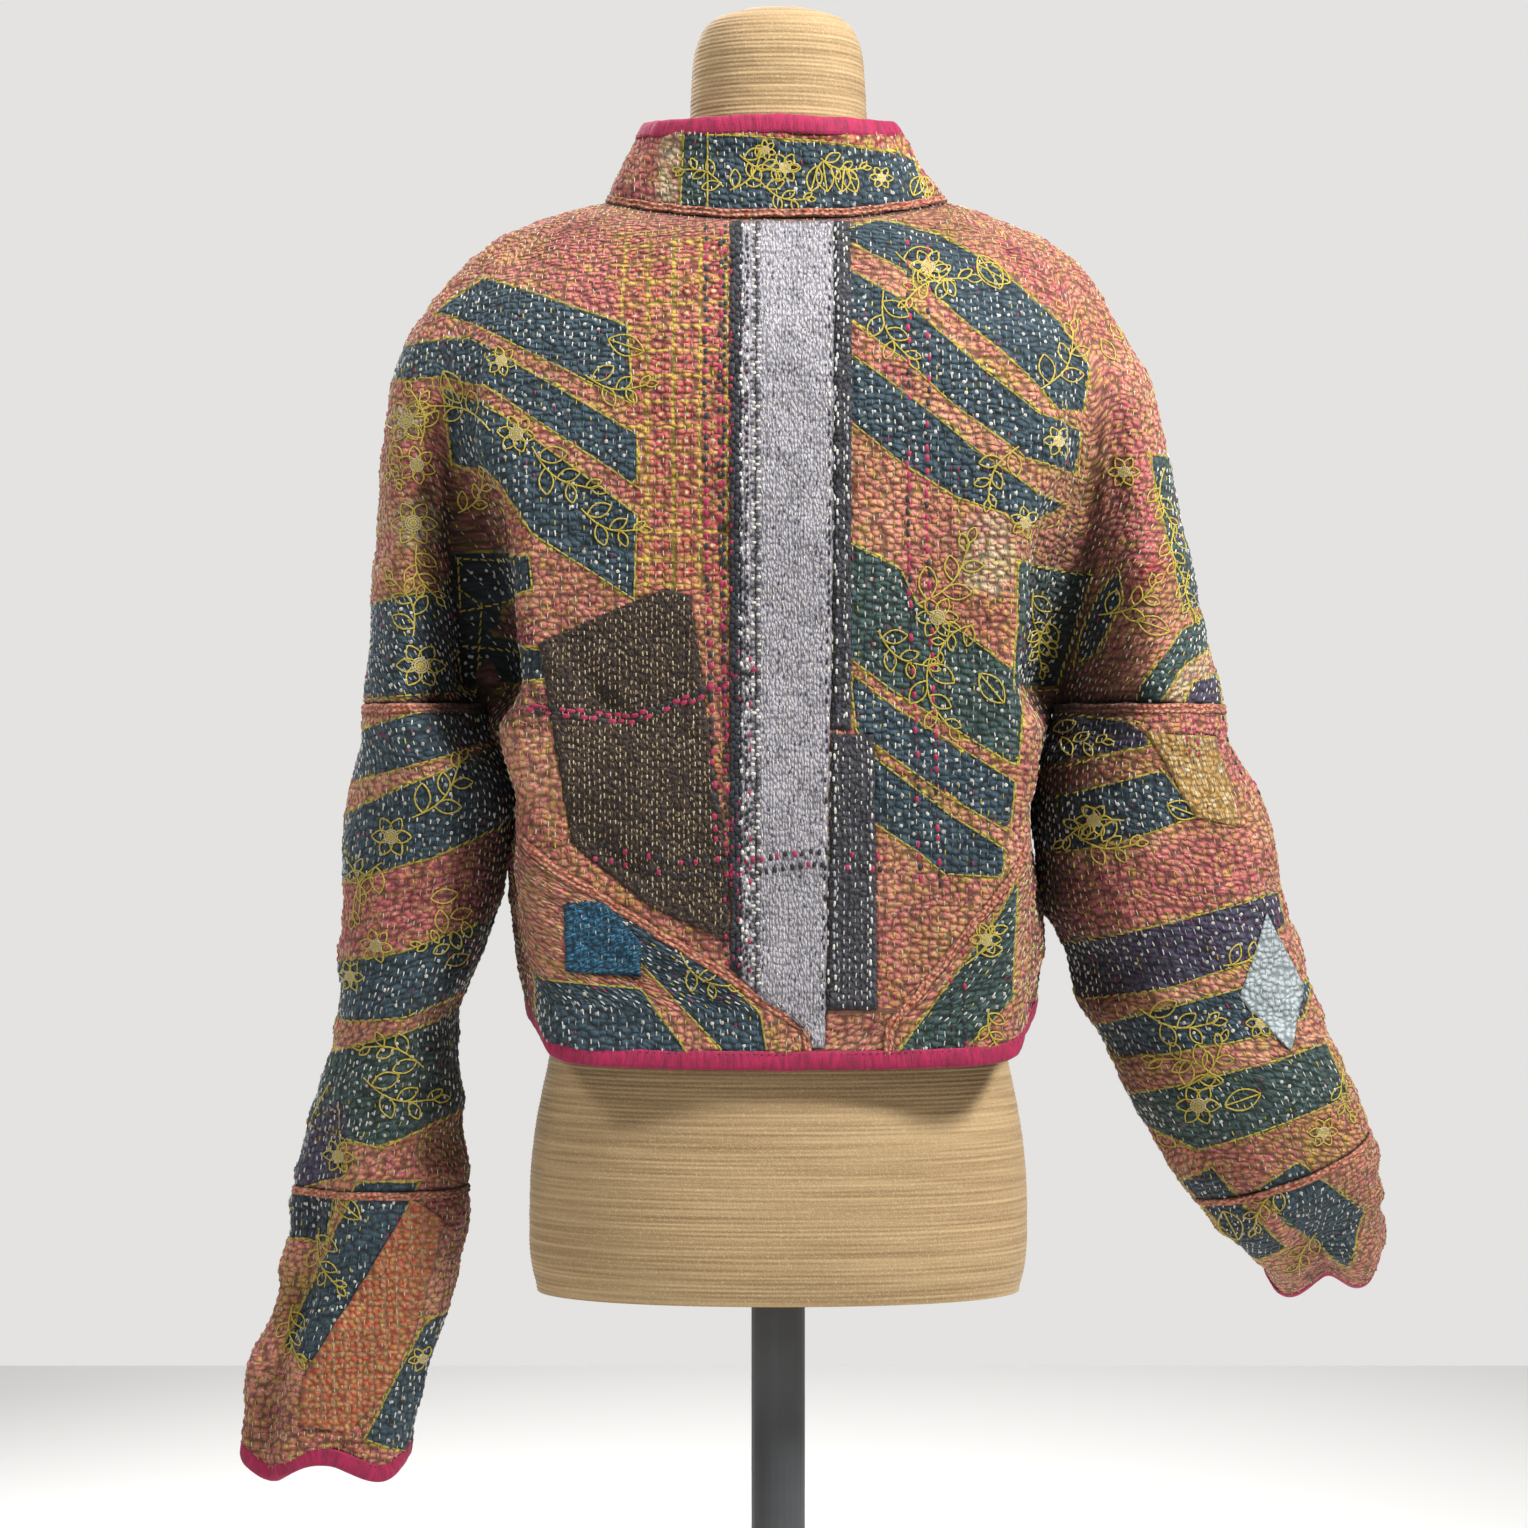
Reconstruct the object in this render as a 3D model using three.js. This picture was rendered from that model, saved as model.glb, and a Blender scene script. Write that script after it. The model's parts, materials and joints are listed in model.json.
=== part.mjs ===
// A cropped kantha jacket, worn on a limbless dress form. Millimetres, +Z up, standing on z = 0.
// The wearer faces -Y and the wearer's left is +X. The origin is the centre of the base's underside.
// The cloth is one thick quilt of several layers. The back and the two fronts are cut in one with
// short kimono sleeve tops. The sleeves hang from a dropped seam and have a second seam at the forearm.

import * as THREE from "three";

// ---------------------------------------------------------------- driving sizes

const AXIS_Z = 990; // the level that every z in the tables below is measured from
const WALL = 3; // thickness of the quilt
const SEAM = 0.3; // clearance between two sewn pieces
const BINDING = { fold: 0.9, depth: 9, gap: 0.5 }; // bias tape folded over an edge
const PATCH = 1.2; // thickness of a patch laid on the back
const FOLD_FLOOR = 5; // how near the middle the armpit fold comes where it is shut
const QUILT = 0.35; // height of the quilted ripple on the outside of the cloth

const COLOURS = {
  cloth: 0x3e4b52,
  binding: 0xc0175c,
  silver: 0xb9b3b8,
  charcoal: 0x3b3a3f,
  plum: 0x45304f,
  ochre: 0xa8803c,
  rust: 0x9a5536,
  brown: 0x5a4330,
  turquoise: 0x1f7b93,
  pale: 0xb4bdc0,
  rope: 0xc8ab7c,
  steel: 0x3a3a3c,
};

/** A table with named columns: one list of numbers for each name. */
function table(names, rows) {
  return Object.fromEntries(
    names.map((name, k) => [name, rows.map((row) => row[k])]),
  );
}

// The neck, shoulders and chest, from the armpit up to the neckline. Each row is a ring round the
// body: its level at the side, the back and the front, how far its back and front stand from the
// middle, how square its corners are, and how far the fold beside the armpit is shut.
const YOKE = table(
  ["side", "backZ", "frontZ", "back", "front", "square", "shut"],
  [
    [40, 40, 40, 108, -122, 0.9, 1],
    [78, 78, 78, 110, -124, 0.9, 0.8],
    [120, 120, 120, 112, -124, 0.9, 0.6],
    [162, 160, 158, 113, -119, 0.89, 0.42],
    [202, 198, 190, 112, -111, 0.87, 0.25],
    [238, 230, 215, 109, -102, 0.84, 0.1],
    [268, 257, 234, 104, -94, 0.8, 0.02],
    [294, 280, 250, 97, -87, 0.77, 0],
    [316, 301, 264, 88, -81, 0.74, 0],
    [340, 322, 277, 78, -76, 0.72, 0],
    [360, 341, 290, 66, -72, 0.72, 0],
  ],
);
const YOKE_TOP = YOKE.side.length - 1;

// For the same rows: the reach of the sleeve top, how deep it is, and where the armpit fold and the
// corner of the back lie, on the wearer's left and right.
const SIDE_NAMES = ["edge", "lobe", "valley", "corner"];
const LEFT = table(SIDE_NAMES, [
  [263, 68, 187, 163],
  [259, 67, 190, 166],
  [256, 65, 194, 168],
  [252, 62, 198, 172],
  [249, 58, 200, 176],
  [244, 53, 200, 172],
  [236, 46, 196, 164],
  [220, 38, 188, 155],
  [200, 31, 171, 143],
  [165, 26, 142, 119],
  [109, 22, 94, 79],
]);
const RIGHT = table(SIDE_NAMES, [
  [283, 70, 174, 152],
  [272, 68, 178, 155],
  [263, 65, 184, 158],
  [253, 62, 190, 161],
  [245, 58, 193, 165],
  [237, 53, 193, 166],
  [222, 45, 186, 158],
  [207, 37, 178, 148],
  [192, 31, 166, 139],
  [158, 26, 137, 114],
  [107, 22, 93, 77],
]);

// The body below the armpit, evenly from the armpit down to the hem.
const BODY = table(
  ["leftSide", "rightSide", "leftCorner", "rightCorner", "back", "front"],
  [
    [187, 174, 163, 152, 108, -122],
    [162, 157, 155, 148, 107, -122],
    [171, 161, 150, 145, 105, -120],
    [167, 169, 141, 142, 103, -118],
    [158, 162, 132, 138, 102, -117],
  ],
);
const BODY_HEM = BODY.back.length - 1;
const BODY_SQUARE = 0.91;
// Level of the hem's cut edge, from the centre back round the side to the centre front.
const HEM_Z = [-182, -181, -177, -164, -153, -150, -148, -148, -148];

// The sleeves below the dropped seam: level, centre, half width across the body, half depth, how far
// the section is turned, how far its ring leans with the sleeve, and how far its front end drops.
const SLEEVE_NAMES = ["z", "out", "y", "wide", "deep", "turn", "lean", "dip"];
const LEFT_SLEEVE = table(SLEEVE_NAMES, [
  [40, 225, 0, 38, 68, 0, 0, 0],
  [-10, 218, 0, 53, 72, 14, 0, 0],
  [-60, 224, 0, 51, 68, 14, 0, 0],
  [-108, 231, -2, 46, 66, 10, 0, 0],
  [-160, 241, -6, 39, 66, 4, 0, 0],
  [-214, 249, -10, 48, 58, 0, 0, 0],
  [-266, 253, -14, 56, 50, 0, 0, 0],
  [-330, 263, -18, 56, 44, 0, 0, 0],
  [-390, 282, -20, 57, 37, 0, 0, 0],
  [-445, 290, -22, 53, 31, 0, 0, 0],
]);
const RIGHT_SLEEVE = table(SLEEVE_NAMES, [
  [40, 229, 0, 55, 70, 0, 0, 0],
  [-10, 233, 0, 69, 67, 14, 3, 0],
  [-60, 239, 2, 75, 61, 14, 8, 0],
  [-110, 253, 0, 71, 58, 12, 13, 0],
  [-165, 276, -4, 65, 56, 8, 17, 0],
  [-218, 303, -8, 61, 54, 0, 20, 0],
  [-262, 327, -26, 56, 48, 0, 20, -14],
  [-293, 349, -72, 46, 36, 0, 14, -38],
  [-314, 362, -126, 40, 23, 0, 6, -56],
]);
// Where the forearm piece begins, as a place among the rows above.
const FOREARM = { left: 6, right: 5.75 };
// The cuffs' edges wave up and down: how many times round, how far, and over how many rows.
const CUFF_WAVE = { times: 4, high: 6, rows: 1.6 };

// Creases pressed into the sleeves: place down the rows, angle round the sleeve (0 at the body, 90 at
// the back, 180 outside), how far it spreads each way, how deep it is, and how it slants.
const FOLD_NAMES = ["row", "angle", "tall", "round", "deep", "slant"];
const LEFT_FOLDS = table(FOLD_NAMES, [
  [4.1, 60, 0.3, 60, 7, 70],
  [4.9, 90, 0.3, 55, 6, 70],
  [5.4, 30, 0.28, 40, 5, 60],
  [7.6, 138, 2.0, 17, 12, 0],
  [2.6, 110, 1.0, 16, 5, 20],
  [4.6, 280, 0.34, 60, 6, -60],
  [7.9, 250, 1.7, 22, 7, 8],
]);
const RIGHT_FOLDS = table(FOLD_NAMES, [
  [3.0, 40, 0.34, 46, 8, 50],
  [5.6, 70, 0.34, 50, 5, -80],
  [6.6, 120, 0.34, 50, 6, 60],
  [1.4, 120, 0.9, 18, 5, -20],
  [7.4, 95, 0.9, 22, 8, 0],
  [4.4, 290, 0.4, 60, 7, -50],
]);

// Collar rows above the neckline: rise at the back, side and front, how far it leans in, and how far
// its ring stands to the wearer's left.
const COLLAR = table(
  ["riseBack", "riseSide", "riseFront", "leanSide", "leanBack", "leanFront", "shift"],
  [
    [0, 0, 0, 0, 0, 0, 0],
    [30, 22, 22, 13, 3, 5, 3],
    [63, 48, 46, 29, 5, 9, 5],
  ],
);

// The dress form: level at the side, back and front, half width, and reach to the back and front.
const FORM_NAMES = ["side", "backZ", "frontZ", "half", "back", "front"];
const FORM_SQUARE = 2.15; // exponent of its oval sections
const FORM = table(FORM_NAMES, [
  [480, 480, 480, 24, 22, -22],
  [472, 472, 472, 44, 42, -41],
  [455, 455, 455, 53, 51, -50],
  [430, 430, 430, 55.5, 52, -52],
  [408, 405, 400, 57, 53, -53],
  [392, 380, 362, 62, 54, -54],
  [372, 358, 325, 78, 55, -55],
  [352, 336, 287, 98, 57, -60],
  [337, 316, 272, 156, 70, -65],
  [314.6, 293, 256, 184, 79, -72],
  [280, 264, 240, 187, 88, -80],
  [230, 226, 215, 178, 96, -92],
  [180, 180, 180, 166, 99, -106],
  [120, 120, 120, 154, 96, -113],
  [60, 60, 60, 143, 90, -110],
  [0, 0, 0, 131, 84, -98],
  [-60, -60, -60, 122, 78, -88],
  [-120, -120, -120, 129, 81, -90],
  [-180, -180, -180, 145, 87, -94],
  [-240, -240, -240, 156, 92, -95],
  [-300, -300, -300, 158, 91, -92],
  [-330, -330, -330, 153, 86, -87],
]);
const FORM_TOP = 483;
const POLE_R = 17;
const BASE = { r: 165, thick: 14, bevel: 4 };

// ---------------------------------------------------------------- curves

const mix = (a, b, t) => a + (b - a) * t;
const clamp01 = (t) => Math.min(1, Math.max(0, t));
const ease = (t) => clamp01(t) ** 2 * (3 - 2 * clamp01(t));
const mixPoints = (p, q, t) => p.map((v, k) => mix(v, q[k], t));

/** The cubic through four values in a row, a share t of the way from b to c. */
function cubic(a, b, c, d, t) {
  return (
    b +
    0.5 *
      t *
      (c - a + t * (2 * a - 5 * b + 4 * c - d + t * (3 * (b - c) + d - a)))
  );
}

/** A column of a table at any place between its rows, on a smooth curve through them. */
function smooth(values, place) {
  const last = values.length - 1;
  const i = Math.min(Math.max(Math.floor(place), 0), last - 1);
  const before = i > 0 ? values[i - 1] : 2 * values[0] - values[1];
  const after =
    i < last - 1 ? values[i + 2] : 2 * values[last] - values[last - 1];
  return cubic(before, values[i], values[i + 1], after, place - i);
}

/** A point on the smooth closed curve through a list of plan points. */
function onLoop(points, place) {
  const n = points.length;
  const i = Math.floor(place);
  const at = (k) => points[(((i + k) % n) + n) % n];
  return [0, 1].map((k) =>
    cubic(at(-1)[k], at(0)[k], at(1)[k], at(2)[k], place - i),
  );
}

// ---------------------------------------------------------------- the jacket's surface

// A place round the jacket is a number q: 0 at the centre back, 8 at the outer edge of the left
// sleeve top, 16 at the centre front, and the same below zero on the right. The armpit folds are at
// 4 and 12.
const EDGE_Q = 8;
const FOLD_Q = 4;
const FRONT_Q = 16;

/** Plan points of one quarter of a yoke ring, from the centre to the outer edge. */
function yokeQuarter(row, sides, depthName) {
  const get = (name) => smooth(sides[name], row);
  const depth = smooth(YOKE[depthName], row);
  const sign = Math.sign(depth);
  const square = smooth(YOKE.square, row);
  const shut = clamp01(smooth(YOKE.shut, row));
  const [edge, valley, corner] = ["edge", "valley", "corner"].map(get);
  const lobe = sign * get("lobe");
  const corners = [corner, depth * square];
  const crown = [edge - 0.42 * (edge - valley), lobe];
  const open = (crown[1] + corners[1]) / 2;
  const fold = [valley, mix(open, sign * FOLD_FLOOR, shut)];
  return [
    [0, depth],
    [corner * 0.55, depth * (1 - 0.16 * (1 - square))],
    corners,
    [mix(fold[0], corner, 0.5), mix(fold[1], corners[1], 0.46)],
    fold,
    [mix(fold[0], crown[0], 0.38), mix(fold[1], lobe, 0.46)],
    crown,
    [edge - 0.1 * (edge - valley), lobe * 0.62],
  ];
}

/** Plan points round a whole ring from its four quarters and the two points where they meet. */
function closeLoop(leftBack, leftEdge, leftFront, rightFront, rightEdge, rightBack) {
  const mirrored = (points) => points.map(([x, y]) => [-x, y]);
  return [
    ...leftBack,
    leftEdge,
    ...leftFront.slice(1).reverse(),
    leftFront[0],
    ...mirrored(rightFront.slice(1)),
    mirrored([rightEdge])[0],
    ...mirrored(rightBack.slice(1)).reverse(),
  ];
}

function yokeLoop(row) {
  return closeLoop(
    yokeQuarter(row, LEFT, "back"),
    [smooth(LEFT.edge, row), 0],
    yokeQuarter(row, LEFT, "front"),
    yokeQuarter(row, RIGHT, "front"),
    [smooth(RIGHT.edge, row), 0],
    yokeQuarter(row, RIGHT, "back"),
  );
}

/** The yoke's outside at a row (0 at the armpit) and a place q round it. */
function yokePoint(row, q) {
  const [x, y] = onLoop(yokeLoop(row), q);
  const level = smooth(YOKE.side, row);
  const [far, farZ] =
    y > 0
      ? [smooth(YOKE.back, row), smooth(YOKE.backZ, row)]
      : [smooth(YOKE.front, row), smooth(YOKE.frontZ, row)];
  return [x, y, AXIS_Z + mix(level, farZ, Math.min(1, y / far) ** 1.5)];
}

function bodyQuarter(row, side, depthName) {
  const half = smooth(BODY[side + "Side"], row);
  const corner = smooth(BODY[side + "Corner"], row);
  const depth = smooth(BODY[depthName], row);
  return [
    [0, depth],
    [corner * 0.55, depth * 0.985],
    [corner, depth * BODY_SQUARE],
    [mix(corner, half, 0.62), depth * 0.48],
  ];
}

function bodyLoop(row) {
  return closeLoop(
    bodyQuarter(row, "left", "back"),
    [smooth(BODY.leftSide, row), 0],
    bodyQuarter(row, "left", "front"),
    bodyQuarter(row, "right", "front"),
    [smooth(BODY.rightSide, row), 0],
    bodyQuarter(row, "right", "back"),
  );
}

/** The body's outside at a row (0 at the armpit, BODY_HEM at the hem) and a place q round it. */
function bodyPoint(row, q) {
  const round = Math.abs(q);
  const half = round <= EDGE_Q ? round : round - EDGE_Q; // the sleeve top's quarter isn't there
  const [x, y] = onLoop(bodyLoop(row), Math.sign(q || 1) * half);
  const top = yokePoint(0, q);
  const hem = smooth(HEM_Z, half);
  const shape = ease(row / 1.2);
  return [
    mix(top[0], x, shape),
    mix(top[1], y, shape),
    AXIS_Z + mix(YOKE.side[0], hem, row / BODY_HEM),
  ];
}

/** The depth of the creases at a place on a sleeve. */
function creases(folds, row, angle) {
  return folds.row.reduce((sum, at, k) => {
    const down = (row - at) / folds.tall[k];
    const turned = angle - folds.angle[k];
    const wrapped = ((((turned + 180) % 360) + 360) % 360) - 180;
    const slanted = down - wrapped / folds.slant[k] || down;
    const across = wrapped / folds.round[k];
    const lift = folds.slant[k] ? slanted : down;
    return sum + folds.deep[k] * Math.exp(-lift * lift - across * across);
  }, 0);
}

const SLEEVES = {
  left: { sign: 1, rows: LEFT_SLEEVE, folds: LEFT_FOLDS },
  right: { sign: -1, rows: RIGHT_SLEEVE, folds: RIGHT_FOLDS },
};
const SLEEVE_BLEND = 1.3; // rows over which the yoke's ring becomes the sleeve's own

/** A sleeve's outside at a row (0 at the dropped seam) and an angle round it, in degrees. */
function sleevePoint(side, row, angle) {
  const { sign, rows, folds } = SLEEVES[side];
  const get = (name) => smooth(rows[name], row);
  const a = THREE.MathUtils.degToRad(angle);
  const turn = THREE.MathUtils.degToRad(get("turn"));
  const lean = Math.tan(THREE.MathUtils.degToRad(get("lean")));
  const dip = Math.tan(THREE.MathUtils.degToRad(get("dip")));
  const squeeze = creases(folds, row, angle);
  const across = -Math.cos(a) * (get("wide") - squeeze);
  const along = Math.sin(a) * (get("deep") - squeeze);
  const dx = across * Math.cos(turn) - along * Math.sin(turn);
  const dy = across * Math.sin(turn) + along * Math.cos(turn);
  const near = ease((row - (rows.z.length - 1 - CUFF_WAVE.rows)) / CUFF_WAVE.rows);
  const wave = near * CUFF_WAVE.high * Math.cos(CUFF_WAVE.times * a);
  const own = [
    sign * (get("out") + dx),
    get("y") + dy,
    AXIS_Z + get("z") + dx * lean + dy * dip + wave,
  ];
  const q = mix(FOLD_Q, 3 * FOLD_Q, angle / 360);
  const top = yokePoint(0, sign * q);
  top[2] = AXIS_Z + get("z");
  return mixPoints(top, own, ease(row / SLEEVE_BLEND));
}

/** The collar's outside, from the neckline (0) to its top edge (2). */
function collarPoint(row, q) {
  const base = yokePoint(YOKE_TOP, q);
  const [x, y] = base;
  const side = clamp01(Math.abs(x) / LEFT.edge[YOKE_TOP]) ** 2;
  const end = y > 0 ? "Back" : "Front";
  const rise = mix(
    smooth(COLLAR["rise" + end], row),
    smooth(COLLAR.riseSide, row),
    side,
  );
  const leanX = (smooth(COLLAR.leanSide, row) * x) / LEFT.edge[YOKE_TOP];
  const depth = y > 0 ? YOKE.back[YOKE_TOP] : YOKE.front[YOKE_TOP];
  const leanY = (smooth(COLLAR["lean" + end], row) * y) / Math.abs(depth);
  return [x - leanX + smooth(COLLAR.shift, row), y - leanY, base[2] + rise];
}

// ---------------------------------------------------------------- walls

const vector = (p) => new THREE.Vector3(...p);

// Which way the product of a surface's two directions faces: out of the cloth or into it.
yokePoint.out = 1;
collarPoint.out = 1;
bodyPoint.out = -1;

/** The outward unit normal at a place on a surface. */
function normalOf({ surface, u, v }) {
  const step = 0.02;
  const du = vector(surface(u + step, v)).sub(vector(surface(u - step, v)));
  const dv = vector(surface(u, v + step)).sub(vector(surface(u, v - step)));
  return du.cross(dv).multiplyScalar(surface.out).normalize();
}

/** A closed triangle mesh, facing out, from its points and its flat convex faces. */
function meshFrom(points, faces) {
  const triangles = faces.flatMap((f) =>
    f.slice(2).flatMap((_, k) => [f[0], f[k + 1], f[k + 2]]),
  );
  const corner = (k) => new THREE.Vector3(...points[triangles[k]]);
  let volume = 0;
  for (let k = 0; k < triangles.length; k += 3)
    volume += corner(k).dot(corner(k + 1).cross(corner(k + 2)));
  if (volume < 0) triangles.reverse();
  const geometry = new THREE.BufferGeometry();
  geometry.setAttribute(
    "position",
    new THREE.Float32BufferAttribute(points.flat(), 3),
  );
  geometry.setIndex(triangles);
  return geometry;
}

/** A wall between two skins with the same faces. An edge that one face alone uses gets a rim. */
function wallBetween(outside, inside, faces) {
  const n = outside.length;
  const once = new Map();
  faces.forEach((face) =>
    face.forEach((a, k) => {
      const b = face[(k + 1) % face.length];
      const key = Math.min(a, b) + "," + Math.max(a, b);
      once.set(key, once.has(key) ? null : [a, b]);
    }),
  );
  const rims = [...once.values()]
    .filter(Boolean)
    .map(([a, b]) => [b, a, a + n, b + n]);
  const inner = faces.map((face) => face.map((k) => k + n).reverse());
  return meshFrom([...outside, ...inside], [...faces, ...inner, ...rims]);
}

/**
 * The outer skin of a cloth piece over a grid: lines of places {surface, u, v}, or null where the
 * piece isn't. Its points stand in a quilted ripple. Each quad is cut into two triangles.
 */
function clothSkin(lines) {
  const points = [];
  const normals = [];
  const places = [];
  const number = lines.map((line, i) =>
    line.map((place, j) => {
      if (!place) return null;
      const normal = normalOf(place);
      const wave = (i + j) % 2 ? 0 : -QUILT;
      const at = vector(place.surface(place.u, place.v));
      points.push(at.addScaledVector(normal, wave));
      normals.push(normal);
      places.push({ ...place, wave });
      return points.length - 1;
    }),
  );
  const faces = [];
  for (let i = 0; i + 1 < lines.length; i++)
    for (let j = 0; j + 1 < lines[i].length; j++) {
      const [a, b] = [number[i][j], number[i][j + 1]];
      const [c, d] = [number[i + 1][j + 1], number[i + 1][j]];
      if ([a, b, c, d].some((k) => k == null)) continue;
      faces.push([a, b, c], [a, c, d]);
    }
  return { points, normals, places, faces };
}

/** A cloth piece: its rippled outer skin over a plain inside. */
function clothWall({ points, normals, places, faces }) {
  const inside = points.map((p, k) =>
    p.clone().addScaledVector(normals[k], -WALL - places[k].wave),
  );
  const list = (skin) => skin.map((p) => p.toArray());
  return wallBetween(list(points), list(inside), faces);
}

/** The part of a flat convex outline inside a flat triangle, as a list of [x, z]. */
function clip(outline, triangle) {
  const cross = (a, b, p) =>
    (b[0] - a[0]) * (p[1] - a[1]) - (b[1] - a[1]) * (p[0] - a[0]);
  const turn = Math.sign(cross(...triangle));
  return triangle.reduce((shape, a, k) => {
    const b = triangle[(k + 1) % 3];
    const side = (p) => turn * cross(a, b, p);
    return shape.flatMap((p, i) => {
      const q = shape[(i + 1) % shape.length];
      const [sp, sq] = [side(p), side(q)];
      const kept = sp >= 0 ? [p] : [];
      if (sp >= 0 === sq >= 0) return kept;
      return [...kept, mixPoints(p, q, sp / (sp - sq))];
    });
  }, outline);
}

/** The shares of a triangle's three corners in a flat point. */
function shares([a, b, c], p) {
  const area = (u, v, w) =>
    (v[0] - u[0]) * (w[1] - u[1]) - (v[1] - u[1]) * (w[0] - u[0]);
  const whole = area(a, b, c);
  return [area(p, b, c) / whole, area(a, p, c) / whole, area(a, b, p) / whole];
}

/**
 * A patch sewn on a cloth piece, as seen from behind: the part of the piece's own facets inside a
 * convex outline of [x, level], moved out from the facets.
 */
function patchOn(skin, outline) {
  const low = [];
  const high = [];
  const faces = [];
  const known = new Map();
  const shape = outline.map(([x, level]) => [x, AXIS_Z + level]);
  skin.faces.forEach((face) => {
    const flat = face.map((k) => [skin.points[k].x, skin.points[k].z]);
    if (face.some((k) => skin.normals[k].y < 0.1)) return;
    const corners = clip(shape, flat);
    const ids = corners.map((p) => {
      const key = p.map((value) => Math.round(value * 500)).join();
      if (known.has(key)) return known.get(key);
      const share = shares(flat, p);
      const put = (d) =>
        face
          .reduce(
            (sum, k, i) =>
              sum
                .addScaledVector(skin.points[k], share[i])
                .addScaledVector(skin.normals[k], share[i] * d),
            new THREE.Vector3(),
          )
          .toArray();
      known.set(key, low.length);
      low.push(put(SEAM));
      high.push(put(SEAM + PATCH));
      return low.length - 1;
    });
    const unique = ids.filter((id, k) => id !== ids[(k + 1) % ids.length]);
    if (unique.length < 3) return;
    // Seen from behind, a facet that faces out turns the same way as its own triangle.
    const turned = (pts) =>
      pts.reduce((sum, p, k) => {
        const q = pts[(k + 1) % pts.length];
        return sum + p[0] * q[1] - p[1] * q[0];
      }, 0);
    faces.push(turned(corners) * turned(flat) > 0 ? unique : unique.reverse());
  });
  return wallBetween(high, low, faces);
}

/**
 * Bias tape folded over an edge of the cloth. The two lines name the places of the edge and of the
 * next row of the cloth, so the tape's legs follow the cloth's own facets.
 */
function bindingOver(edge, next, gap = BINDING.gap) {
  const outer = gap + BINDING.fold;
  const section = [
    [outer, BINDING.depth],
    [outer, -outer],
    [-WALL - outer, -outer],
    [-WALL - outer, BINDING.depth],
    [-WALL - gap, BINDING.depth],
    [-WALL - gap, -gap],
    [gap, -gap],
    [gap, BINDING.depth],
  ];
  const count = section.length;
  const frame = (place) => ({
    at: vector(place.surface(place.u, place.v)),
    normal: normalOf(place),
  });
  const points = edge.flatMap((place, i) => {
    const [here, there] = [frame(place), frame(next[i])];
    const length = here.at.distanceTo(there.at);
    return section.map(([out, depth]) => {
      const share = depth / length;
      const normal = here.normal.clone().lerp(there.normal, share);
      const at = here.at.clone().lerp(there.at, share);
      return at.addScaledVector(normal, out).toArray();
    });
  });
  const last = (edge.length - 1) * count;
  const sides = edge.slice(1).flatMap((_, i) =>
    section.map((__, k) => {
      const [a, b] = [i * count + k, i * count + ((k + 1) % count)];
      return [a, b, b + count, a + count];
    }),
  );
  const cap = [
    [0, 7, 6, 1],
    [1, 6, 5, 2],
    [2, 5, 4, 3],
  ];
  const farCap = cap.map((face) => face.map((k) => k + last).reverse());
  return meshFrom(points, [...sides, ...cap, ...farCap]);
}

/** Numbers from one value to another in even steps, with each end drawn in by its trim. */
function steps(from, to, count, trims = [0, 0]) {
  const sign = Math.sign(to - from);
  return Array.from({ length: count + 1 }, (_, k) => {
    if (k === 0) return from + sign * trims[0];
    return k === count ? to - sign * trims[1] : mix(from, to, k / count);
  });
}

/** A place moved along its line by some millimetres. */
function nudged(surface, u, v, mm) {
  const step = 0.01;
  const speed = vector(surface(u, v + step)).distanceTo(vector(surface(u, v))) / step;
  return { surface, u, v: v + mm / speed };
}

// ---------------------------------------------------------------- the grid of the body pieces

const YOKE_ROWS = [0, 0.5, 1, 1.6, 2.3, 3, 3.7, 4.4, 5, 6, 7, 8, 9, 10];
const QUARTER = [0, 0.5, 1, 1.5, 2, 2.5, 3, 3.5, 4, 4.5, 5, 5.5, 6, 6.6, 7.3, 8];
const BODY_ROWS = steps(0, BODY_HEM, 10);
const HALF_SEAM = SEAM / 2;
const V_TRIM = 0.26; // half the clearance of the slanting seams, measured level
const FRONT_EDGE = 15.93; // the place of a front edge
const BY_EDGE = 15.5; // the place of the column beside it

// The slanting seams low on the back: the place they have reached at each body row.
const V_SEAM = {
  left: [4, 4, 3.4, 2.8, 2.1, 1.55, 1.08, 0.62, 0.2, -0.25, -0.25],
  right: [-4, -4, -3.5, -2.9, -2.3, -1.9, -1.6, -1.35, -1.12, -0.85, -0.85],
};

/** A line across the back: all of it above the armpits, and between the slanting seams below. */
function backLine(surface, row, index) {
  const low = surface === bodyPoint;
  const half = low ? QUARTER.filter((q) => q <= FOLD_Q) : QUARTER;
  const all = [...half.slice(1).reverse().map((q) => -q), ...half];
  const left = low ? V_SEAM.left[index] : EDGE_Q;
  const right = low ? V_SEAM.right[index] : -EDGE_Q;
  const last = all.length - 1;
  const trim = (edge) => (low && Math.abs(edge) < FOLD_Q ? V_TRIM : HALF_SEAM);
  const end = all[last];
  const line = all.map((q, k) => {
    const place = mix(right, left, (q + end) / (2 * end));
    if (k === 0) return nudged(surface, row, place, trim(right));
    if (k === last) return nudged(surface, row, place, -trim(left));
    return { surface, u: row, v: place };
  });
  const blank = Array((2 * QUARTER.length - 1 - line.length) / 2).fill(null);
  return [...blank, ...line, ...blank];
}

const upperRows = [...YOKE_ROWS].reverse();
const backLines = [
  ...upperRows.map((row) => backLine(yokePoint, row)),
  ...BODY_ROWS.slice(1).map((row, k) => backLine(bodyPoint, row, k + 1)),
];

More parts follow.
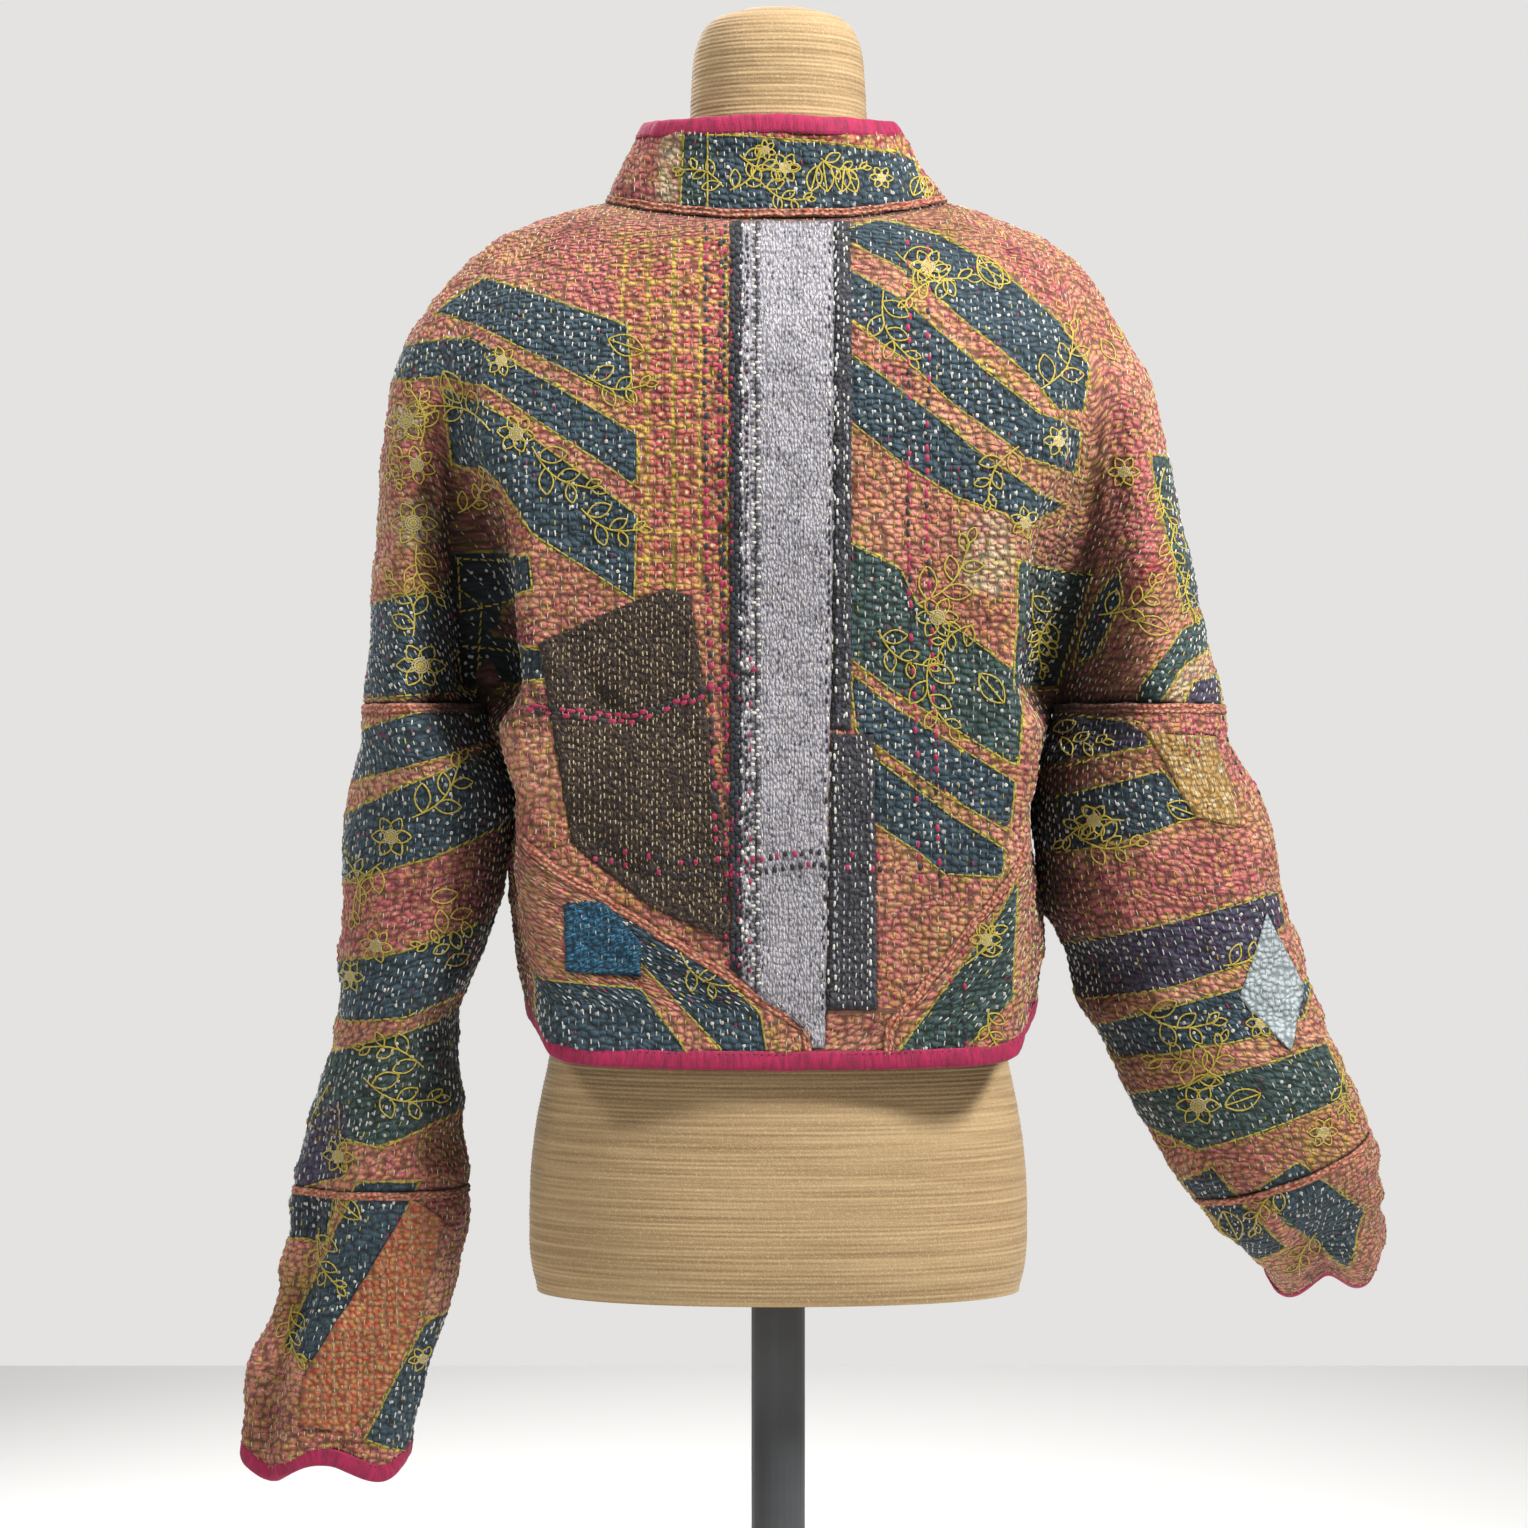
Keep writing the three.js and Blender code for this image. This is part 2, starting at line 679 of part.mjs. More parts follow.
/** The lines of a front: the side seam or shoulder seam first, the front edge last. */
function frontLines(sign) {
  const line = (surface, row) => {
    const qs = QUARTER.map((q) => FRONT_Q - q).reverse();
    const from = surface === bodyPoint ? 3 * FOLD_Q : EDGE_Q;
    return qs.map((q) => {
      if (q < from) return null;
      if (q === FRONT_Q) return { surface, u: row, v: sign * FRONT_EDGE };
      if (q > from) return { surface, u: row, v: sign * q };
      return nudged(surface, row, sign * q, sign * HALF_SEAM);
    });
  };
  return [
    ...upperRows.map((row) => line(yokePoint, row)),
    ...BODY_ROWS.slice(1).map((row) => line(bodyPoint, row)),
  ];
}

const CORNER_START = 2; // the body row where the lower corner pieces begin
const CORNER_COLUMNS = 8;

/** The lines of a lower corner of the back, from its slanting seam to the side seam. */
function cornerLines(side, sign) {
  return BODY_ROWS.slice(CORNER_START).map((row, k) => {
    const seam = V_SEAM[side][k + CORNER_START];
    const at = (v, mm) => nudged(bodyPoint, row, v, mm);
    return steps(seam, sign * FOLD_Q, CORNER_COLUMNS).map((v, j) => {
      if (j === 0) return at(v, sign * V_TRIM);
      if (j === CORNER_COLUMNS) return at(v, -sign * HALF_SEAM);
      return { surface: bodyPoint, u: row, v };
    });
  });
}

// ---------------------------------------------------------------- sleeves

const SLEEVE_COLUMNS = 24;
const CUFF_GAP = 1.3; // the tape stands a little off the crumpled cuffs
const CROTCH_TRIM = 3; // degrees left open under the arm at the dropped seam
const ROW_TRIM = 0.008; // the forearm seam, in sleeve rows: they lie close inside the elbow
const DROP_TRIM = 0.024; // the dropped seam, in sleeve rows: the cloth's edges lean there

/** The lines of a sleeve piece between two rows, open along its seam under the arm. */
function sleeveLines(side, from, to, count, trims) {
  const surface = (row, angle) => sleevePoint(side, row, angle);
  surface.out = -SLEEVES[side].sign;
  return steps(from, to, count, trims).map((row) => {
    const angles = steps(0, 360, SLEEVE_COLUMNS);
    return angles.map((angle, j) => {
      const open = CROTCH_TRIM * (1 - ease(row / SLEEVE_BLEND));
      if (j === 0) return nudged(surface, row, open, HALF_SEAM);
      if (j === SLEEVE_COLUMNS)
        return nudged(surface, row, 360 - open, -HALF_SEAM);
      return { surface, u: row, v: angle };
    });
  });
}

// ---------------------------------------------------------------- the form

/** A solid of oval rings, closed by a point above and a point below. */
function ringSolid(rings, top, bottom) {
  const count = rings[0].length;
  const points = [...rings.flat(), top, bottom];
  const [above, below] = [points.length - 2, points.length - 1];
  const faces = [];
  for (let k = 0; k < count; k++) {
    const next = (k + 1) % count;
    faces.push([above, k, next]);
    for (let i = 0; i + 1 < rings.length; i++) {
      const [a, b] = [i * count + k, i * count + next];
      faces.push([a, a + count, b + count, b]);
    }
    const last = (rings.length - 1) * count;
    faces.push([below, last + next, last + k]);
  }
  return meshFrom(points, faces);
}

/** A ring of the form at a row of its table. */
function formRing(row, columns) {
  const get = (name) => FORM[name][row];
  return Array.from({ length: columns }, (_, k) => {
    const a = (2 * Math.PI * k) / columns;
    const power = (value) =>
      Math.sign(value) * Math.abs(value) ** (2 / FORM_SQUARE);
    const x = get("half") * power(Math.cos(a));
    const back = Math.sin(a) >= 0;
    const far = back ? get("back") : -get("front");
    const y = far * power(Math.sin(a));
    const level = mix(
      get("side"),
      back ? get("backZ") : get("frontZ"),
      Math.abs(y / far) ** 1.5,
    );
    return [x, y, AXIS_Z + level];
  });
}

/** A round solid from its outline of [radius, level], lowest first. */
function turned(outline, sides) {
  const rings = [...outline].reverse().map(([r, z]) =>
    Array.from({ length: sides }, (_, k) => {
      const a = (2 * Math.PI * k) / sides;
      return [r * Math.cos(a), r * Math.sin(a), z];
    }),
  );
  const [low, high] = [outline[0][1], outline[outline.length - 1][1]];
  return ringSolid(rings, [0, 0, high], [0, 0, low]);
}

// ---------------------------------------------------------------- the pieces

const group = new THREE.Group();

/** Adds a named piece with its own material. */
function add(name, geometry, colour, roughness = 0.9) {
  const material = new THREE.MeshStandardMaterial({
    color: colour,
    roughness,
    metalness: 0,
  });
  const mesh = new THREE.Mesh(geometry, material);
  mesh.name = name;
  group.add(mesh);
}

const back = clothSkin(backLines);
add("back", clothWall(back), COLOURS.cloth);
const lowerLeft = clothSkin(cornerLines("left", 1));
const lowerRight = clothSkin(cornerLines("right", -1));
add("back_corner_left", clothWall(lowerLeft), COLOURS.cloth);
add("back_corner_right", clothWall(lowerRight), COLOURS.cloth);
const fronts = { left: frontLines(1), right: frontLines(-1) };
add("front_left", clothWall(clothSkin(fronts.left)), COLOURS.cloth);
add("front_right", clothWall(clothSkin(fronts.right)), COLOURS.cloth);

const skins = {};
for (const side of ["left", "right"]) {
  const last = SLEEVES[side].rows.z.length - 1;
  const seam = FOREARM[side];
  const upper = sleeveLines(side, 0, seam, 13, [DROP_TRIM, ROW_TRIM]);
  const lower = sleeveLines(side, seam, last, 7, [ROW_TRIM, 0]);
  skins[side] = { upper: clothSkin(upper), lower: clothSkin(lower) };
  add("sleeve_upper_" + side, clothWall(skins[side].upper), COLOURS.cloth);
  add("sleeve_lower_" + side, clothWall(skins[side].lower), COLOURS.cloth);
  const [above, cuff] = lower.slice(-2);
  add("cuff_binding_" + side, bindingOver(cuff, above, CUFF_GAP), COLOURS.binding);
}

const collarSide = [...steps(0, BY_EDGE, 15), FRONT_EDGE];
const collarQs = [...collarSide.slice(1).reverse().map((q) => -q), ...collarSide];
const COLLAR_ROWS = [2, 1.4, 0.7, 0.03];
const collarLines = COLLAR_ROWS.map((row) =>
  collarQs.map((v) => ({ surface: collarPoint, u: row, v })),
);
add("collar", clothWall(clothSkin(collarLines)), COLOURS.cloth);
add("collar_binding", bindingOver(collarLines[0], collarLines[1]), COLOURS.binding);

// The hem binding follows the hem of the right front, the back's three pieces and the left front.
const hemLine = (up) => {
  const of = (lines) => lines[lines.length - 1 - up].filter(Boolean);
  return [
    ...of(fronts.right).reverse(),
    ...of(cornerLines("right", -1)).reverse().slice(1),
    ...of(backLines).slice(1),
    ...of(cornerLines("left", 1)).slice(1),
    ...of(fronts.left).slice(1),
  ];
};
add("hem_binding", bindingOver(hemLine(0), hemLine(1)), COLOURS.binding);

// A front binding runs from just above the hem binding to just below the collar binding.
const ROW_HEIGHT = { body: 47, collar: 23 }; // one row near the hem, and near the collar's top
const tapeEnd = BINDING.depth + 2 * SEAM;
const hemTop = BODY_HEM - tapeEnd / ROW_HEIGHT.body;
const collarTop = 2 - tapeEnd / ROW_HEIGHT.collar;
for (const [side, sign] of [
  ["left", 1],
  ["right", -1],
]) {
  const line = (q) => {
    const edge = (surface, rows) => rows.map((u) => ({ surface, u, v: sign * q }));
    return [
      ...edge(collarPoint, [collarTop, ...COLLAR_ROWS.slice(1)]),
      ...edge(yokePoint, upperRows),
      ...edge(bodyPoint, [...BODY_ROWS.slice(1, -1), hemTop]),
    ];
  };
  const tape = bindingOver(line(FRONT_EDGE), line(BY_EDGE));
  add("front_binding_" + side, tape, COLOURS.binding);
}

// Patches, as seen from behind: the piece each lies on, its colour and its outline of [x, level].
const PATCHES = {
  strip_centre: [back, COLOURS.silver, [[14, 341], [-34, 341], [-33, 120], [-28, -170], [14, -170]]],
  strip_edge: [back, COLOURS.plum, [[29, 341], [14.4, 341], [14.4, -135], [29, -122]]],
  strip_charcoal: [
    back, COLOURS.charcoal, [[-34.4, 341], [-44, 341], [-44, 24], [-32.4, 24], [-33.4, 120]],
  ],
  patch_charcoal: [back, COLOURS.charcoal, [[-32.6, 21], [-58, 21], [-60, -146], [-29.2, -146]]],
  patch_brown: [
    back,
    COLOURS.brown,
    [[146, 77], [70, 109], [54, 106], [31, -55], [31, -105], [78, -84], [126, -46]],
  ],
  patch_turquoise: [
    lowerLeft,
    COLOURS.turquoise,
    [[131, -80], [108, -79], [84, -105], [84, -127], [130, -125]],
  ],
  patch_ochre: [
    skins.right.upper,
    COLOURS.ochre,
    [[-226, 24], [-272, 22], [-288, -36], [-258, -30]],
  ],
  patch_pale: [
    skins.right.upper,
    COLOURS.pale,
    [[-304, -90], [-330, -137], [-319, -176], [-286, -143]],
  ],
  patch_checked: [
    skins.left.lower,
    COLOURS.rust,
    [[229, -270], [210, -284], [229, -355], [247, -392], [272, -420], [302, -414], [300, -384]],
  ],
};
for (const [name, [skin, colour, outline]] of Object.entries(PATCHES))
  add(name, patchOn(skin, outline), colour);

const rings = FORM.side.map((_, row) => formRing(row, 28));
const lowest = FORM.side[FORM.side.length - 1];
const formTop = [3.5, 0, AXIS_Z + FORM_TOP];
const formBottom = [0, 0, AXIS_Z + lowest];
add("form", ringSolid(rings, formTop, formBottom), COLOURS.rope);
const { r, thick, bevel } = BASE;
const poleOutline = [
  [POLE_R, thick + SEAM],
  [POLE_R, AXIS_Z + lowest - SEAM],
];
add("pole", turned(poleOutline, 24), COLOURS.steel, 0.4);
const baseOutline = [
  [r, 0],
  [r, thick - bevel],
  [r - bevel, thick],
];
add("base", turned(baseOutline, 48), COLOURS.steel, 0.4);

export default group;
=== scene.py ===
"""A quilted kantha jacket on a rope-wound dress form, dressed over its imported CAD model.

The scripts' own unit is the millimetre. +Z is up, the wearer faces -Y and the wearer's left is +X.
Every cloth surface is worked out as one numpy grid from short tables of rings, the same rings that
the CAD pieces are made from. On each grid a point also has a place in the cloth: `s` runs along the
weft and `t` up the warp, both in millimetres, and the print and the running stitches follow them.
"""

import json
import logging
import math
from dataclasses import dataclass, field, replace
from enum import Enum

import bmesh
import bpy
import numpy as np
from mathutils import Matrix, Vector
from mathutils.bvhtree import BVHTree

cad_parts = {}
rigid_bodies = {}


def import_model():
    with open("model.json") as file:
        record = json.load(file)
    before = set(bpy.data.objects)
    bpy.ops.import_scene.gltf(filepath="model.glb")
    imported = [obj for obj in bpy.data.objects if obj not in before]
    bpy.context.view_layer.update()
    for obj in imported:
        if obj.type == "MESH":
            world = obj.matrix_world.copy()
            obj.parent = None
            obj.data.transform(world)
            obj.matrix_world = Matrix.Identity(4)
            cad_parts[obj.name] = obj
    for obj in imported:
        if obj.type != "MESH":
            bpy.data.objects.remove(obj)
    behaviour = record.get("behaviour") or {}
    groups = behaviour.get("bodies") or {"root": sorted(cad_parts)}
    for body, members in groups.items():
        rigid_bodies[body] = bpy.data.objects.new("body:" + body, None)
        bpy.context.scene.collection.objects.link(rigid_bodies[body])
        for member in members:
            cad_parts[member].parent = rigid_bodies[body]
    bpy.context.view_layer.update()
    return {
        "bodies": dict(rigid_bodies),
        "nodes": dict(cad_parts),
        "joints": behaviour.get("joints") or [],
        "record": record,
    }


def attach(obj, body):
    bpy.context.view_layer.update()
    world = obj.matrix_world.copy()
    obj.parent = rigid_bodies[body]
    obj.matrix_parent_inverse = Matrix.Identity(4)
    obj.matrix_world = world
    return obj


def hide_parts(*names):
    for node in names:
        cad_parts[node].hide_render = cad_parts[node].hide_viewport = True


log = logging.getLogger("kantha_jacket")

MM = 0.001
LEVEL = 990.0  # the height that every level in the tables is measured from
WALL = 3.0  # thickness of the quilt
CELL = 3.6  # size of a cell of the cloth grids
RIM = 13.0  # how far from a piece's edge its creases and lumps are at their full depth
EDGE_CELLS = 5  # how many cells in from a piece's edge are counted
STITCH_LINES = 4.4  # between two lines of running stitch
TUCK = 9.0  # how far the sleeve swells to meet the body under the arm
TUCK_LEVEL, TUCK_SPAN = 22.0, 28.0  # the middle of that swelling and half its height
FOLD_FLOOR = 5.0  # how near the middle the armpit fold comes where it is shut
SIDES = {1: "left", -1: "right"}  # the wearer's sides, by the sign of x


# ------------------------------------------------------------------ tables


class Table:
    """Named columns of numbers, one row for each ring or crease.

    Args:
        names: the columns' names, in one string.
        rows: the numbers, one row to a line of text.
    """

    def __init__(self, names: str, rows: str) -> None:
        """Reads the text."""
        self.rows = np.array([line.split() for line in rows.strip().splitlines()], float)
        self.names = names.split()

    def at(self, name: str, place: np.ndarray) -> np.ndarray:
        """A column at any places between its rows, on a smooth curve through them."""
        return smooth(self.column(name), np.asarray(place, float))

    def column(self, name: str) -> np.ndarray:
        """A column's own numbers."""
        return self.rows[:, self.names.index(name)]

    @property
    def last(self) -> int:
        """The place of the last row."""
        return len(self.rows) - 1


# The yoke's rings, from the armpit's level up to the neckline: the level at the side, back and
# front, the depth of the back and front, how square they are and how far the armpit fold is shut.
YOKE = Table("side backZ frontZ back front square shut", """
    40 40 40 108 -122 0.9 1
    78 78 78 110 -124 0.9 0.8
    120 120 120 112 -124 0.9 0.6
    162 160 158 113 -119 0.89 0.42
    202 198 190 112 -111 0.87 0.25
    238 230 215 109 -102 0.84 0.1
    268 257 234 104 -94 0.8 0.02
    294 280 250 97 -87 0.77 0
    316 301 264 88 -81 0.74 0
    340 322 277 78 -76 0.72 0
    360 341 290 66 -72 0.72 0
""")
ARMPIT = YOKE.column("side")[0]
# Each side of the yoke's rings: how far out its edge is, the depth of the sleeve top's lobe, and
# how far out the armpit's valley and the corner of the back are.
SIDE_NAMES = "edge lobe valley corner"
YOKE_SIDES = {
    1: Table(SIDE_NAMES, """
        263 68 187 163
        259 67 190 166
        256 65 194 168
        252 62 198 172
        249 58 200 176
        244 53 200 172
        236 46 196 164
        220 38 188 155
        200 31 171 143
        165 26 142 119
        109 22 94 79
    """),
    -1: Table(SIDE_NAMES, """
        283 70 174 152
        272 68 178 155
        263 65 184 158
        253 62 190 161
        245 58 193 165
        237 53 193 166
        222 45 186 158
        207 37 178 148
        192 31 166 139
        158 26 137 114
        107 22 93 77
    """),
}
# The body's rings, from the armpit's level down to the hem.
BODY = Table("left right leftCorner rightCorner back front", """
    187 174 163 152 108 -122
    162 157 155 148 107 -122
    171 161 150 145 105 -120
    167 169 141 142 103 -118
    158 162 132 138 102 -117
""")
BODY_SQUARE = 0.91
# Levels of the hem at each plan point, from the centre back round to the centre front.
HEM_LEVEL = np.array([-182, -181, -177, -164, -153, -150, -148, -148, -148], float)
# The sleeves' rings, from the dropped seam down to the cuff: level, how far out and back the middle
# is, half width and half depth, and how far the ring is turned, leaned and dipped, in degrees.
SLEEVE_NAMES = "z out y wide deep turn lean dip"
SLEEVES = {
    1: Table(SLEEVE_NAMES, """
        40 225 0 38 68 0 0 0
        -10 218 0 53 72 14 0 0
        -60 224 0 51 68 14 0 0
        -108 231 -2 46 66 10 0 0
        -160 241 -6 39 66 4 0 0
        -214 249 -10 48 58 0 0 0
        -266 253 -14 56 50 0 0 0
        -330 263 -18 56 44 0 0 0
        -390 282 -20 57 37 0 0 0
        -445 290 -22 53 31 0 0 0
    """),
    -1: Table(SLEEVE_NAMES, """
        40 229 0 55 70 0 0 0
        -10 233 0 69 67 14 3 0
        -60 239 2 75 61 14 8 0
        -110 253 0 71 58 12 13 0
        -165 276 -4 65 56 8 17 0
        -218 303 -8 61 54 0 20 0
        -262 327 -26 56 48 0 20 -14
        -293 349 -72 46 36 0 14 -38
        -314 362 -126 40 23 0 6 -56
    """),
}
FOREARM = {1: 6.0, -1: 5.75}  # the row of the forearm seam
CUFF_TIMES, CUFF_HIGH, CUFF_ROWS = 4, 6.0, 1.6  # the waves of the cuffs' edges
# The sleeves' creases: the row and angle of each, its height in rows, its width in degrees, its
# depth, and how many degrees it slants for each row, or 0 where it runs straight down.
FOLD_NAMES = "row angle tall round deep slant"
FOLDS = {
    1: Table(FOLD_NAMES, """
        4.1 60 0.3 60 7 70
        4.9 90 0.3 55 6 70
        5.4 30 0.28 40 5 60
        7.6 138 2 17 12 0
        2.6 110 1 16 5 20
        4.6 280 0.34 60 6 -60
        7.9 250 1.7 22 7 8
    """),
    -1: Table(FOLD_NAMES, """
        3 40 0.34 46 8 50
        5.6 70 0.34 50 5 -80
        6.6 120 0.34 50 6 60
        1.4 120 0.9 18 5 -20
        7.4 95 0.9 22 8 0
        4.4 290 0.4 60 7 -50
    """),
}
# The collar's rings, from the neckline up: how far each rises, leans in and is shifted sideways.
COLLAR = Table("riseBack riseSide riseFront leanSide leanBack leanFront shift", """
    0 0 0 0 0 0 0
    30 22 22 13 3 5 3
    63 48 46 29 5 9 5
""")
# Places round a ring, counted in its plan points: the outer edge, the armpit fold, the front edge.
EDGE_Q, FOLD_Q, FRONT_EDGE = 8.0, 4.0, 15.93
SLEEVE_BLEND, BODY_BLEND = 1.3, 1.2  # rows over which the yoke's lowest ring turns into theirs
DROP_TRIM, ROW_TRIM = 0.024, 0.008  # half of the dropped and forearm seams, in sleeve rows
EDGE_TRIM, SHOULDER_TRIM, SLANT_TRIM = 0.15 / 22, 0.007, 0.004  # half of other seams, in q
# The slanting seams of the back: their place round the body at each of some rows.
V_ROWS = np.linspace(0, 4, 11)
V_SEAM = {
    1: [4, 4, 3.4, 2.8, 2.1, 1.55, 1.08, 0.62, 0.2, -0.25, -0.25],
    -1: [-4, -4, -3.5, -2.9, -2.3, -1.9, -1.6, -1.35, -1.12, -0.85, -0.85],
}
# The form's rings, from the neck's top down: levels at the side, back and front, and sizes.
FORM = Table("side backZ frontZ half back front", """
    480 480 480 24 22 -22
    472 472 472 44 42 -41
    455 455 455 53 51 -50
    430 430 430 55.5 52 -52
    408 405 400 57 53 -53
    392 380 362 62 54 -54
    372 358 325 78 55 -55
    352 336 287 98 57 -60
    337 316 272 156 70 -65
    314.6 293 256 184 79 -72
    280 264 240 187 88 -80
    230 226 215 178 96 -92
    180 180 180 166 99 -106
    120 120 120 154 96 -113
    60 60 60 143 90 -110
    0 0 0 131 84 -98
    -60 -60 -60 122 78 -88
    -120 -120 -120 129 81 -90
    -180 -180 -180 145 87 -94
    -240 -240 -240 156 92 -95
    -300 -300 -300 158 91 -92
    -330 -330 -330 153 86 -87
""")
FORM_SQUARE = 2.15
FORM_TOP, TOP_SHIFT = 483.0, 3.5  # the neck's highest point, and how far that is from the middle


# ------------------------------------------------------------------ curves


def unit(vectors: np.ndarray) -> np.ndarray:
    """Vectors brought to length 1."""
    return vectors / np.linalg.norm(vectors, axis=-1, keepdims=True)


def lengths(line: np.ndarray) -> np.ndarray:
    """Distance along a line from its start to each of its points."""
    return np.concatenate([[0], np.cumsum(np.linalg.norm(np.diff(line, axis=0), axis=1))])


def along_line(at: np.ndarray, length: np.ndarray, line: np.ndarray) -> np.ndarray:
    """The points at some distances along a line, given the distance of each of its points."""
    return np.stack([np.interp(at, length, column) for column in line.T], 1)


def cubic(a, b, c, d, t):
    """The cubic through four values in a row, a share t of the way from b to c.

    Args:
        a, b, c, d: the values.
        t: the share.

    Returns:
        The value there.
    """
    return b + 0.5 * t * (c - a + t * (2 * a - 5 * b + 4 * c - d + t * (3 * (b - c) + d - a)))


def smooth(values: np.ndarray, place: np.ndarray) -> np.ndarray:
    """A smooth curve through values, read at places counted in values."""
    padded = np.concatenate([[2 * values[0] - values[1]], values, [2 * values[-1] - values[-2]]])
    i = np.clip(np.floor(place).astype(int), 0, len(values) - 2)
    a, b, c, d = (padded[i + k] for k in range(4))
    return cubic(a, b, c, d, place - i)


def loop_at(loops: np.ndarray, q: np.ndarray) -> np.ndarray:
    """Points on smooth closed curves.

    Args:
        loops: (rows, points, 2), the plan points of one closed curve for each row.
        q: (rows, columns), the places on each curve, counted in plan points.

    Returns:
        (rows, columns, 2) plan points.
    """
    rows, count = loops.shape[:2]
    i = np.floor(q).astype(int)
    r = np.arange(rows)[:, None]
    a, b, c, d = (loops[r, (i + k) % count] for k in (-1, 0, 1, 2))
    return cubic(a, b, c, d, (q - i)[..., None])


def ease(t: np.ndarray) -> np.ndarray:
    """From 0 to 1 with level ends."""
    t = np.clip(t, 0, 1)
    return t * t * (3 - 2 * t)


def mix(a, b, t):
    """The value a share t of the way from a to b."""
    return a + (b - a) * t


def noise(x: np.ndarray, y: np.ndarray, seed: int) -> np.ndarray:
    """Smooth random hills of about unit size, from -1 to 1, the same for the same seed."""
    grid = np.random.default_rng(seed).uniform(-1, 1, (64, 64))
    i, j = np.floor(x).astype(int), np.floor(y).astype(int)
    u, v = ease(x - i), ease(y - j)
    low = mix(grid[i % 64, j % 64], grid[(i + 1) % 64, j % 64], u)
    high = mix(grid[i % 64, (j + 1) % 64], grid[(i + 1) % 64, (j + 1) % 64], u)
    return mix(low, high, v)


# ------------------------------------------------------------------ the jacket's surface


def yoke_quarter(row: np.ndarray, side: int, depth_name: str) -> np.ndarray:
    """Plan points of a quarter of the yoke's rings, from the centre to the outer edge."""
    table = YOKE_SIDES[side]
    edge, lobe, valley, corner = (table.at(name, row) for name in SIDE_NAMES.split())
    depth, square = YOKE.at(depth_name, row), YOKE.at("square", row)
    sign = np.sign(depth)
    shut = np.clip(YOKE.at("shut", row), 0, 1)
    lobe = sign * lobe
    corner_y = depth * square
    crown_x = edge - 0.42 * (edge - valley)
    floor = mix((lobe + corner_y) / 2, sign * FOLD_FLOOR, shut)
    points = [
        (0 * depth, depth),
        (corner * 0.55, depth * (1 - 0.16 * (1 - square))),
        (corner, corner_y),
        (mix(valley, corner, 0.5), mix(floor, corner_y, 0.46)),
        (valley, floor),
        (mix(valley, crown_x, 0.38), mix(floor, lobe, 0.46)),
        (crown_x, lobe),
        (edge - 0.1 * (edge - valley), lobe * 0.62),
    ]
    return np.array([[x, y] for x, y in points]).transpose(2, 0, 1)


def body_quarter(row: np.ndarray, side: int, depth_name: str) -> np.ndarray:
    """Plan points of a quarter of the body's rings below the armpit."""
    name = SIDES[side]
    half, corner = BODY.at(name, row), BODY.at(name + "Corner", row)
    depth = BODY.at(depth_name, row)
    points = [
        (0 * depth, depth),
        (corner * 0.55, depth * 0.985),
        (corner, depth * BODY_SQUARE),
        (mix(corner, half, 0.62), depth * 0.48),
    ]
    return np.array([[x, y] for x, y in points]).transpose(2, 0, 1)


def closed_rings(quarter, row: np.ndarray, edges: dict[int, np.ndarray]) -> np.ndarray:
    """Whole rings from their quarters: centre back, left side, centre front, right side."""

    def half(side: int) -> np.ndarray:
        """The half ring on one side, from the centre back to the centre front."""
        back, front = quarter(row, side, "back"), quarter(row, side, "front")
        edge = np.stack([edges[side], 0 * edges[side]], -1)[:, None]
        return np.concatenate([back, edge, front[:, :0:-1], front[:, :1]], 1)

    left, right = half(1), half(-1) * [-1, 1]
    return np.concatenate([left, right[:, -2:0:-1]], 1)


def yoke(row: np.ndarray, q: np.ndarray) -> np.ndarray:
    """The yoke's outside: row 0 is the armpit's level and the last row the neckline."""
    edges = {side: YOKE_SIDES[side].at("edge", row) for side in (1, -1)}
    plan = loop_at(closed_rings(yoke_quarter, row, edges), q)
    y = plan[..., 1]
    far = np.where(y > 0, YOKE.at("back", row)[:, None], YOKE.at("front", row)[:, None])
    far_z = np.where(y > 0, YOKE.at("backZ", row)[:, None], YOKE.at("frontZ", row)[:, None])
    share = np.clip(y / far, 0, 1) ** 1.5
    z = mix(YOKE.at("side", row)[:, None], far_z, share)
    return np.concatenate([plan, z[..., None]], -1)


def body(row: np.ndarray, q: np.ndarray) -> np.ndarray:
    """The body's outside below the armpit: row 0 is the armpit's level and row 4 the hem."""
    around = np.abs(q)
    half = np.where(around <= EDGE_Q, around, around - EDGE_Q)
    edges = {1: BODY.at("left", row), -1: BODY.at("right", row)}
    plan = loop_at(closed_rings(body_quarter, row, edges), np.sign(q) * half)
    top = yoke(np.zeros_like(row), q)
    plan = mix(top[..., :2], plan, ease(row / BODY_BLEND)[:, None, None])
    z = mix(ARMPIT, smooth(HEM_LEVEL, half), row[:, None] / BODY.last)
    return np.concatenate([plan, z[..., None]], -1)


def creases(side: int, row: np.ndarray, angle: np.ndarray) -> np.ndarray:
    """How far the creases press a sleeve in at each place, each a slanting trough."""
    total = np.zeros(angle.shape)
    for at, turn, tall, wide, deep, slant in FOLDS[side].rows:
        turned = (angle - turn + 180) % 360 - 180
        down = (row[:, None] - at) / tall
        if slant:
            down = down - turned / slant
        total += deep * np.exp(-(down**2) - (turned / wide) ** 2)
    return total


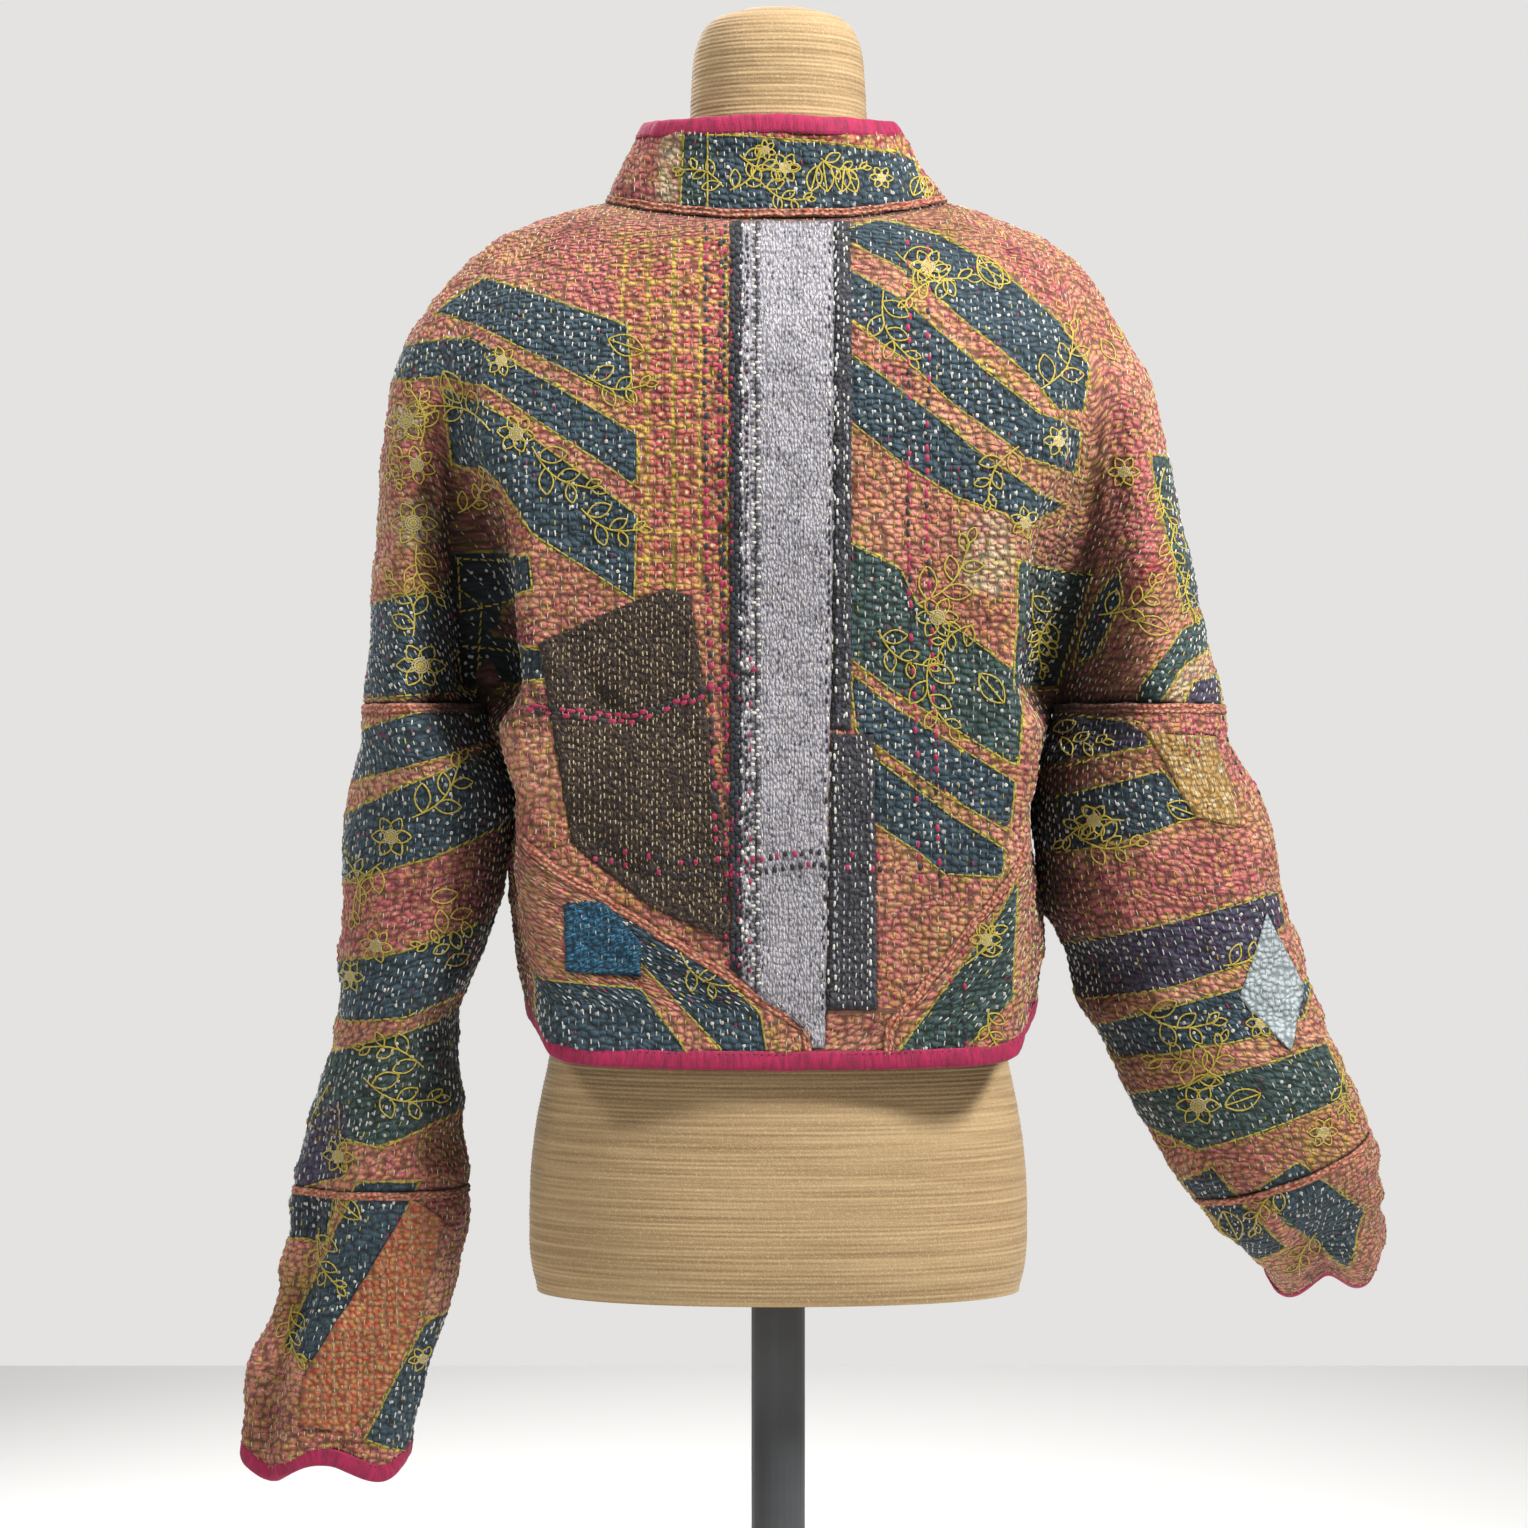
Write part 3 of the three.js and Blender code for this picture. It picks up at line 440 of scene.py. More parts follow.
def sleeve(side: int, row: np.ndarray, angle: np.ndarray) -> np.ndarray:
    """A sleeve's outside: row 0 is the dropped seam, and the angle starts at the body."""
    table = SLEEVES[side]
    z, out, y, wide, deep, turn, lean, dip = (
        table.at(name, row)[:, None] for name in SLEEVE_NAMES.split()
    )
    a, turn = np.radians(angle), np.radians(turn)
    squeeze = creases(side, row, angle)
    across = -np.cos(a) * (wide - squeeze)
    along = np.sin(a) * (deep - squeeze)
    dx = across * np.cos(turn) - along * np.sin(turn)
    dy = across * np.sin(turn) + along * np.cos(turn)
    near = ease((row - (table.last - CUFF_ROWS)) / CUFF_ROWS)[:, None]
    wave = near * CUFF_HIGH * np.cos(CUFF_TIMES * a)
    level = z + dx * np.tan(np.radians(lean)) + dy * np.tan(np.radians(dip)) + wave
    own = np.stack([side * (out + dx), y + dy, level], -1)
    top = yoke(np.zeros_like(row), side * mix(FOLD_Q, 3 * FOLD_Q, angle / 360))
    top[..., 2] = z
    return mix(top, own, ease(row / SLEEVE_BLEND)[:, None, None])


def collar(row: np.ndarray, q: np.ndarray) -> np.ndarray:
    """The collar's outside: row 0 is the neckline and row 2 its top edge."""
    base = yoke(np.full(row.shape, float(YOKE.last)), q)
    x, y = base[..., 0], base[..., 1]
    reach = YOKE_SIDES[1].column("edge")[-1]
    side = np.clip(np.abs(x) / reach, 0, 1) ** 2
    depth = np.where(y > 0, YOKE.column("back")[-1], -YOKE.column("front")[-1])

    def at(name: str) -> np.ndarray:
        """A column of the collar's table."""
        return COLLAR.at(name, row)[:, None]

    rise = mix(np.where(y > 0, at("riseBack"), at("riseFront")), at("riseSide"), side)
    lean_y = np.where(y > 0, at("leanBack"), at("leanFront")) * y / depth
    out_x = x - at("leanSide") * x / reach + at("shift")
    return np.stack([out_x, y - lean_y, base[..., 2] + rise], -1)


# ------------------------------------------------------------------ cloth grids


@dataclass
class Grid:
    """A piece of cloth as a grid of points, with each point's place in the cloth.

    Attributes:
        points: (rows, columns, 3) on the outside, in millimetres, z as a level.
        there: (rows, columns) true where the piece exists.
        s: place along the weft.
        t: place up the warp.
        flip: true where the rows and columns turn the other way round.
    """

    name: str
    points: np.ndarray
    there: np.ndarray
    s: np.ndarray
    t: np.ndarray
    flip: bool = False
    normals: np.ndarray = field(init=False)

    def __post_init__(self) -> None:
        """Works out the outward normals."""
        across = np.gradient(self.points, axis=1)
        down = np.gradient(self.points, axis=0)
        normals = np.cross(across, down)
        if self.flip:
            normals = -normals
        length = np.linalg.norm(normals, axis=-1, keepdims=True)
        self.normals = normals / np.maximum(length, 1e-9)

    def pressed(self, depth: np.ndarray) -> "Grid":
        """This grid, pressed in by a depth at each point."""
        return replace(self, points=self.points - self.normals * depth[..., None])


def a_cell_apart(fine: np.ndarray, line: np.ndarray) -> np.ndarray:
    """Of fine places, those about a cell apart on the line that the places make."""
    length = lengths(line)
    count = max(2, round(length[-1] / CELL))
    return np.interp(np.linspace(0, length[-1], count + 1), length, fine)


def spread(surface, low: float, high: float, row: float) -> np.ndarray:
    """Places from low to high, about a cell apart.

    Args:
        surface: gives the points at rows and places.
        low, high: the first and the last place.
        row: the row of the ring on which they are a cell apart.

    Returns:
        The places.
    """
    fine = np.linspace(low, high, 600)
    return a_cell_apart(fine, surface(np.array([row]), fine[None])[0])


def levels(surface, low: float, high: float, q: float) -> np.ndarray:
    """Rows from low to high, about a cell apart.

    Args:
        surface: gives the points at rows and places.
        low, high: the first and the last row.
        q: the place of the line on which they are a cell apart.

    Returns:
        The rows.
    """
    fine = np.linspace(low, high, 400)
    return a_cell_apart(fine, surface(fine, np.full((400, 1), q))[:, 0])


def weft_places(points: np.ndarray, q: np.ndarray, start: float) -> np.ndarray:
    """Distance along each row from the place where q is start."""
    step = np.linalg.norm(np.diff(points, axis=1), axis=2)
    s = np.concatenate([np.zeros((len(q), 1)), np.cumsum(step, 1)], 1)
    zero = [np.interp(start, row_q, row_s) for row_q, row_s in zip(q, s)]
    return s - np.array(zero)[:, None]


def warp_places(points: np.ndarray, zero_row: int) -> np.ndarray:
    """Distance up each column from one row; rows run downward."""
    step = np.linalg.norm(np.diff(points, axis=0), axis=2)
    t = np.concatenate([np.zeros((1, points.shape[1])), -np.cumsum(step, 0)], 0)
    return t - t[zero_row] + ARMPIT


def shoulder_columns() -> np.ndarray:
    """Places from the centre to the outer edge of the sleeve top, with one at the fold."""
    inner = spread(yoke, 0, FOLD_Q, 2.0)
    outer = spread(yoke, FOLD_Q, EDGE_Q, 2.0)
    return np.concatenate([inner, outer[1:]])


def carry_down(points: np.ndarray, first: int, absent: np.ndarray) -> None:
    """Gives the absent columns below a row places that run straight on from it."""
    step = points[first - 1] - points[first - 2]
    more = np.arange(1, len(points) - first + 1)[:, None, None]
    points[first:, absent] = (points[first - 1] + more * step)[:, absent]


def back_grid() -> Grid:
    """The back: the yoke's rings above the armpits, then narrowing between the slanting seams."""
    half = shoulder_columns()
    half[-1] -= EDGE_TRIM
    columns = np.concatenate([-half[:0:-1], half])
    upper = levels(yoke, YOKE.last, 0, 0.5)
    lower = levels(body, 0, BODY.last, 0.5)[1:]
    low_q = np.clip(columns, -FOLD_Q, FOLD_Q)
    left, right = (np.interp(lower, V_ROWS, V_SEAM[side]) for side in (1, -1))
    share = (low_q + FOLD_Q) / (2 * FOLD_Q)
    warped = mix(right[:, None] + SLANT_TRIM, left[:, None] - SLANT_TRIM, share[None])
    q = np.concatenate([np.broadcast_to(columns, (len(upper), len(columns))), warped])
    points = np.concatenate([yoke(upper, q[: len(upper)]), body(lower, warped)])
    there = np.ones(q.shape, bool)
    absent = np.abs(columns) > FOLD_Q + 1e-6
    there[len(upper):, absent] = False
    carry_down(points, len(upper), absent)
    t = warp_places(points, len(upper) - 1)
    t[len(upper):] = points[len(upper):, :, 2]
    return Grid("cloth_back", points, there, weft_places(points, q, 0.0), t)


def corner_grid(side: int) -> Grid:
    """A lower corner of the back, from its slanting seam to the side seam."""
    rows = levels(body, 0.8, BODY.last, 3.0 * side)
    seam = np.interp(rows, V_ROWS, V_SEAM[side])
    share = spread(body, 0, FOLD_Q, 2.5) / FOLD_Q
    q = mix(seam[:, None] + SLANT_TRIM * side, (FOLD_Q - SLANT_TRIM) * side, share[None])
    points = body(rows, q)
    s = weft_places(points, q * side, 0.0) * side
    name = "cloth_corner_" + SIDES[side]
    return Grid(name, points, np.ones(q.shape, bool), s, points[..., 2], flip=side < 0)


def front_grid(side: int) -> Grid:
    """A front with the front of its sleeve top, from the shoulder seam to the front edge."""
    half = shoulder_columns()
    columns = 2 * EDGE_Q - half[::-1]
    columns[0] = EDGE_Q + SHOULDER_TRIM
    columns[-1] = FRONT_EDGE
    upper = levels(yoke, YOKE.last, 0, 15.0)
    lower = levels(body, 0, BODY.last, 15.0)[1:]
    q = side * np.broadcast_to(columns, (len(upper) + len(lower), len(columns)))
    points = np.concatenate([yoke(upper, q[: len(upper)]), body(lower, q[len(upper):])])
    there = np.ones(q.shape, bool)
    absent = columns < 3 * FOLD_Q - 1e-6
    there[len(upper):, absent] = False
    carry_down(points, len(upper), absent)
    t = warp_places(points, len(upper) - 1)
    t[len(upper):] = points[len(upper):, :, 2]
    s = weft_places(points, q * side, FRONT_EDGE)
    return Grid("cloth_front_" + SIDES[side], points, there, s, t, flip=side < 0)


def sleeve_grid(side: int, first: float, last: float, name: str) -> Grid:
    """A stretch of a sleeve, open along its seam under the arm.

    Args:
        side: 1 for the wearer's left and -1 for the right.
        first, last: the sleeve rows where it starts and ends.
        name: the piece's name.

    Returns:
        The grid.
    """

    def surface(row: np.ndarray, angle: np.ndarray) -> np.ndarray:
        """The points of this side's sleeve."""
        return sleeve(side, row, angle)

    rows = levels(surface, first, last, 180.0)
    angles = spread(surface, 0, 360, (first + last) / 2)
    open_angle = 3 * (1 - ease(rows / SLEEVE_BLEND))[:, None] + 0.15
    angle = mix(open_angle, 360 - open_angle, (angles / 360)[None])
    points = surface(rows, angle)
    drop = SLEEVES[side].at("z", np.array([first]))[0] - ARMPIT
    t = warp_places(points, 0) + drop
    s = weft_places(points, angle, 180.0)
    return Grid(name, points, np.ones(angle.shape, bool), s, t, flip=side < 0)


def collar_grid() -> Grid:
    """The collar, one band from front edge to front edge."""
    rows = levels(collar, COLLAR.last, 0.03, 0.5)
    inner = spread(collar, 0, FRONT_EDGE, 1.0)
    columns = np.concatenate([-inner[:0:-1], inner])
    q = np.broadcast_to(columns, (len(rows), len(columns)))
    points = collar(rows, q)
    t = warp_places(points, len(rows) - 1)
    return Grid("cloth_collar", points, np.ones(q.shape, bool), weft_places(points, q, 0.0), t)


# ------------------------------------------------------------------ the printed cotton


class Dye(Enum):
    """Colours of the printed cottons and threads, as sRGB."""

    SALMON = "d18f74"
    ROSE = "bb5d62"
    BRICK = "b4573a"
    OCHRE = "ad8340"
    CREAM = "c9bb98"
    RUST = "8a4a32"
    NAVY = "2d414c"
    SLATE = "4c636c"
    DEEP = "1a232e"
    TEAL = "33493f"
    PURPLE = "432f4c"
    YELLOW = "c0ab3b"
    WHITE = "dedbd0"
    GREY = "9fa5a8"
    MAGENTA = "a8144a"
    BLACK = "16151b"
    RED = "a8323c"
    SILVER = "b0abb3"
    CHARCOAL = "434147"
    PLUM = "262430"
    BROWN = "35251a"
    TURQUOISE = "0d3e56"
    SKY = "3b7c9b"
    PALE = "a9b4b7"
    TAN = "b29b72"
    JUTE = "b89b70"
    JUTE_DARK = "957850"
    WINE = "7c1038"
    STEEL = "2b2b2e"
    FLOOR = "e9e8e6"

    @property
    def linear(self) -> np.ndarray:
        """The colour as linear light."""
        return linear_from_hex(self.value)


def linear_from_hex(text: str) -> np.ndarray:
    """The linear light of an sRGB colour given as six hex digits."""
    parts = [int(text[k:k + 2], 16) / 255 for k in (0, 2, 4)]
    return np.array([c / 12.92 if c <= 0.04045 else ((c + 0.055) / 1.055) ** 2.4 for c in parts])


def plan_points(text: str) -> np.ndarray:
    """Corners from text such as "14,338 -34,338": the x and the level of each, in millimetres."""
    return np.array([pair.split(",") for pair in text.split()], float)


@dataclass(frozen=True)
class Region:
    """A printed area: its dye and its outline of (x, level), as seen from behind."""

    dye: Dye
    outline: np.ndarray


def regions_from(text: str) -> list[Region]:
    """Printed areas from text: each is its dye's name and then its corners, as plan_points."""
    made: list[list[str]] = []
    for word in text.split():
        if word.isupper():
            made.append([word])
        else:
            made[-1].append(word)
    return [Region(Dye[dye], plan_points(" ".join(corners))) for dye, *corners in made]


BANDS = (Dye.NAVY, Dye.DEEP, Dye.TEAL, Dye.PURPLE)  # printed bands; the rest tint the ground
PRINT_BODY = regions_from("""
    NAVY 215,285 184,306 93,271 88,221 201,281
    NAVY 290,268 191,266 86,203 86,171 181,235 207,242 290,246
    NAVY 208,236 169,216 86,154 88,103 150,143 175,177 203,190
    DEEP 201,132 152,129 150,109 200,99
    DEEP 203,78 142,72 142,55 200,48
    NAVY 290,96 201,113 187,103 192,48 290,41
    NAVY -40,332 -61,340 -99,334 -127,316 -174,277 -192,248 -189,220 -171,220 -151,242 -104,282
        -78,306 -43,324
    NAVY -39,310 -78,285 -127,242 -159,217 -186,209 -186,181 -151,189 -106,222 -78,248 -39,276
    NAVY -39,256 -78,228 -127,189 -159,168 -180,163 -171,150 -145,147 -137,155 -108,165 -78,183
        -39,214
    TEAL -146,127 -196,121 -184,78 -176,50 -143,48
    TEAL -27,103 -39,139 -74,121 -84,100 -113,82 -150,55 -146,2 -140,4 -70,47 -43,67 -29,73
    NAVY -43,59 -70,38 -144,-8 -141,-39 -103,-17 -47,23
    NAVY -50,13 -103,-27 -139,-50 -136,-66 -101,-64 -84,-50 -51,-29
    NAVY -190,86 -200,110 -211,124 -214,104 -198,72 -186,66
    TEAL -230,196 -240,150 -251,100 -285,100 -275,194
    TEAL -272,98 -250,86 -224,52 -220,38 -233,38 -252,64 -275,80
    PURPLE -275,60 -258,54 -249,37 -280,34
    CREAM -107,151 -137,156 -145,127 -137,103 -113,109
    ROSE 142,330 109,338 93,309 96,274 142,294
    ROSE -134,336 -171,315 -192,273 -171,285 -134,318
    CREAM 238,163 212,169 206,139 235,133
    ROSE 190,300 230,290 240,270 205,284
    OCHRE 238,134 205,140 200,118 250,104
    ROSE -224,230 -236,150 -226,120 -205,170 -205,230
    RED -246,146 -216,116 -186,82 -182,70 -214,98 -248,128
    CREAM -275,80 -252,64 -233,38 -249,37 -258,54 -275,60
    CREAM 244,226 222,230 218,208 238,204
    ROSE 236,200 212,204 210,176 236,172
    RUST 205,192 176,182 150,146 151,131 205,133
    WINE 203,98 150,99 142,72 203,78
    BROWN 203,46 140,53 138,24 205,24
""")
PRINT_CORNERS = regions_from("""
    NAVY 109,-77 84,-80 11,-149 7,-175 31,-175 84,-119
    NAVY 150,-128 84,-134 54,-175 150,-175
    TEAL -71,-175 -134,-89 -146,-67 -143,-140 -110,-175
""")
PRINT_LEFT_SLEEVE = regions_from("""
    NAVY 280,19 196,42 160,33 165,19 280,-13
    NAVY 280,-31 192,5 148,12 155,-27 213,-55 280,-72
    NAVY 282,-122 235,-114 173,-91 176,-133 232,-154 282,-159
    TEAL 295,-181 232,-164 189,-147 192,-212 248,-237 300,-225
    ROSE 280,-72 213,-57 161,-32 173,-85 235,-110 280,-116
    CREAM 251,-32 220,-26 223,-50 248,-57
    PURPLE 305,-225 276,-212 273,-256 310,-268
    NAVY 264,-258 224,-258 284,-377 314,-366
    NAVY 222,-348 200,-343 213,-428 239,-434 262,-424
    DEEP 315,-268 279,-268 285,-299 320,-299
    OCHRE 325,-324 291,-324 298,-355 330,-355
""")
PRINT_RIGHT_SLEEVE = regions_from("""
    PURPLE -150,21 -173,35 -222,29 -232,15 -156,-4
    NAVY -138,-27 -237,-1 -260,-29 -212,-46 -141,-58
    PURPLE -176,-112 -314,-77 -318,-97 -291,-120 -244,-136 -190,-146
    NAVY -200,-161 -295,-134 -338,-134 -330,-156 -301,-166 -212,-184
    TEAL -219,-206 -344,-172 -360,-206 -262,-240 -232,-226
    ROSE -176,-69 -262,-41 -312,-50 -306,-75 -176,-106
    OCHRE -324,-215 -372,-209 -375,-250 -331,-250
    NAVY -301,-263 -326,-246 -376,-284 -370,-325 -321,-286
    DEEP -256,-262 -272,-250 -324,-306 -307,-318
    ROSE -262,40 -300,40 -296,-10 -240,0
""")
PRINT_COLLAR = regions_from("""
    NAVY 44,330 44,393 -26,389 -86,384 -104,330
    TEAL 62,330 44,330 44,410 58,410
    CREAM 78,330 62,330 58,410 70,410
    ROSE 110,320 80,320 72,410 100,410
""")
CHECK_AREAS = [  # where the ground is printed with a check
    plan_points("101,332 30,332 24,106 86,106"),
    plan_points("44,393 44,412 -104,412 -104,380 -86,384 -26,389"),
]


def inside_distance(outline: np.ndarray, x: np.ndarray, y: np.ndarray) -> np.ndarray:
    """Distance to an outline's edge, positive inside and negative outside."""
    nearest = np.full(x.shape, 1e9)
    inside = np.zeros(x.shape, bool)
    for (ax, ay), (bx, by) in zip(outline, np.roll(outline, -1, 0)):
        ex, ey = bx - ax, by - ay
        share = np.clip(((x - ax) * ex + (y - ay) * ey) / (ex * ex + ey * ey), 0, 1)
        nearest = np.minimum(nearest, np.hypot(x - ax - share * ex, y - ay - share * ey))
        if by != ay:
            inside ^= ((ay > y) != (by > y)) & (x < ax + (y - ay) / (by - ay) * ex)
    return np.where(inside, nearest, -nearest)


@dataclass
class Print:
    """The print at each point of a grid.

    Attributes:
        band: distance inside the nearest printed band, negative on the ground.
        ground: the ground's colour.
        dark: the bands' colour.
        check: 1 where a check is printed.
    """

    band: np.ndarray
    ground: np.ndarray
    dark: np.ndarray
    check: np.ndarray


def printed(grid: Grid, areas: list[Region], mirror: bool = False) -> Print:
    """Works out the print of a grid from printed areas, as seen from behind or mirrored."""
    x = grid.points[..., 0] * (-1 if mirror else 1)
    y = grid.points[..., 2]
    wander = 1.6 * noise(x / 17 + 5, y / 17, 3)
    x, y = x + wander, y + 1.6 * noise(x / 19, y / 15 + 9, 4)
    band = np.full(x.shape, -40.0)
    ground = np.empty(x.shape + (3,))
    ground[:] = Dye.SALMON.linear
    for seed, dye, size in ((11, Dye.ROSE, 34), (12, Dye.OCHRE, 27), (13, Dye.RUST, 46)):
        amount = np.clip(0.9 * noise(x / size, y / size, seed), 0, 0.75)[..., None]
        ground = mix(ground, dye.linear, amount)
    dark = np.empty(x.shape + (3,))
    dark[:] = Dye.NAVY.linear
    for region in areas:
        distance = inside_distance(region.outline, x, y)
        share = ease((distance + 3) / 6)[..., None]
        if region.dye in BANDS:
            band = np.maximum(band, distance)
            near = ease((distance + 6) / 6)[..., None]
            dark = mix(dark, region.dye.linear, near)
        else:
            ground = mix(ground, region.dye.linear, 0.95 * share)
    check = np.zeros(x.shape)
    for outline in CHECK_AREAS:
        check = np.maximum(check, ease(inside_distance(outline, x, y) / 4 + 0.5))
    return Print(band, ground, dark, check)


# ------------------------------------------------------------------ meshes


def place_in_scene(name: str, data: bpy.types.ID) -> bpy.types.Object:
    """An object of some data, linked to the scene."""
    made = bpy.data.objects.new(name, data)
    bpy.context.scene.collection.objects.link(made)
    return made


def new_object(name: str, points: np.ndarray, faces: list[np.ndarray]) -> bpy.types.Object:
    """A mesh object from points in millimetres with true heights, and arrays of faces."""
    mesh = bpy.data.meshes.new(name)
    mesh.vertices.add(len(points))
    mesh.vertices.foreach_set("co", (np.asarray(points, np.float32) * MM).ravel())
    loops = np.concatenate([f.ravel() for f in faces])
    sizes = np.concatenate([np.full(len(f), f.shape[1]) for f in faces])
    mesh.loops.add(len(loops))
    mesh.loops.foreach_set("vertex_index", loops.astype(np.int32))
    mesh.polygons.add(len(sizes))
    starts = np.concatenate([[0], np.cumsum(sizes)[:-1]])
    mesh.polygons.foreach_set("loop_start", starts.astype(np.int32))
    mesh.polygons.foreach_set("use_smooth", np.ones(len(sizes), bool))
    mesh.update(calc_edges=True)
    mesh.validate()
    return place_in_scene(name, mesh)


def set_values(mesh: bpy.types.Mesh, name: str, values: np.ndarray) -> None:
    """Stores a number or a colour for each point of a mesh."""
    kind, key = "FLOAT", "value"
    if values.ndim == 2:
        kind, key = "FLOAT_COLOR", "color"
        values = np.concatenate([values, np.ones((len(values), 1))], 1)
    made = mesh.attributes.new(name, kind, "POINT")
    made.data.foreach_set(key, values.astype(np.float32).ravel())


def dress(
    piece: bpy.types.Object, material: bpy.types.Material, node: str | None = None
) -> None:
    """Gives a piece its material and says what it is.

    Args:
        piece: the mesh object.
        material: its finish.
        node: the CAD node that it takes the place of, or None.
    """
    piece.data.materials.append(material)
    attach(piece, "root")
    if node:
        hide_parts(node)
    log.info("%s: %d faces", piece.name, len(piece.data.polygons))


def true_height(points: np.ndarray) -> np.ndarray:
    """Points with heights above the floor in place of levels."""
    return points + [0, 0, LEVEL]


def grid_faces(there: np.ndarray, flip: bool) -> np.ndarray:
    """The quads of a grid whose four corners exist, as point numbers."""
    number = np.arange(there.size).reshape(there.shape)
    whole = there[:-1, :-1] & there[:-1, 1:] & there[1:, 1:] & there[1:, :-1]
    corners = [number[:-1, :-1], number[:-1, 1:], number[1:, 1:], number[1:, :-1]]
    faces = np.stack([c[whole] for c in corners], 1)
    return faces[:, ::-1] if flip else faces


def rim_faces(faces: np.ndarray, shift: int) -> np.ndarray:
    """Quads that join two skins along the edges that one face alone uses."""
    edges = np.concatenate([faces[:, [k, (k + 1) % 4]] for k in range(4)])
    key = np.sort(edges, 1)
    _, index, count = np.unique(key, axis=0, return_index=True, return_counts=True)
    rim = edges[index[count == 1]]
    return np.stack([rim[:, 1], rim[:, 0], rim[:, 0] + shift, rim[:, 1] + shift], 1)


def from_edge(grid: Grid) -> np.ndarray:
    """Rough distance of each point from the piece's edge, up to EDGE_CELLS cells."""
    there = grid.there.copy()
    distance = np.zeros(there.shape)
    for _ in range(EDGE_CELLS):
        inner = there.copy()
        inner[1:] &= there[:-1]
        inner[:-1] &= there[1:]
        inner[:, 1:] &= there[:, :-1]
        inner[:, :-1] &= there[:, 1:]
        inner[0], inner[-1] = False, False
        inner[:, 0], inner[:, -1] = False, False
        distance += inner * CELL
        there = inner
    return distance


@dataclass(frozen=True)
class Trough:
    """A long soft crease in the body: its two ends (x, level), half width and depth."""

    top: tuple[float, float]
    foot: tuple[float, float]
    wide: float
    deep: float


TROUGHS = [  # the deep folds at the armpits, then the shallow ones that run in from them
    Trough((188, 210), (176, 24), 17, 23.0),
    Trough((-170, 206), (-162, 24), 13, 16.0),
    Trough((150, 118), (96, 20), 12, 3.2),
    Trough((152, -8), (84, -70), 13, 3.6),
    Trough((-138, 60), (-92, -40), 12, 3.0),
    Trough((-150, -20), (-70, -112), 14, 3.4),
    Trough((78, 250), (66, 90), 11, 2.0),
    Trough((-96, 214), (-112, 40), 13, 2.2),
    Trough((40, -20), (70, -140), 15, 2.6),
]


def sunk_by(grid: Grid) -> np.ndarray:
    """How far the long creases press a piece of the body in at each point."""
    x, z = grid.points[..., 0], grid.points[..., 2]
    total = np.zeros(x.shape)
    for crease in TROUGHS:
        share = np.clip((crease.top[1] - z) / (crease.top[1] - crease.foot[1]), 0, 1)
        middle = mix(crease.top[0], crease.foot[0], share)
        fade = ease(share * 2.4) * ease((1 - share) * 6)
        total += crease.deep * fade * np.exp(-(((x - middle) / crease.wide) ** 2))
    return total * ease(from_edge(grid) / RIM)


def relief(grid: Grid) -> np.ndarray:
    """Height of the quilted, puckered cloth over its plain form: lumps, slack and sunk edges."""
    s, t = grid.s, grid.t
    lumps = 0.9 * noise(s / 8.3 + 3, t / 8.9 + 3, 21) + 0.9 * noise(s / 17, t / 13, 22)
    slack = 1.7 * noise(s / 52, t / 32, 23)
    edge = from_edge(grid)
    if "sleeve" in grid.name:
        slack += 1.5 * noise(s / 34 + t / 46, t / 21, 27)
    sunk = 1.3 * np.exp(-((edge / 3.2) ** 2))
    swell = 0.8 * np.exp(-(((edge - 12) / 4) ** 2))
    height = (lumps + slack) * ease(edge / RIM) - sunk + swell
    if "sleeve_upper" in grid.name:
        inward = -grid.normals[..., 0] * np.sign(grid.points[..., 0])
        below = np.exp(-(((grid.points[..., 2] - TUCK_LEVEL) / TUCK_SPAN) ** 4))
        height += TUCK * below * np.clip(inward, 0, 1) ** 2
    return height


def cloth_object(
    grid: Grid, design: Print | None, height: np.ndarray, wall: float
) -> bpy.types.Object:
    """A cloth piece: its relief over a plain inside, closed along its edges.

    Args:
        grid: the piece; its points move out to the finished outside.
        design: the print, or None on plain cloth.
        height: the relief at each point.
        wall: the cloth's thickness.

    Returns:
        The mesh object, with the print and the place in the cloth as attributes.
    """
    normals = grid.normals.reshape(-1, 3)
    inside = true_height(grid.points).reshape(-1, 3) - normals * wall
    grid.points = grid.points + grid.normals * height[..., None]
    outside = true_height(grid.points).reshape(-1, 3)
    shift = len(outside)
    faces = grid_faces(grid.there, grid.flip)
    used = np.unique(faces)
    place = np.full(2 * shift, -1)
    place[used] = np.arange(len(used))
    place[used + shift] = np.arange(len(used)) + len(used)
    every = np.concatenate([faces, faces[:, ::-1] + shift, rim_faces(faces, shift)])
    points = np.concatenate([outside[used], inside[used]])
    made = new_object(grid.name, points, [place[every]])
    twice = np.concatenate([used, used])
    if design:
        set_values(made.data, "band", design.band.ravel()[twice])
        set_values(made.data, "check", design.check.ravel()[twice])
        set_values(made.data, "ground", design.ground.reshape(-1, 3)[twice])
        set_values(made.data, "dark", design.dark.reshape(-1, 3)[twice])
    set_values(made.data, "weft", grid.s.ravel()[twice] * MM)
    set_values(made.data, "warp", grid.t.ravel()[twice] * MM)
    return made


# ------------------------------------------------------------------ stitches


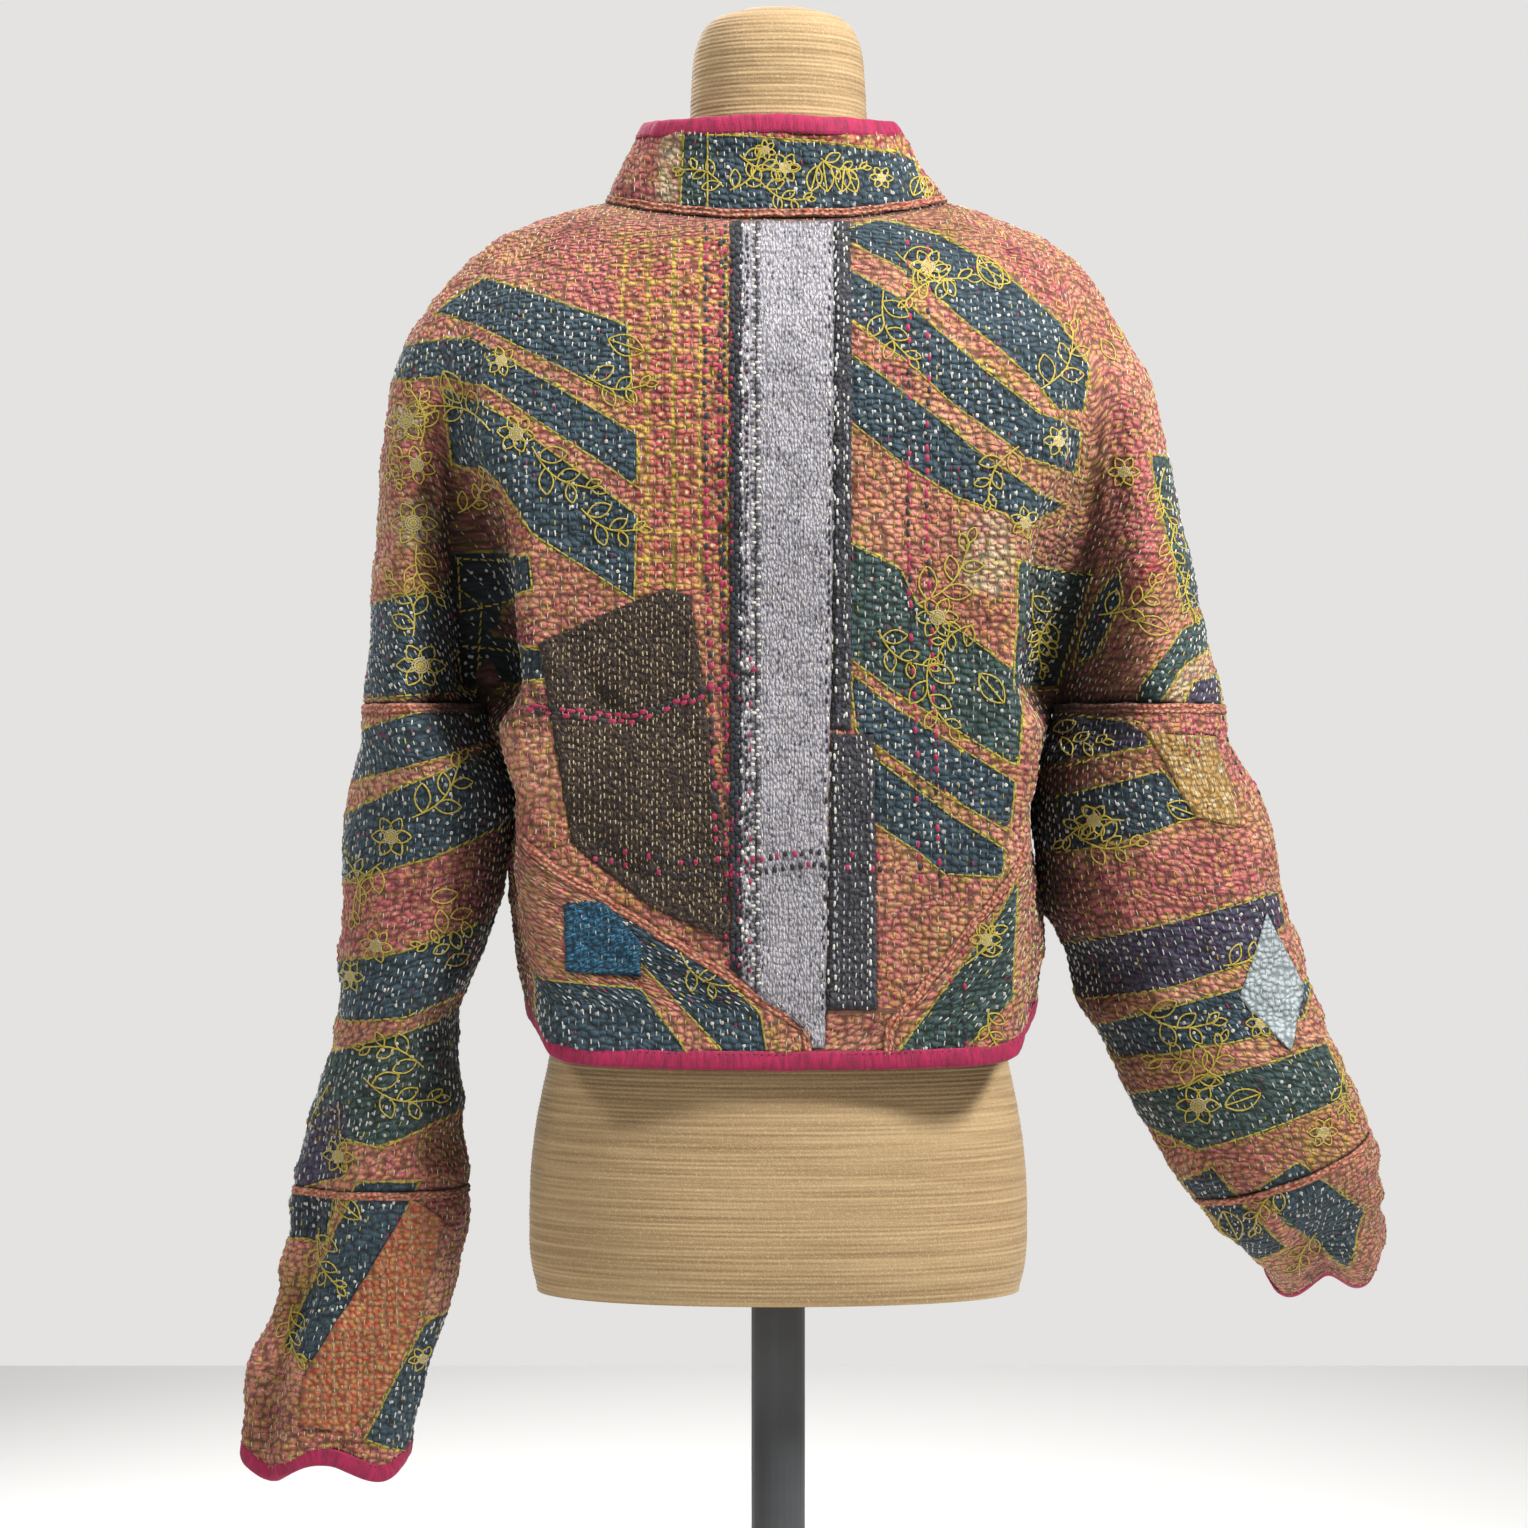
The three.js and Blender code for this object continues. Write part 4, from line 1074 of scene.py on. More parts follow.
@dataclass
class Stitches:
    """Raised threads, gathered as arrays and made as one mesh.

    Attributes:
        centre, along, up: (n, 3) place, direction and the cloth's normal.
        size: (n, 3) length, width and height.
        colour: (n, 3) linear colour.
    """

    centre: list = field(default_factory=list)
    along: list = field(default_factory=list)
    up: list = field(default_factory=list)
    size: list = field(default_factory=list)
    colour: list = field(default_factory=list)

    def add(self, centre, along, up, size, colour) -> None:
        """Adds a batch of stitches.

        Args:
            centre, along, up, size, colour: as the attributes of the same names.
        """
        self.centre.append(centre)
        self.along.append(along)
        self.up.append(up)
        self.size.append(np.broadcast_to(size, centre.shape))
        self.colour.append(np.broadcast_to(colour, centre.shape))

    def build(self, name: str) -> bpy.types.Object:
        """One mesh of all the stitches: each is a low ridge, sunk at both ends."""
        centre, along, up = (np.concatenate(v) for v in (self.centre, self.along, self.up))
        size, colour = np.concatenate(self.size), np.concatenate(self.colour)
        along = unit(along - up * np.sum(along * up, 1, keepdims=True))
        side = np.cross(up, along)
        shape = np.array(
            [[-0.5, 0, -0.3], [-0.3, -0.5, 0], [-0.3, 0, 1], [-0.3, 0.5, 0],
             [0.3, -0.5, 0], [0.3, 0, 1], [0.3, 0.5, 0], [0.5, 0, -0.3]]
        )
        local = shape[None] * size[:, None]
        points = (
            centre[:, None]
            + along[:, None] * local[..., :1]
            + side[:, None] * local[..., 1:2]
            + up[:, None] * local[..., 2:]
        )
        start = np.arange(len(centre))[:, None, None] * len(shape)
        quads = np.array([[1, 4, 5, 2], [2, 5, 6, 3]])[None] + start
        ends = np.array([[0, 1, 2], [0, 2, 3], [7, 5, 4], [7, 6, 5]])[None] + start
        faces = [quads.reshape(-1, 4), ends.reshape(-1, 3)]
        made = new_object(name, true_height(points.reshape(-1, 3)), faces)
        set_values(made.data, "thread", np.repeat(colour, len(shape), 0))
        return made


def stitch_sizes(random: np.random.Generator, count: int, *spans) -> np.ndarray:
    """The length, width and height of each stitch, each one a number or drawn from a span."""
    drawn = [random.uniform(*span, count) if isinstance(span, tuple) else np.full(count, span)
             for span in spans]
    return np.stack(drawn, 1)


def dyes_from(text: str) -> list[Dye]:
    """Dyes from a line of their names."""
    return [Dye[word] for word in text.split()]


@dataclass(frozen=True)
class Threads:
    """Which threads a cloth is stitched with, by name, and how often each comes."""

    dyes: str
    weights: tuple[float, ...]

    def pick(self, random: np.random.Generator, count: int) -> np.ndarray:
        """A random colour for each stitch, each a little lighter or darker."""
        colours = np.array([dye.linear for dye in dyes_from(self.dyes)])
        chosen = colours[random.choice(len(colours), count, p=self.weights)]
        return chosen * random.uniform(0.75, 1.1, (count, 1))


ON_BANDS = Threads(
    "WHITE GREY YELLOW SLATE NAVY MAGENTA",
    (0.3, 0.24, 0.06, 0.2, 0.17, 0.03),
)
ON_GROUND = Threads(
    "CREAM YELLOW ROSE MAGENTA SALMON RUST",
    (0.2, 0.16, 0.16, 0.06, 0.22, 0.2),
)


def weft_crossing(
    s: np.ndarray, there: np.ndarray, place: np.ndarray
) -> tuple[np.ndarray, np.ndarray, np.ndarray]:
    """Finds where a line at a place along the weft crosses each row of a grid.

    Args:
        s: (points, rows) the place of each point along the weft, the largest first.
        there: (points, rows) true where the cloth exists.
        place: (rows,) the place of the line.

    Returns:
        For each row the point before the crossing, the share of the way from it to the next
        point, and whether the cloth is there.
    """
    rows = np.arange(s.shape[1])
    before = (s >= place).sum(0) - 1
    good = (before >= 1) & (before < len(s) - 2)
    before = np.clip(before, 0, len(s) - 2)
    upper, lower = s[before, rows], s[before + 1, rows]
    share = ((upper - place) / np.maximum(upper - lower, 1e-6))[:, None]
    return before, share, good & there[before, rows] & there[before + 1, rows]


def stitch_grid(
    out: Stitches, grid: Grid, design: Print | None, threads: Threads | None, seed: int,
    lines_apart: float = STITCH_LINES, pitch: float = 6.4, long: float = 3.7,
) -> None:
    """Lays lines of running stitch up and down a grid, each line at one place along the weft.

    Args:
        out: gathers the stitches.
        grid: the cloth.
        design: its print, which chooses the threads where none are given.
        threads: the threads, or None.
        seed: the seed of the unevenness.
        lines_apart: between two lines.
        pitch: between the starts of two stitches.
        long: length of a stitch.
    """
    random = np.random.default_rng(seed)
    order = slice(None, None, -1) if grid.s[0, -1] > grid.s[0, 0] else slice(None)
    s, there = grid.s.T[order], grid.there.T[order]
    points, normals = (v.transpose(1, 0, 2)[order] for v in (grid.points, grid.normals))
    on_band = design.band.T[order] > 0 if design else None
    rows = np.arange(s.shape[1])
    for k in range(math.ceil(s.min() / lines_apart), int(s.max() / lines_apart) + 1):
        wobble = 0.8 * noise(rows * CELL / 25, np.full(len(rows), k * 0.7), seed)
        before, share, good = weft_crossing(s, there, k * lines_apart + wobble)
        line, up = (mix(v[before, rows], v[before + 1, rows], share) for v in (points, normals))
        step = np.linalg.norm(np.diff(line, axis=0), axis=1)
        step = np.where(good[1:] & good[:-1], step, 0.0)
        length = np.concatenate([[0], np.cumsum(step)])
        count = int(length[-1] / pitch)
        if count < 2:
            continue
        at = (np.arange(count) + random.uniform(0.1, 0.9)) * pitch
        at += random.uniform(-0.8, 0.8, count)
        nearest = np.clip(np.searchsorted(length, at), 1, len(length) - 2)
        kept = good[nearest - 1] & good[nearest] & good[nearest + 1]
        at, nearest = at[kept], nearest[kept]
        if not len(at):
            continue
        centre = along_line(at, length, line)
        normal = unit(along_line(at, length, up))
        tangent = line[nearest + 1] - line[nearest - 1]
        sway = np.cross(normal, tangent) * random.uniform(-0.16, 0.16, (len(at), 1))
        size = stitch_sizes(random, len(at), (0.8, 1.25), (0.6, 0.9), (0.5, 0.7)) * [long, 1, 1]
        if threads:
            colour = threads.pick(random, len(at))
        else:
            dark = on_band[before[nearest], nearest][:, None]
            pale = ON_BANDS.pick(random, len(at))
            colour = np.where(dark, pale, ON_GROUND.pick(random, len(at)))
        out.add(centre, tangent + sway, normal, size, colour)


class Drape:
    """Finds the cloth's surface behind or before a point of (x, level)."""

    reach = 500.0  # how far from the middle the search starts

    def __init__(self, grids: list[Grid], from_behind: bool = True) -> None:
        """Makes a search tree of each grid."""
        self.trees = []
        for grid in grids:
            faces = grid_faces(grid.there, grid.flip).tolist()
            self.trees.append(BVHTree.FromPolygons(grid.points.reshape(-1, 3).tolist(), faces))
        self.sign = 1 if from_behind else -1

    def drop(self, x: float, level: float) -> tuple[np.ndarray, np.ndarray] | None:
        """The point and normal of the cloth there, or None beside it."""
        best = None
        origin = Vector((x, self.reach * self.sign, level))
        for tree in self.trees:
            place, normal, _, distance = tree.ray_cast(origin, Vector((0, -self.sign, 0)))
            if place is not None and (best is None or distance < best[2]):
                best = (np.array(place), np.array(normal), distance)
        return None if best is None else best[:2]

    def lay(self, plan: np.ndarray) -> tuple[np.ndarray, np.ndarray, np.ndarray]:
        """A run of plan points laid on the cloth.

        Args:
            plan: (n, 2) points of x and level.

        Returns:
            The points, the normals, and whether each point met the cloth.
        """
        found = [self.drop(x, level) for x, level in plan]
        met = np.array([f is not None for f in found])
        blank = (np.zeros(3), np.array([0.0, self.sign, 0.0]))
        points = np.array([(f or blank)[0] for f in found])
        normals = np.array([(f or blank)[1] for f in found])
        facing = np.where(normals[:, 1:2] * self.sign < 0, -1.0, 1.0)
        return points, normals * facing, met

    def lay_all(self, plan: np.ndarray) -> tuple[np.ndarray, np.ndarray]:
        """As lay, but a point that misses takes the nearest place on the cloth."""
        points, normals, met = self.lay(plan)
        depth = points[met][:, 1].mean()
        for k in np.flatnonzero(~met):
            place, normal, *_ = self.trees[0].find_nearest(Vector((plan[k, 0], depth, plan[k, 1])))
            facing = 1 if normal.y * self.sign > 0 else -1
            points[k], normals[k] = place, np.array(normal) * facing
        return points, normals


@dataclass
class Cords:
    """Raised lines of embroidery thread, made as one mesh.

    Attributes:
        points, faces, colours: arrays, one for each line or side of a line.
        count: how many points there are.
        bead: how much wider and narrower a line is by turns, as a share.
        high: its height as a share of its width.
    """

    points: list = field(default_factory=list)
    faces: list = field(default_factory=list)
    colours: list = field(default_factory=list)
    count: int = 0
    bead: float = 0.22
    high: float = 0.62

    def add(self, line: np.ndarray, up: np.ndarray, width: float, colour) -> None:
        """Adds a thread on the cloth: a low arch, beaded like chain stitch.

        Args:
            line: its points.
            up: the cloth's normals there.
            width: its width.
            colour: its linear colour.
        """
        if len(line) < 3:
            return
        along = np.gradient(line, axis=0)
        side = np.cross(up, along)
        side /= np.linalg.norm(side, axis=1, keepdims=True) + 1e-9
        bead = (1 + self.bead * np.cos(np.arange(len(line)) * math.pi))[:, None]
        ring = [line - side * width / 2 * bead, line + up * width * self.high * bead,
                line + side * width / 2 * bead]
        number = self.count + np.arange(len(line))
        for a, b in ((0, 1), (1, 2)):
            low, high = number + a * len(line), number + b * len(line)
            self.faces.append(np.stack([low[:-1], low[1:], high[1:], high[:-1]], 1))
        self.points.append(np.concatenate(ring))
        self.colours.append(np.broadcast_to(colour, (3 * len(line), 3)))
        self.count += 3 * len(line)

    def build(self, name: str) -> bpy.types.Object:
        """One mesh of all the lines."""
        points = true_height(np.concatenate(self.points))
        made = new_object(name, points, [np.concatenate(self.faces)])
        set_values(made.data, "thread", np.concatenate(self.colours))
        return made


# ------------------------------------------------------------------ finishes


def add_node(
    tree: bpy.types.NodeTree, kind: str, inputs: dict | None = None, **settings
) -> bpy.types.Node:
    """Adds a node.

    Args:
        tree: the material's nodes.
        kind: the node's type.
        inputs: for each input socket, a value or the output socket to link.
        settings: the node's own properties.

    Returns:
        The new node.
    """
    made = tree.nodes.new(kind)
    for name, value in settings.items():
        setattr(made, name, value)
    for key, value in (inputs or {}).items():
        if isinstance(value, bpy.types.NodeSocket):
            tree.links.new(value, made.inputs[key])
        else:
            made.inputs[key].default_value = value
    return made


def opaque(dye: Dye) -> tuple[float, float, float, float]:
    """A dye as the four numbers of a colour socket."""
    return (*dye.linear.tolist(), 1.0)


class Finish:
    """The nodes of one material, with short calls for what every finish here needs."""

    def __init__(self, name: str) -> None:
        """Starts an empty material."""
        self.material = bpy.data.materials.new(name)
        self.material.use_nodes = True
        self.tree = self.material.node_tree
        self.tree.nodes.clear()

    def node(self, kind: str, inputs: dict | None = None, **settings) -> bpy.types.Node:
        """Adds a node to this material."""
        return add_node(self.tree, kind, inputs, **settings)

    def math(self, operation: str, a, b=0.0) -> bpy.types.NodeSocket:
        """The result of one sum on two numbers or sockets."""
        return self.node("ShaderNodeMath", {0: a, 1: b}, operation=operation).outputs[0]

    def times(self, a, b) -> bpy.types.NodeSocket:
        """The product of two numbers or sockets."""
        return self.math("MULTIPLY", a, b)

    def plus(self, a, b) -> bpy.types.NodeSocket:
        """The sum of two numbers or sockets."""
        return self.math("ADD", a, b)

    def mixed(self, share, a, b) -> bpy.types.NodeSocket:
        """A colour a share of the way from a to b."""
        made = self.node("ShaderNodeMix", {0: share, 6: a, 7: b}, data_type="RGBA")
        return made.outputs[2]

    def over(self, colour, dye: Dye, share, amount: float = 1.0) -> bpy.types.NodeSocket:
        """A colour with a dye laid over it.

        Args:
            colour: the colour under it.
            dye: the dye.
            share, amount: how much of it is dye, as a product.

        Returns:
            The new colour.
        """
        return self.mixed(self.times(share, amount), colour, opaque(dye))

    def value(self, name: str) -> bpy.types.NodeSocket:
        """A number stored on the mesh's points."""
        return self.node("ShaderNodeAttribute", attribute_name=name).outputs["Fac"]

    def colour(self, name: str) -> bpy.types.NodeSocket:
        """A colour stored on the mesh's points."""
        return self.node("ShaderNodeAttribute", attribute_name=name).outputs["Color"]

    def repeats(self, name: str, size_mm: float) -> bpy.types.NodeSocket:
        """The place along the weft or the warp, counted in repeats of a size."""
        return self.times(self.value(name), 1 / (size_mm * MM))

    def cloth_place(self, weft_mm: float, warp_mm: float) -> bpy.types.NodeSocket:
        """The place in the cloth, counted in repeats of the given size."""
        places = {0: self.repeats("weft", weft_mm), 1: self.repeats("warp", warp_mm)}
        return self.node("ShaderNodeCombineXYZ", places).outputs[0]

    def noise(self, place, scale: float = 1.0, detail: float = 2.0) -> bpy.types.NodeSocket:
        """Smooth random hills from 0 to 1, at a scale of so many hills to a unit of the place."""
        inputs = {"Vector": place, "Scale": scale, "Detail": detail}
        return self.node("ShaderNodeTexNoise", inputs).outputs[0]

    def grain(
        self, weft_mm: float, warp_mm: float, scale: float = 1.0, detail: float = 2.0
    ) -> bpy.types.NodeSocket:
        """Smooth random hills in the cloth.

        Args:
            weft_mm, warp_mm: their size along the weft and up the warp.
            scale: how many times smaller they are than that.
            detail: how many finer layers are added.

        Returns:
            Their height from 0 to 1.
        """
        return self.noise(self.cloth_place(weft_mm, warp_mm), scale, detail)

    def cells(self, place, jitter: float = 1.0) -> bpy.types.Node:
        """Scattered cells, with the distance to each one's middle."""
        inputs = {"Vector": place, "Scale": 1.0, "Randomness": jitter}
        return self.node("ShaderNodeTexVoronoi", inputs, voronoi_dimensions="2D")

    def puckers(self, weft_mm: float, warp_mm: float) -> bpy.types.NodeSocket:
        """Soft pillows between the stitches, 1 on top and 0 in the creases between them."""
        place = self.cloth_place(weft_mm, warp_mm)
        stray = self.grain(weft_mm * 3, warp_mm * 3)
        inputs = {0: place, 1: self.times(stray, 1.5)}
        moved = self.node("ShaderNodeVectorMath", inputs, operation="ADD").outputs[0]
        return self.below(self.cells(moved, 0.7).outputs["Distance"], 0.4, 0.32)

    def ramp(self, value, *ends: float, kind: str = "LINEAR") -> bpy.types.NodeSocket:
        """A number carried from one range to another.

        Args:
            value: the number.
            ends: the first range's two ends, then the second's.
            kind: how the numbers between run.

        Returns:
            The new number.
        """
        inputs = {0: value, **{k + 1: end for k, end in enumerate(ends)}}
        return self.node("ShaderNodeMapRange", inputs, interpolation_type=kind).outputs[0]

    def above(self, value, edge: float, soft: float) -> bpy.types.NodeSocket:
        """From 0 to 1 as a number passes an edge."""
        return self.ramp(value, edge - soft, edge + soft, 0.0, 1.0, kind="SMOOTHSTEP")

    def below(self, value, edge: float, soft: float) -> bpy.types.NodeSocket:
        """From 1 to 0 as a number passes an edge."""
        return self.ramp(value, edge - soft, edge + soft, 1.0, 0.0, kind="SMOOTHSTEP")

    def shaded(self, colour, amount) -> bpy.types.NodeSocket:
        """A colour made lighter or darker."""
        scale = self.node("ShaderNodeCombineXYZ", {0: amount, 1: amount, 2: amount})
        made = self.node(
            "ShaderNodeMix", {0: 1.0, 6: colour, 7: scale.outputs[0]},
            data_type="RGBA", blend_type="MULTIPLY",
        )
        return made.outputs[2]

    def folds(self) -> bpy.types.NodeSocket:
        """From 1 on open cloth towards 0 deep in a fold: painted shade, from the ambient occlusion
        of the cloth round it.
        """
        open_sky = self.node("ShaderNodeAmbientOcclusion", {"Distance": 0.12}, samples=4)
        return self.math("POWER", open_sky.outputs["AO"], 1.7)

    def finish(
        self, colour, roughness, height, depth_mm: float, sheen: float = 0.0
    ) -> bpy.types.Material:
        """Joins the surface: its colour, roughness and relief.

        Args:
            colour: the base colour socket or value.
            roughness: a socket or a number.
            height: the relief's socket, from 0 to 1.
            depth_mm: how deep the relief is.
            sheen: how much nap catches the light.

        Returns:
            The finished material.
        """
        bump = self.node(
            "ShaderNodeBump", {"Strength": 1.0, "Distance": depth_mm * MM, "Height": height}
        )
        surface = self.node(
            "ShaderNodeBsdfPrincipled",
            {"Base Color": colour, "Roughness": roughness, "Normal": bump.outputs[0],
             "Sheen Weight": sheen, "Sheen Roughness": 0.5},
        )
        self.node("ShaderNodeOutputMaterial", {"Surface": surface.outputs[0]})
        return self.material


@dataclass(frozen=True)
class PrintedQuilt:
    """Old printed cotton saris in layers: matt, washed soft, puckered by every stitch.

    Attributes:
        lump_mm: size of a pucker along the weft and up the warp.
        speck_mm: size of the print's smallest figures.
        check_mm: between two lines of the check.
        weave_mm: the weave, drawn coarser than the real 0.4 mm so that it shows.
    """

    lump_mm: tuple[float, float] = (5.8, 4.0)
    speck_mm: float = 4.2
    check_mm: float = 16.0
    weave_mm: float = 0.9

    def make(self) -> bpy.types.Material:
        """Builds the material from the print that each mesh carries on its points."""
        f = Finish("printed_cotton_quilt")
        height = self.relief(f)
        fray = f.times(f.math("SUBTRACT", f.grain(4, 4), 0.5), 2.4)
        band = f.plus(f.value("band"), fray)
        colour = f.mixed(f.above(band, 0.0, 0.4), self.ground(f), self.bands(f))
        line = f.below(f.math("ABSOLUTE", f.plus(band, 0.4)), 0.75, 0.25)
        broken = f.above(f.grain(9, 9), 0.44, 0.05)
        colour = f.over(colour, Dye.YELLOW, line, broken)
        faded = f.ramp(f.grain(45, 45, detail=4.0), 0.3, 0.7, 0.8, 1.12)
        # Painted shade: the colour is darker in the creases between the puckers, a little lighter
        # on their tops, and darker deep in the folds; faded is the cloth's own uneven fading.
        painted_crease_shade = f.ramp(height, 0.14, 0.66, 0.28, 1.1)
        shade = f.times(f.times(faded, painted_crease_shade), f.folds())
        return f.finish(f.shaded(colour, shade), 0.88, height, 2.8, 0.05)

    def ground(self, f: Finish) -> bpy.types.NodeSocket:
        """The light ground: a busy little print, or a check with rosettes."""
        size = self.speck_mm
        checked = f.value("check")
        zone = f.above(f.grain(60, 44, detail=1.0), 0.52, 0.1)
        warm = f.above(f.grain(size * 1.7, size * 1.3), 0.54, 0.05)
        pink = f.above(f.grain(size * 1.4, size * 2.1, 1.3), 0.55, 0.05)
        deep = f.above(f.grain(size * 0.9, size, 2.1), 0.6, 0.04)
        pale = f.above(f.grain(size, size * 0.8, 1.7), 0.62, 0.05)
        vine = f.grain(14, 14)
        stem = f.below(f.math("ABSOLUTE", f.math("SUBTRACT", vine, 0.5)), 0.014, 0.006)
        colour = f.colour("ground")
        for dye, share, amount in (
            (Dye.BRICK, checked, 0.6), (Dye.ROSE, zone, 0.42), (Dye.OCHRE, warm, 0.35),
            (Dye.ROSE, pink, 0.55), (Dye.RUST, deep, 0.6), (Dye.CREAM, pale, 0.6),
            (Dye.YELLOW, stem, 0.5),
        ):
            colour = f.over(colour, dye, share, amount)
        near = [f.math("PINGPONG", f.repeats(way, self.check_mm), 0.5) for way in ("weft", "warp")]
        line = f.math("MAXIMUM", f.below(near[0], 0.07, 0.02), f.below(near[1], 0.055, 0.02))
        far = [f.math("POWER", f.math("SUBTRACT", 0.5, place), 2.0) for place in near]
        from_middle = f.math("SQRT", f.plus(*far))
        ragged = f.plus(from_middle, f.times(f.grain(3, 3), 0.16))
        rosette = f.times(f.above(ragged, 0.2, 0.03), f.below(ragged, 0.31, 0.03))
        eye = f.below(ragged, 0.15, 0.03)
        colour = f.over(colour, Dye.RED, f.times(rosette, checked), 0.8)
        colour = f.over(colour, Dye.CREAM, f.times(eye, checked), 0.9)
        return f.over(colour, Dye.YELLOW, f.times(line, checked), 0.75)

    def bands(self, f: Finish) -> bpy.types.NodeSocket:
        """The dark bands, unevenly dyed."""
        dye = f.grain(7, 6, detail=3.0)
        worn = f.times(f.above(dye, 0.52, 0.2), 0.4)
        return f.mixed(worn, f.colour("dark"), opaque(Dye.SLATE))

    def relief(self, f: Finish) -> bpy.types.NodeSocket:
        """Pillows between the stitches, smaller folds on them, and the weave."""
        pillow = f.puckers(*self.lump_mm)
        small = f.grain(2.2, 2.6, detail=1.0)
        weave = f.grain(self.weave_mm, self.weave_mm, detail=1.0)
        rough = f.plus(f.times(pillow, 0.66), f.times(small, 0.28))
        return f.plus(rough, f.times(weave, 0.06))


@dataclass(frozen=True)
class PatchCotton:
    """A plain-woven cotton patch: matt, with flecks, stripes or dots woven or printed in.

    Attributes:
        base, fleck: its two colours.
        fleck_mm: width and height of a fleck.
        amount: how much of it is fleck.
        stripe_mm: width of a stripe across the weft, or 0 for none.
        third: the stripes' or the edge's colour, or None for the flecks' own.
        edge_mm: the place along the weft past which the third colour shows, or None.
        depth_mm: how deep it is puckered.
        pucker_mm: size of a pucker.
    """

    name: str
    base: Dye
    fleck: Dye
    fleck_mm: tuple[float, float]
    amount: float
    stripe_mm: float = 0.0
    third: Dye | None = None
    edge_mm: float | None = None
    depth_mm: float = 1.6
    pucker_mm: tuple[float, float] = (3.8, 3.6)

    def make(self) -> bpy.types.Material:
        """Builds the material."""
        f = Finish(self.name)
        slant = {"Vector": f.cloth_place(1, 1), "Rotation": (0, 0, 0.35)}
        turned = f.node("ShaderNodeMapping", slant).outputs[0]
        wide, tall = (1 / size for size in self.fleck_mm)
        scaled = {0: turned, 1: (wide, tall, 1.0)}
        place = f.node("ShaderNodeVectorMath", scaled, operation="MULTIPLY").outputs[0]
        shown = f.above(f.noise(place, detail=1.0), 0.5 + 0.2 * (1 - self.amount), 0.05)
        colour = f.mixed(shown, opaque(self.base), opaque(self.fleck))
        if self.stripe_mm:
            near = [f.math("PINGPONG", f.repeats(way, self.stripe_mm), 0.5)
                    for way in ("weft", "warp")]
            line = f.math("MAXIMUM", *(f.below(place, 0.12, 0.04) for place in near))
            colour = f.over(colour, self.third or self.fleck, line, 0.4)
        if self.edge_mm is not None:
            edge = f.above(f.value("weft"), self.edge_mm * MM, 0.6 * MM)
            colour = f.mixed(edge, colour, opaque(self.third))
        weave = f.grain(0.9, 0.9, detail=1.0)
        height = f.plus(f.times(f.puckers(*self.pucker_mm), 0.8), f.times(weave, 0.2))
        faded = f.ramp(f.grain(22, 30, detail=3.0), 0.3, 0.7, 0.82, 1.1)
        # Painted shade: the colour is darker in the creases between the puckers, a little lighter
        # on their tops, and darker deep in the folds; faded is the cloth's own uneven fading.
        painted_crease_shade = f.ramp(height, 0.1, 0.8, 0.5, 1.1)
        shade = f.times(f.times(faded, painted_crease_shade), f.folds())
        return f.finish(f.shaded(colour, shade), 0.86, height, self.depth_mm, 0.05)


@dataclass(frozen=True)
class BiasTape:
    """Magenta cotton cut on the bias and folded: matt, lightly puckered along its seam."""

    def make(self) -> bpy.types.Material:
        """Builds the material from a place along and round the tape."""
        f = Finish("magenta_bias_tape")
        pucker = f.grain(3.2, 14)
        # Painted shade: the tape is dark wine in the dips of its puckers and magenta on their tops,
        # following the relief.
        colour = f.mixed(f.above(pucker, 0.45, 0.25), opaque(Dye.WINE), opaque(Dye.MAGENTA))
        weave = f.grain(0.7, 0.7, detail=1.0)
        height = f.plus(f.times(pucker, 0.75), f.times(weave, 0.25))
        return f.finish(colour, 0.75, height, 1.7, 0.03)


@dataclass(frozen=True)
class SewingThread:
    """Six-strand cotton thread: a soft shine along each stitch."""

    def make(self) -> bpy.types.Material:
        """Builds the material from each stitch's own colour."""
        f = Finish("cotton_thread")
        place = f.node("ShaderNodeTexCoord").outputs["Object"]
        strand = f.noise(place, 1500.0, 1.0)
        colour = f.over(f.colour("thread"), Dye.BLACK, strand, 0.35)
        return f.finish(colour, 0.6, strand, 0.25, 0.15)


@dataclass(frozen=True)
class JuteRope:
    """Thin jute rope wound close: matt, fibrous, a little uneven in colour."""

    def make(self) -> bpy.types.Material:
        """Builds the material round the upright axis."""
        f = Finish("wound_jute_rope")
        place = f.node("ShaderNodeTexCoord").outputs["Object"]
        turns = f.node("ShaderNodeMapping", {"Vector": place, "Scale": (9.0, 9.0, 420.0)})
        tone = f.noise(turns.outputs[0], 1.0, 3.0)
        fibre = f.noise(place, 900.0, 2.0)
        twist = f.node("ShaderNodeMapping", {"Vector": place, "Scale": (420.0, 420.0, 180.0)})
        ply = f.noise(twist.outputs[0], 1.0, 1.0)
        colour = f.mixed(f.above(tone, 0.5, 0.22), opaque(Dye.JUTE_DARK), opaque(Dye.JUTE))
        colour = f.over(colour, Dye.CREAM, f.above(fibre, 0.6, 0.1), 0.4)
        height = f.plus(f.times(ply, 0.6), f.times(fibre, 0.4))
        return f.finish(colour, 0.8, height, 0.6, 0.1)


@dataclass(frozen=True)
class PowderCoat:
    """Black powder-coated steel: a fine orange peel and a dull shine."""

    def make(self) -> bpy.types.Material:
        """Builds the material."""
        f = Finish("powder_coated_steel")
        place = f.node("ShaderNodeTexCoord").outputs["Object"]
        peel = f.noise(place, 700.0, 2.0)
        dust = f.noise(place, 14.0, 4.0)
        colour = f.over(opaque(Dye.STEEL), Dye.GREY, dust, 0.2)
        rough = f.ramp(dust, 0.0, 1.0, 0.38, 0.58)
        return f.finish(colour, rough, peel, 0.12)


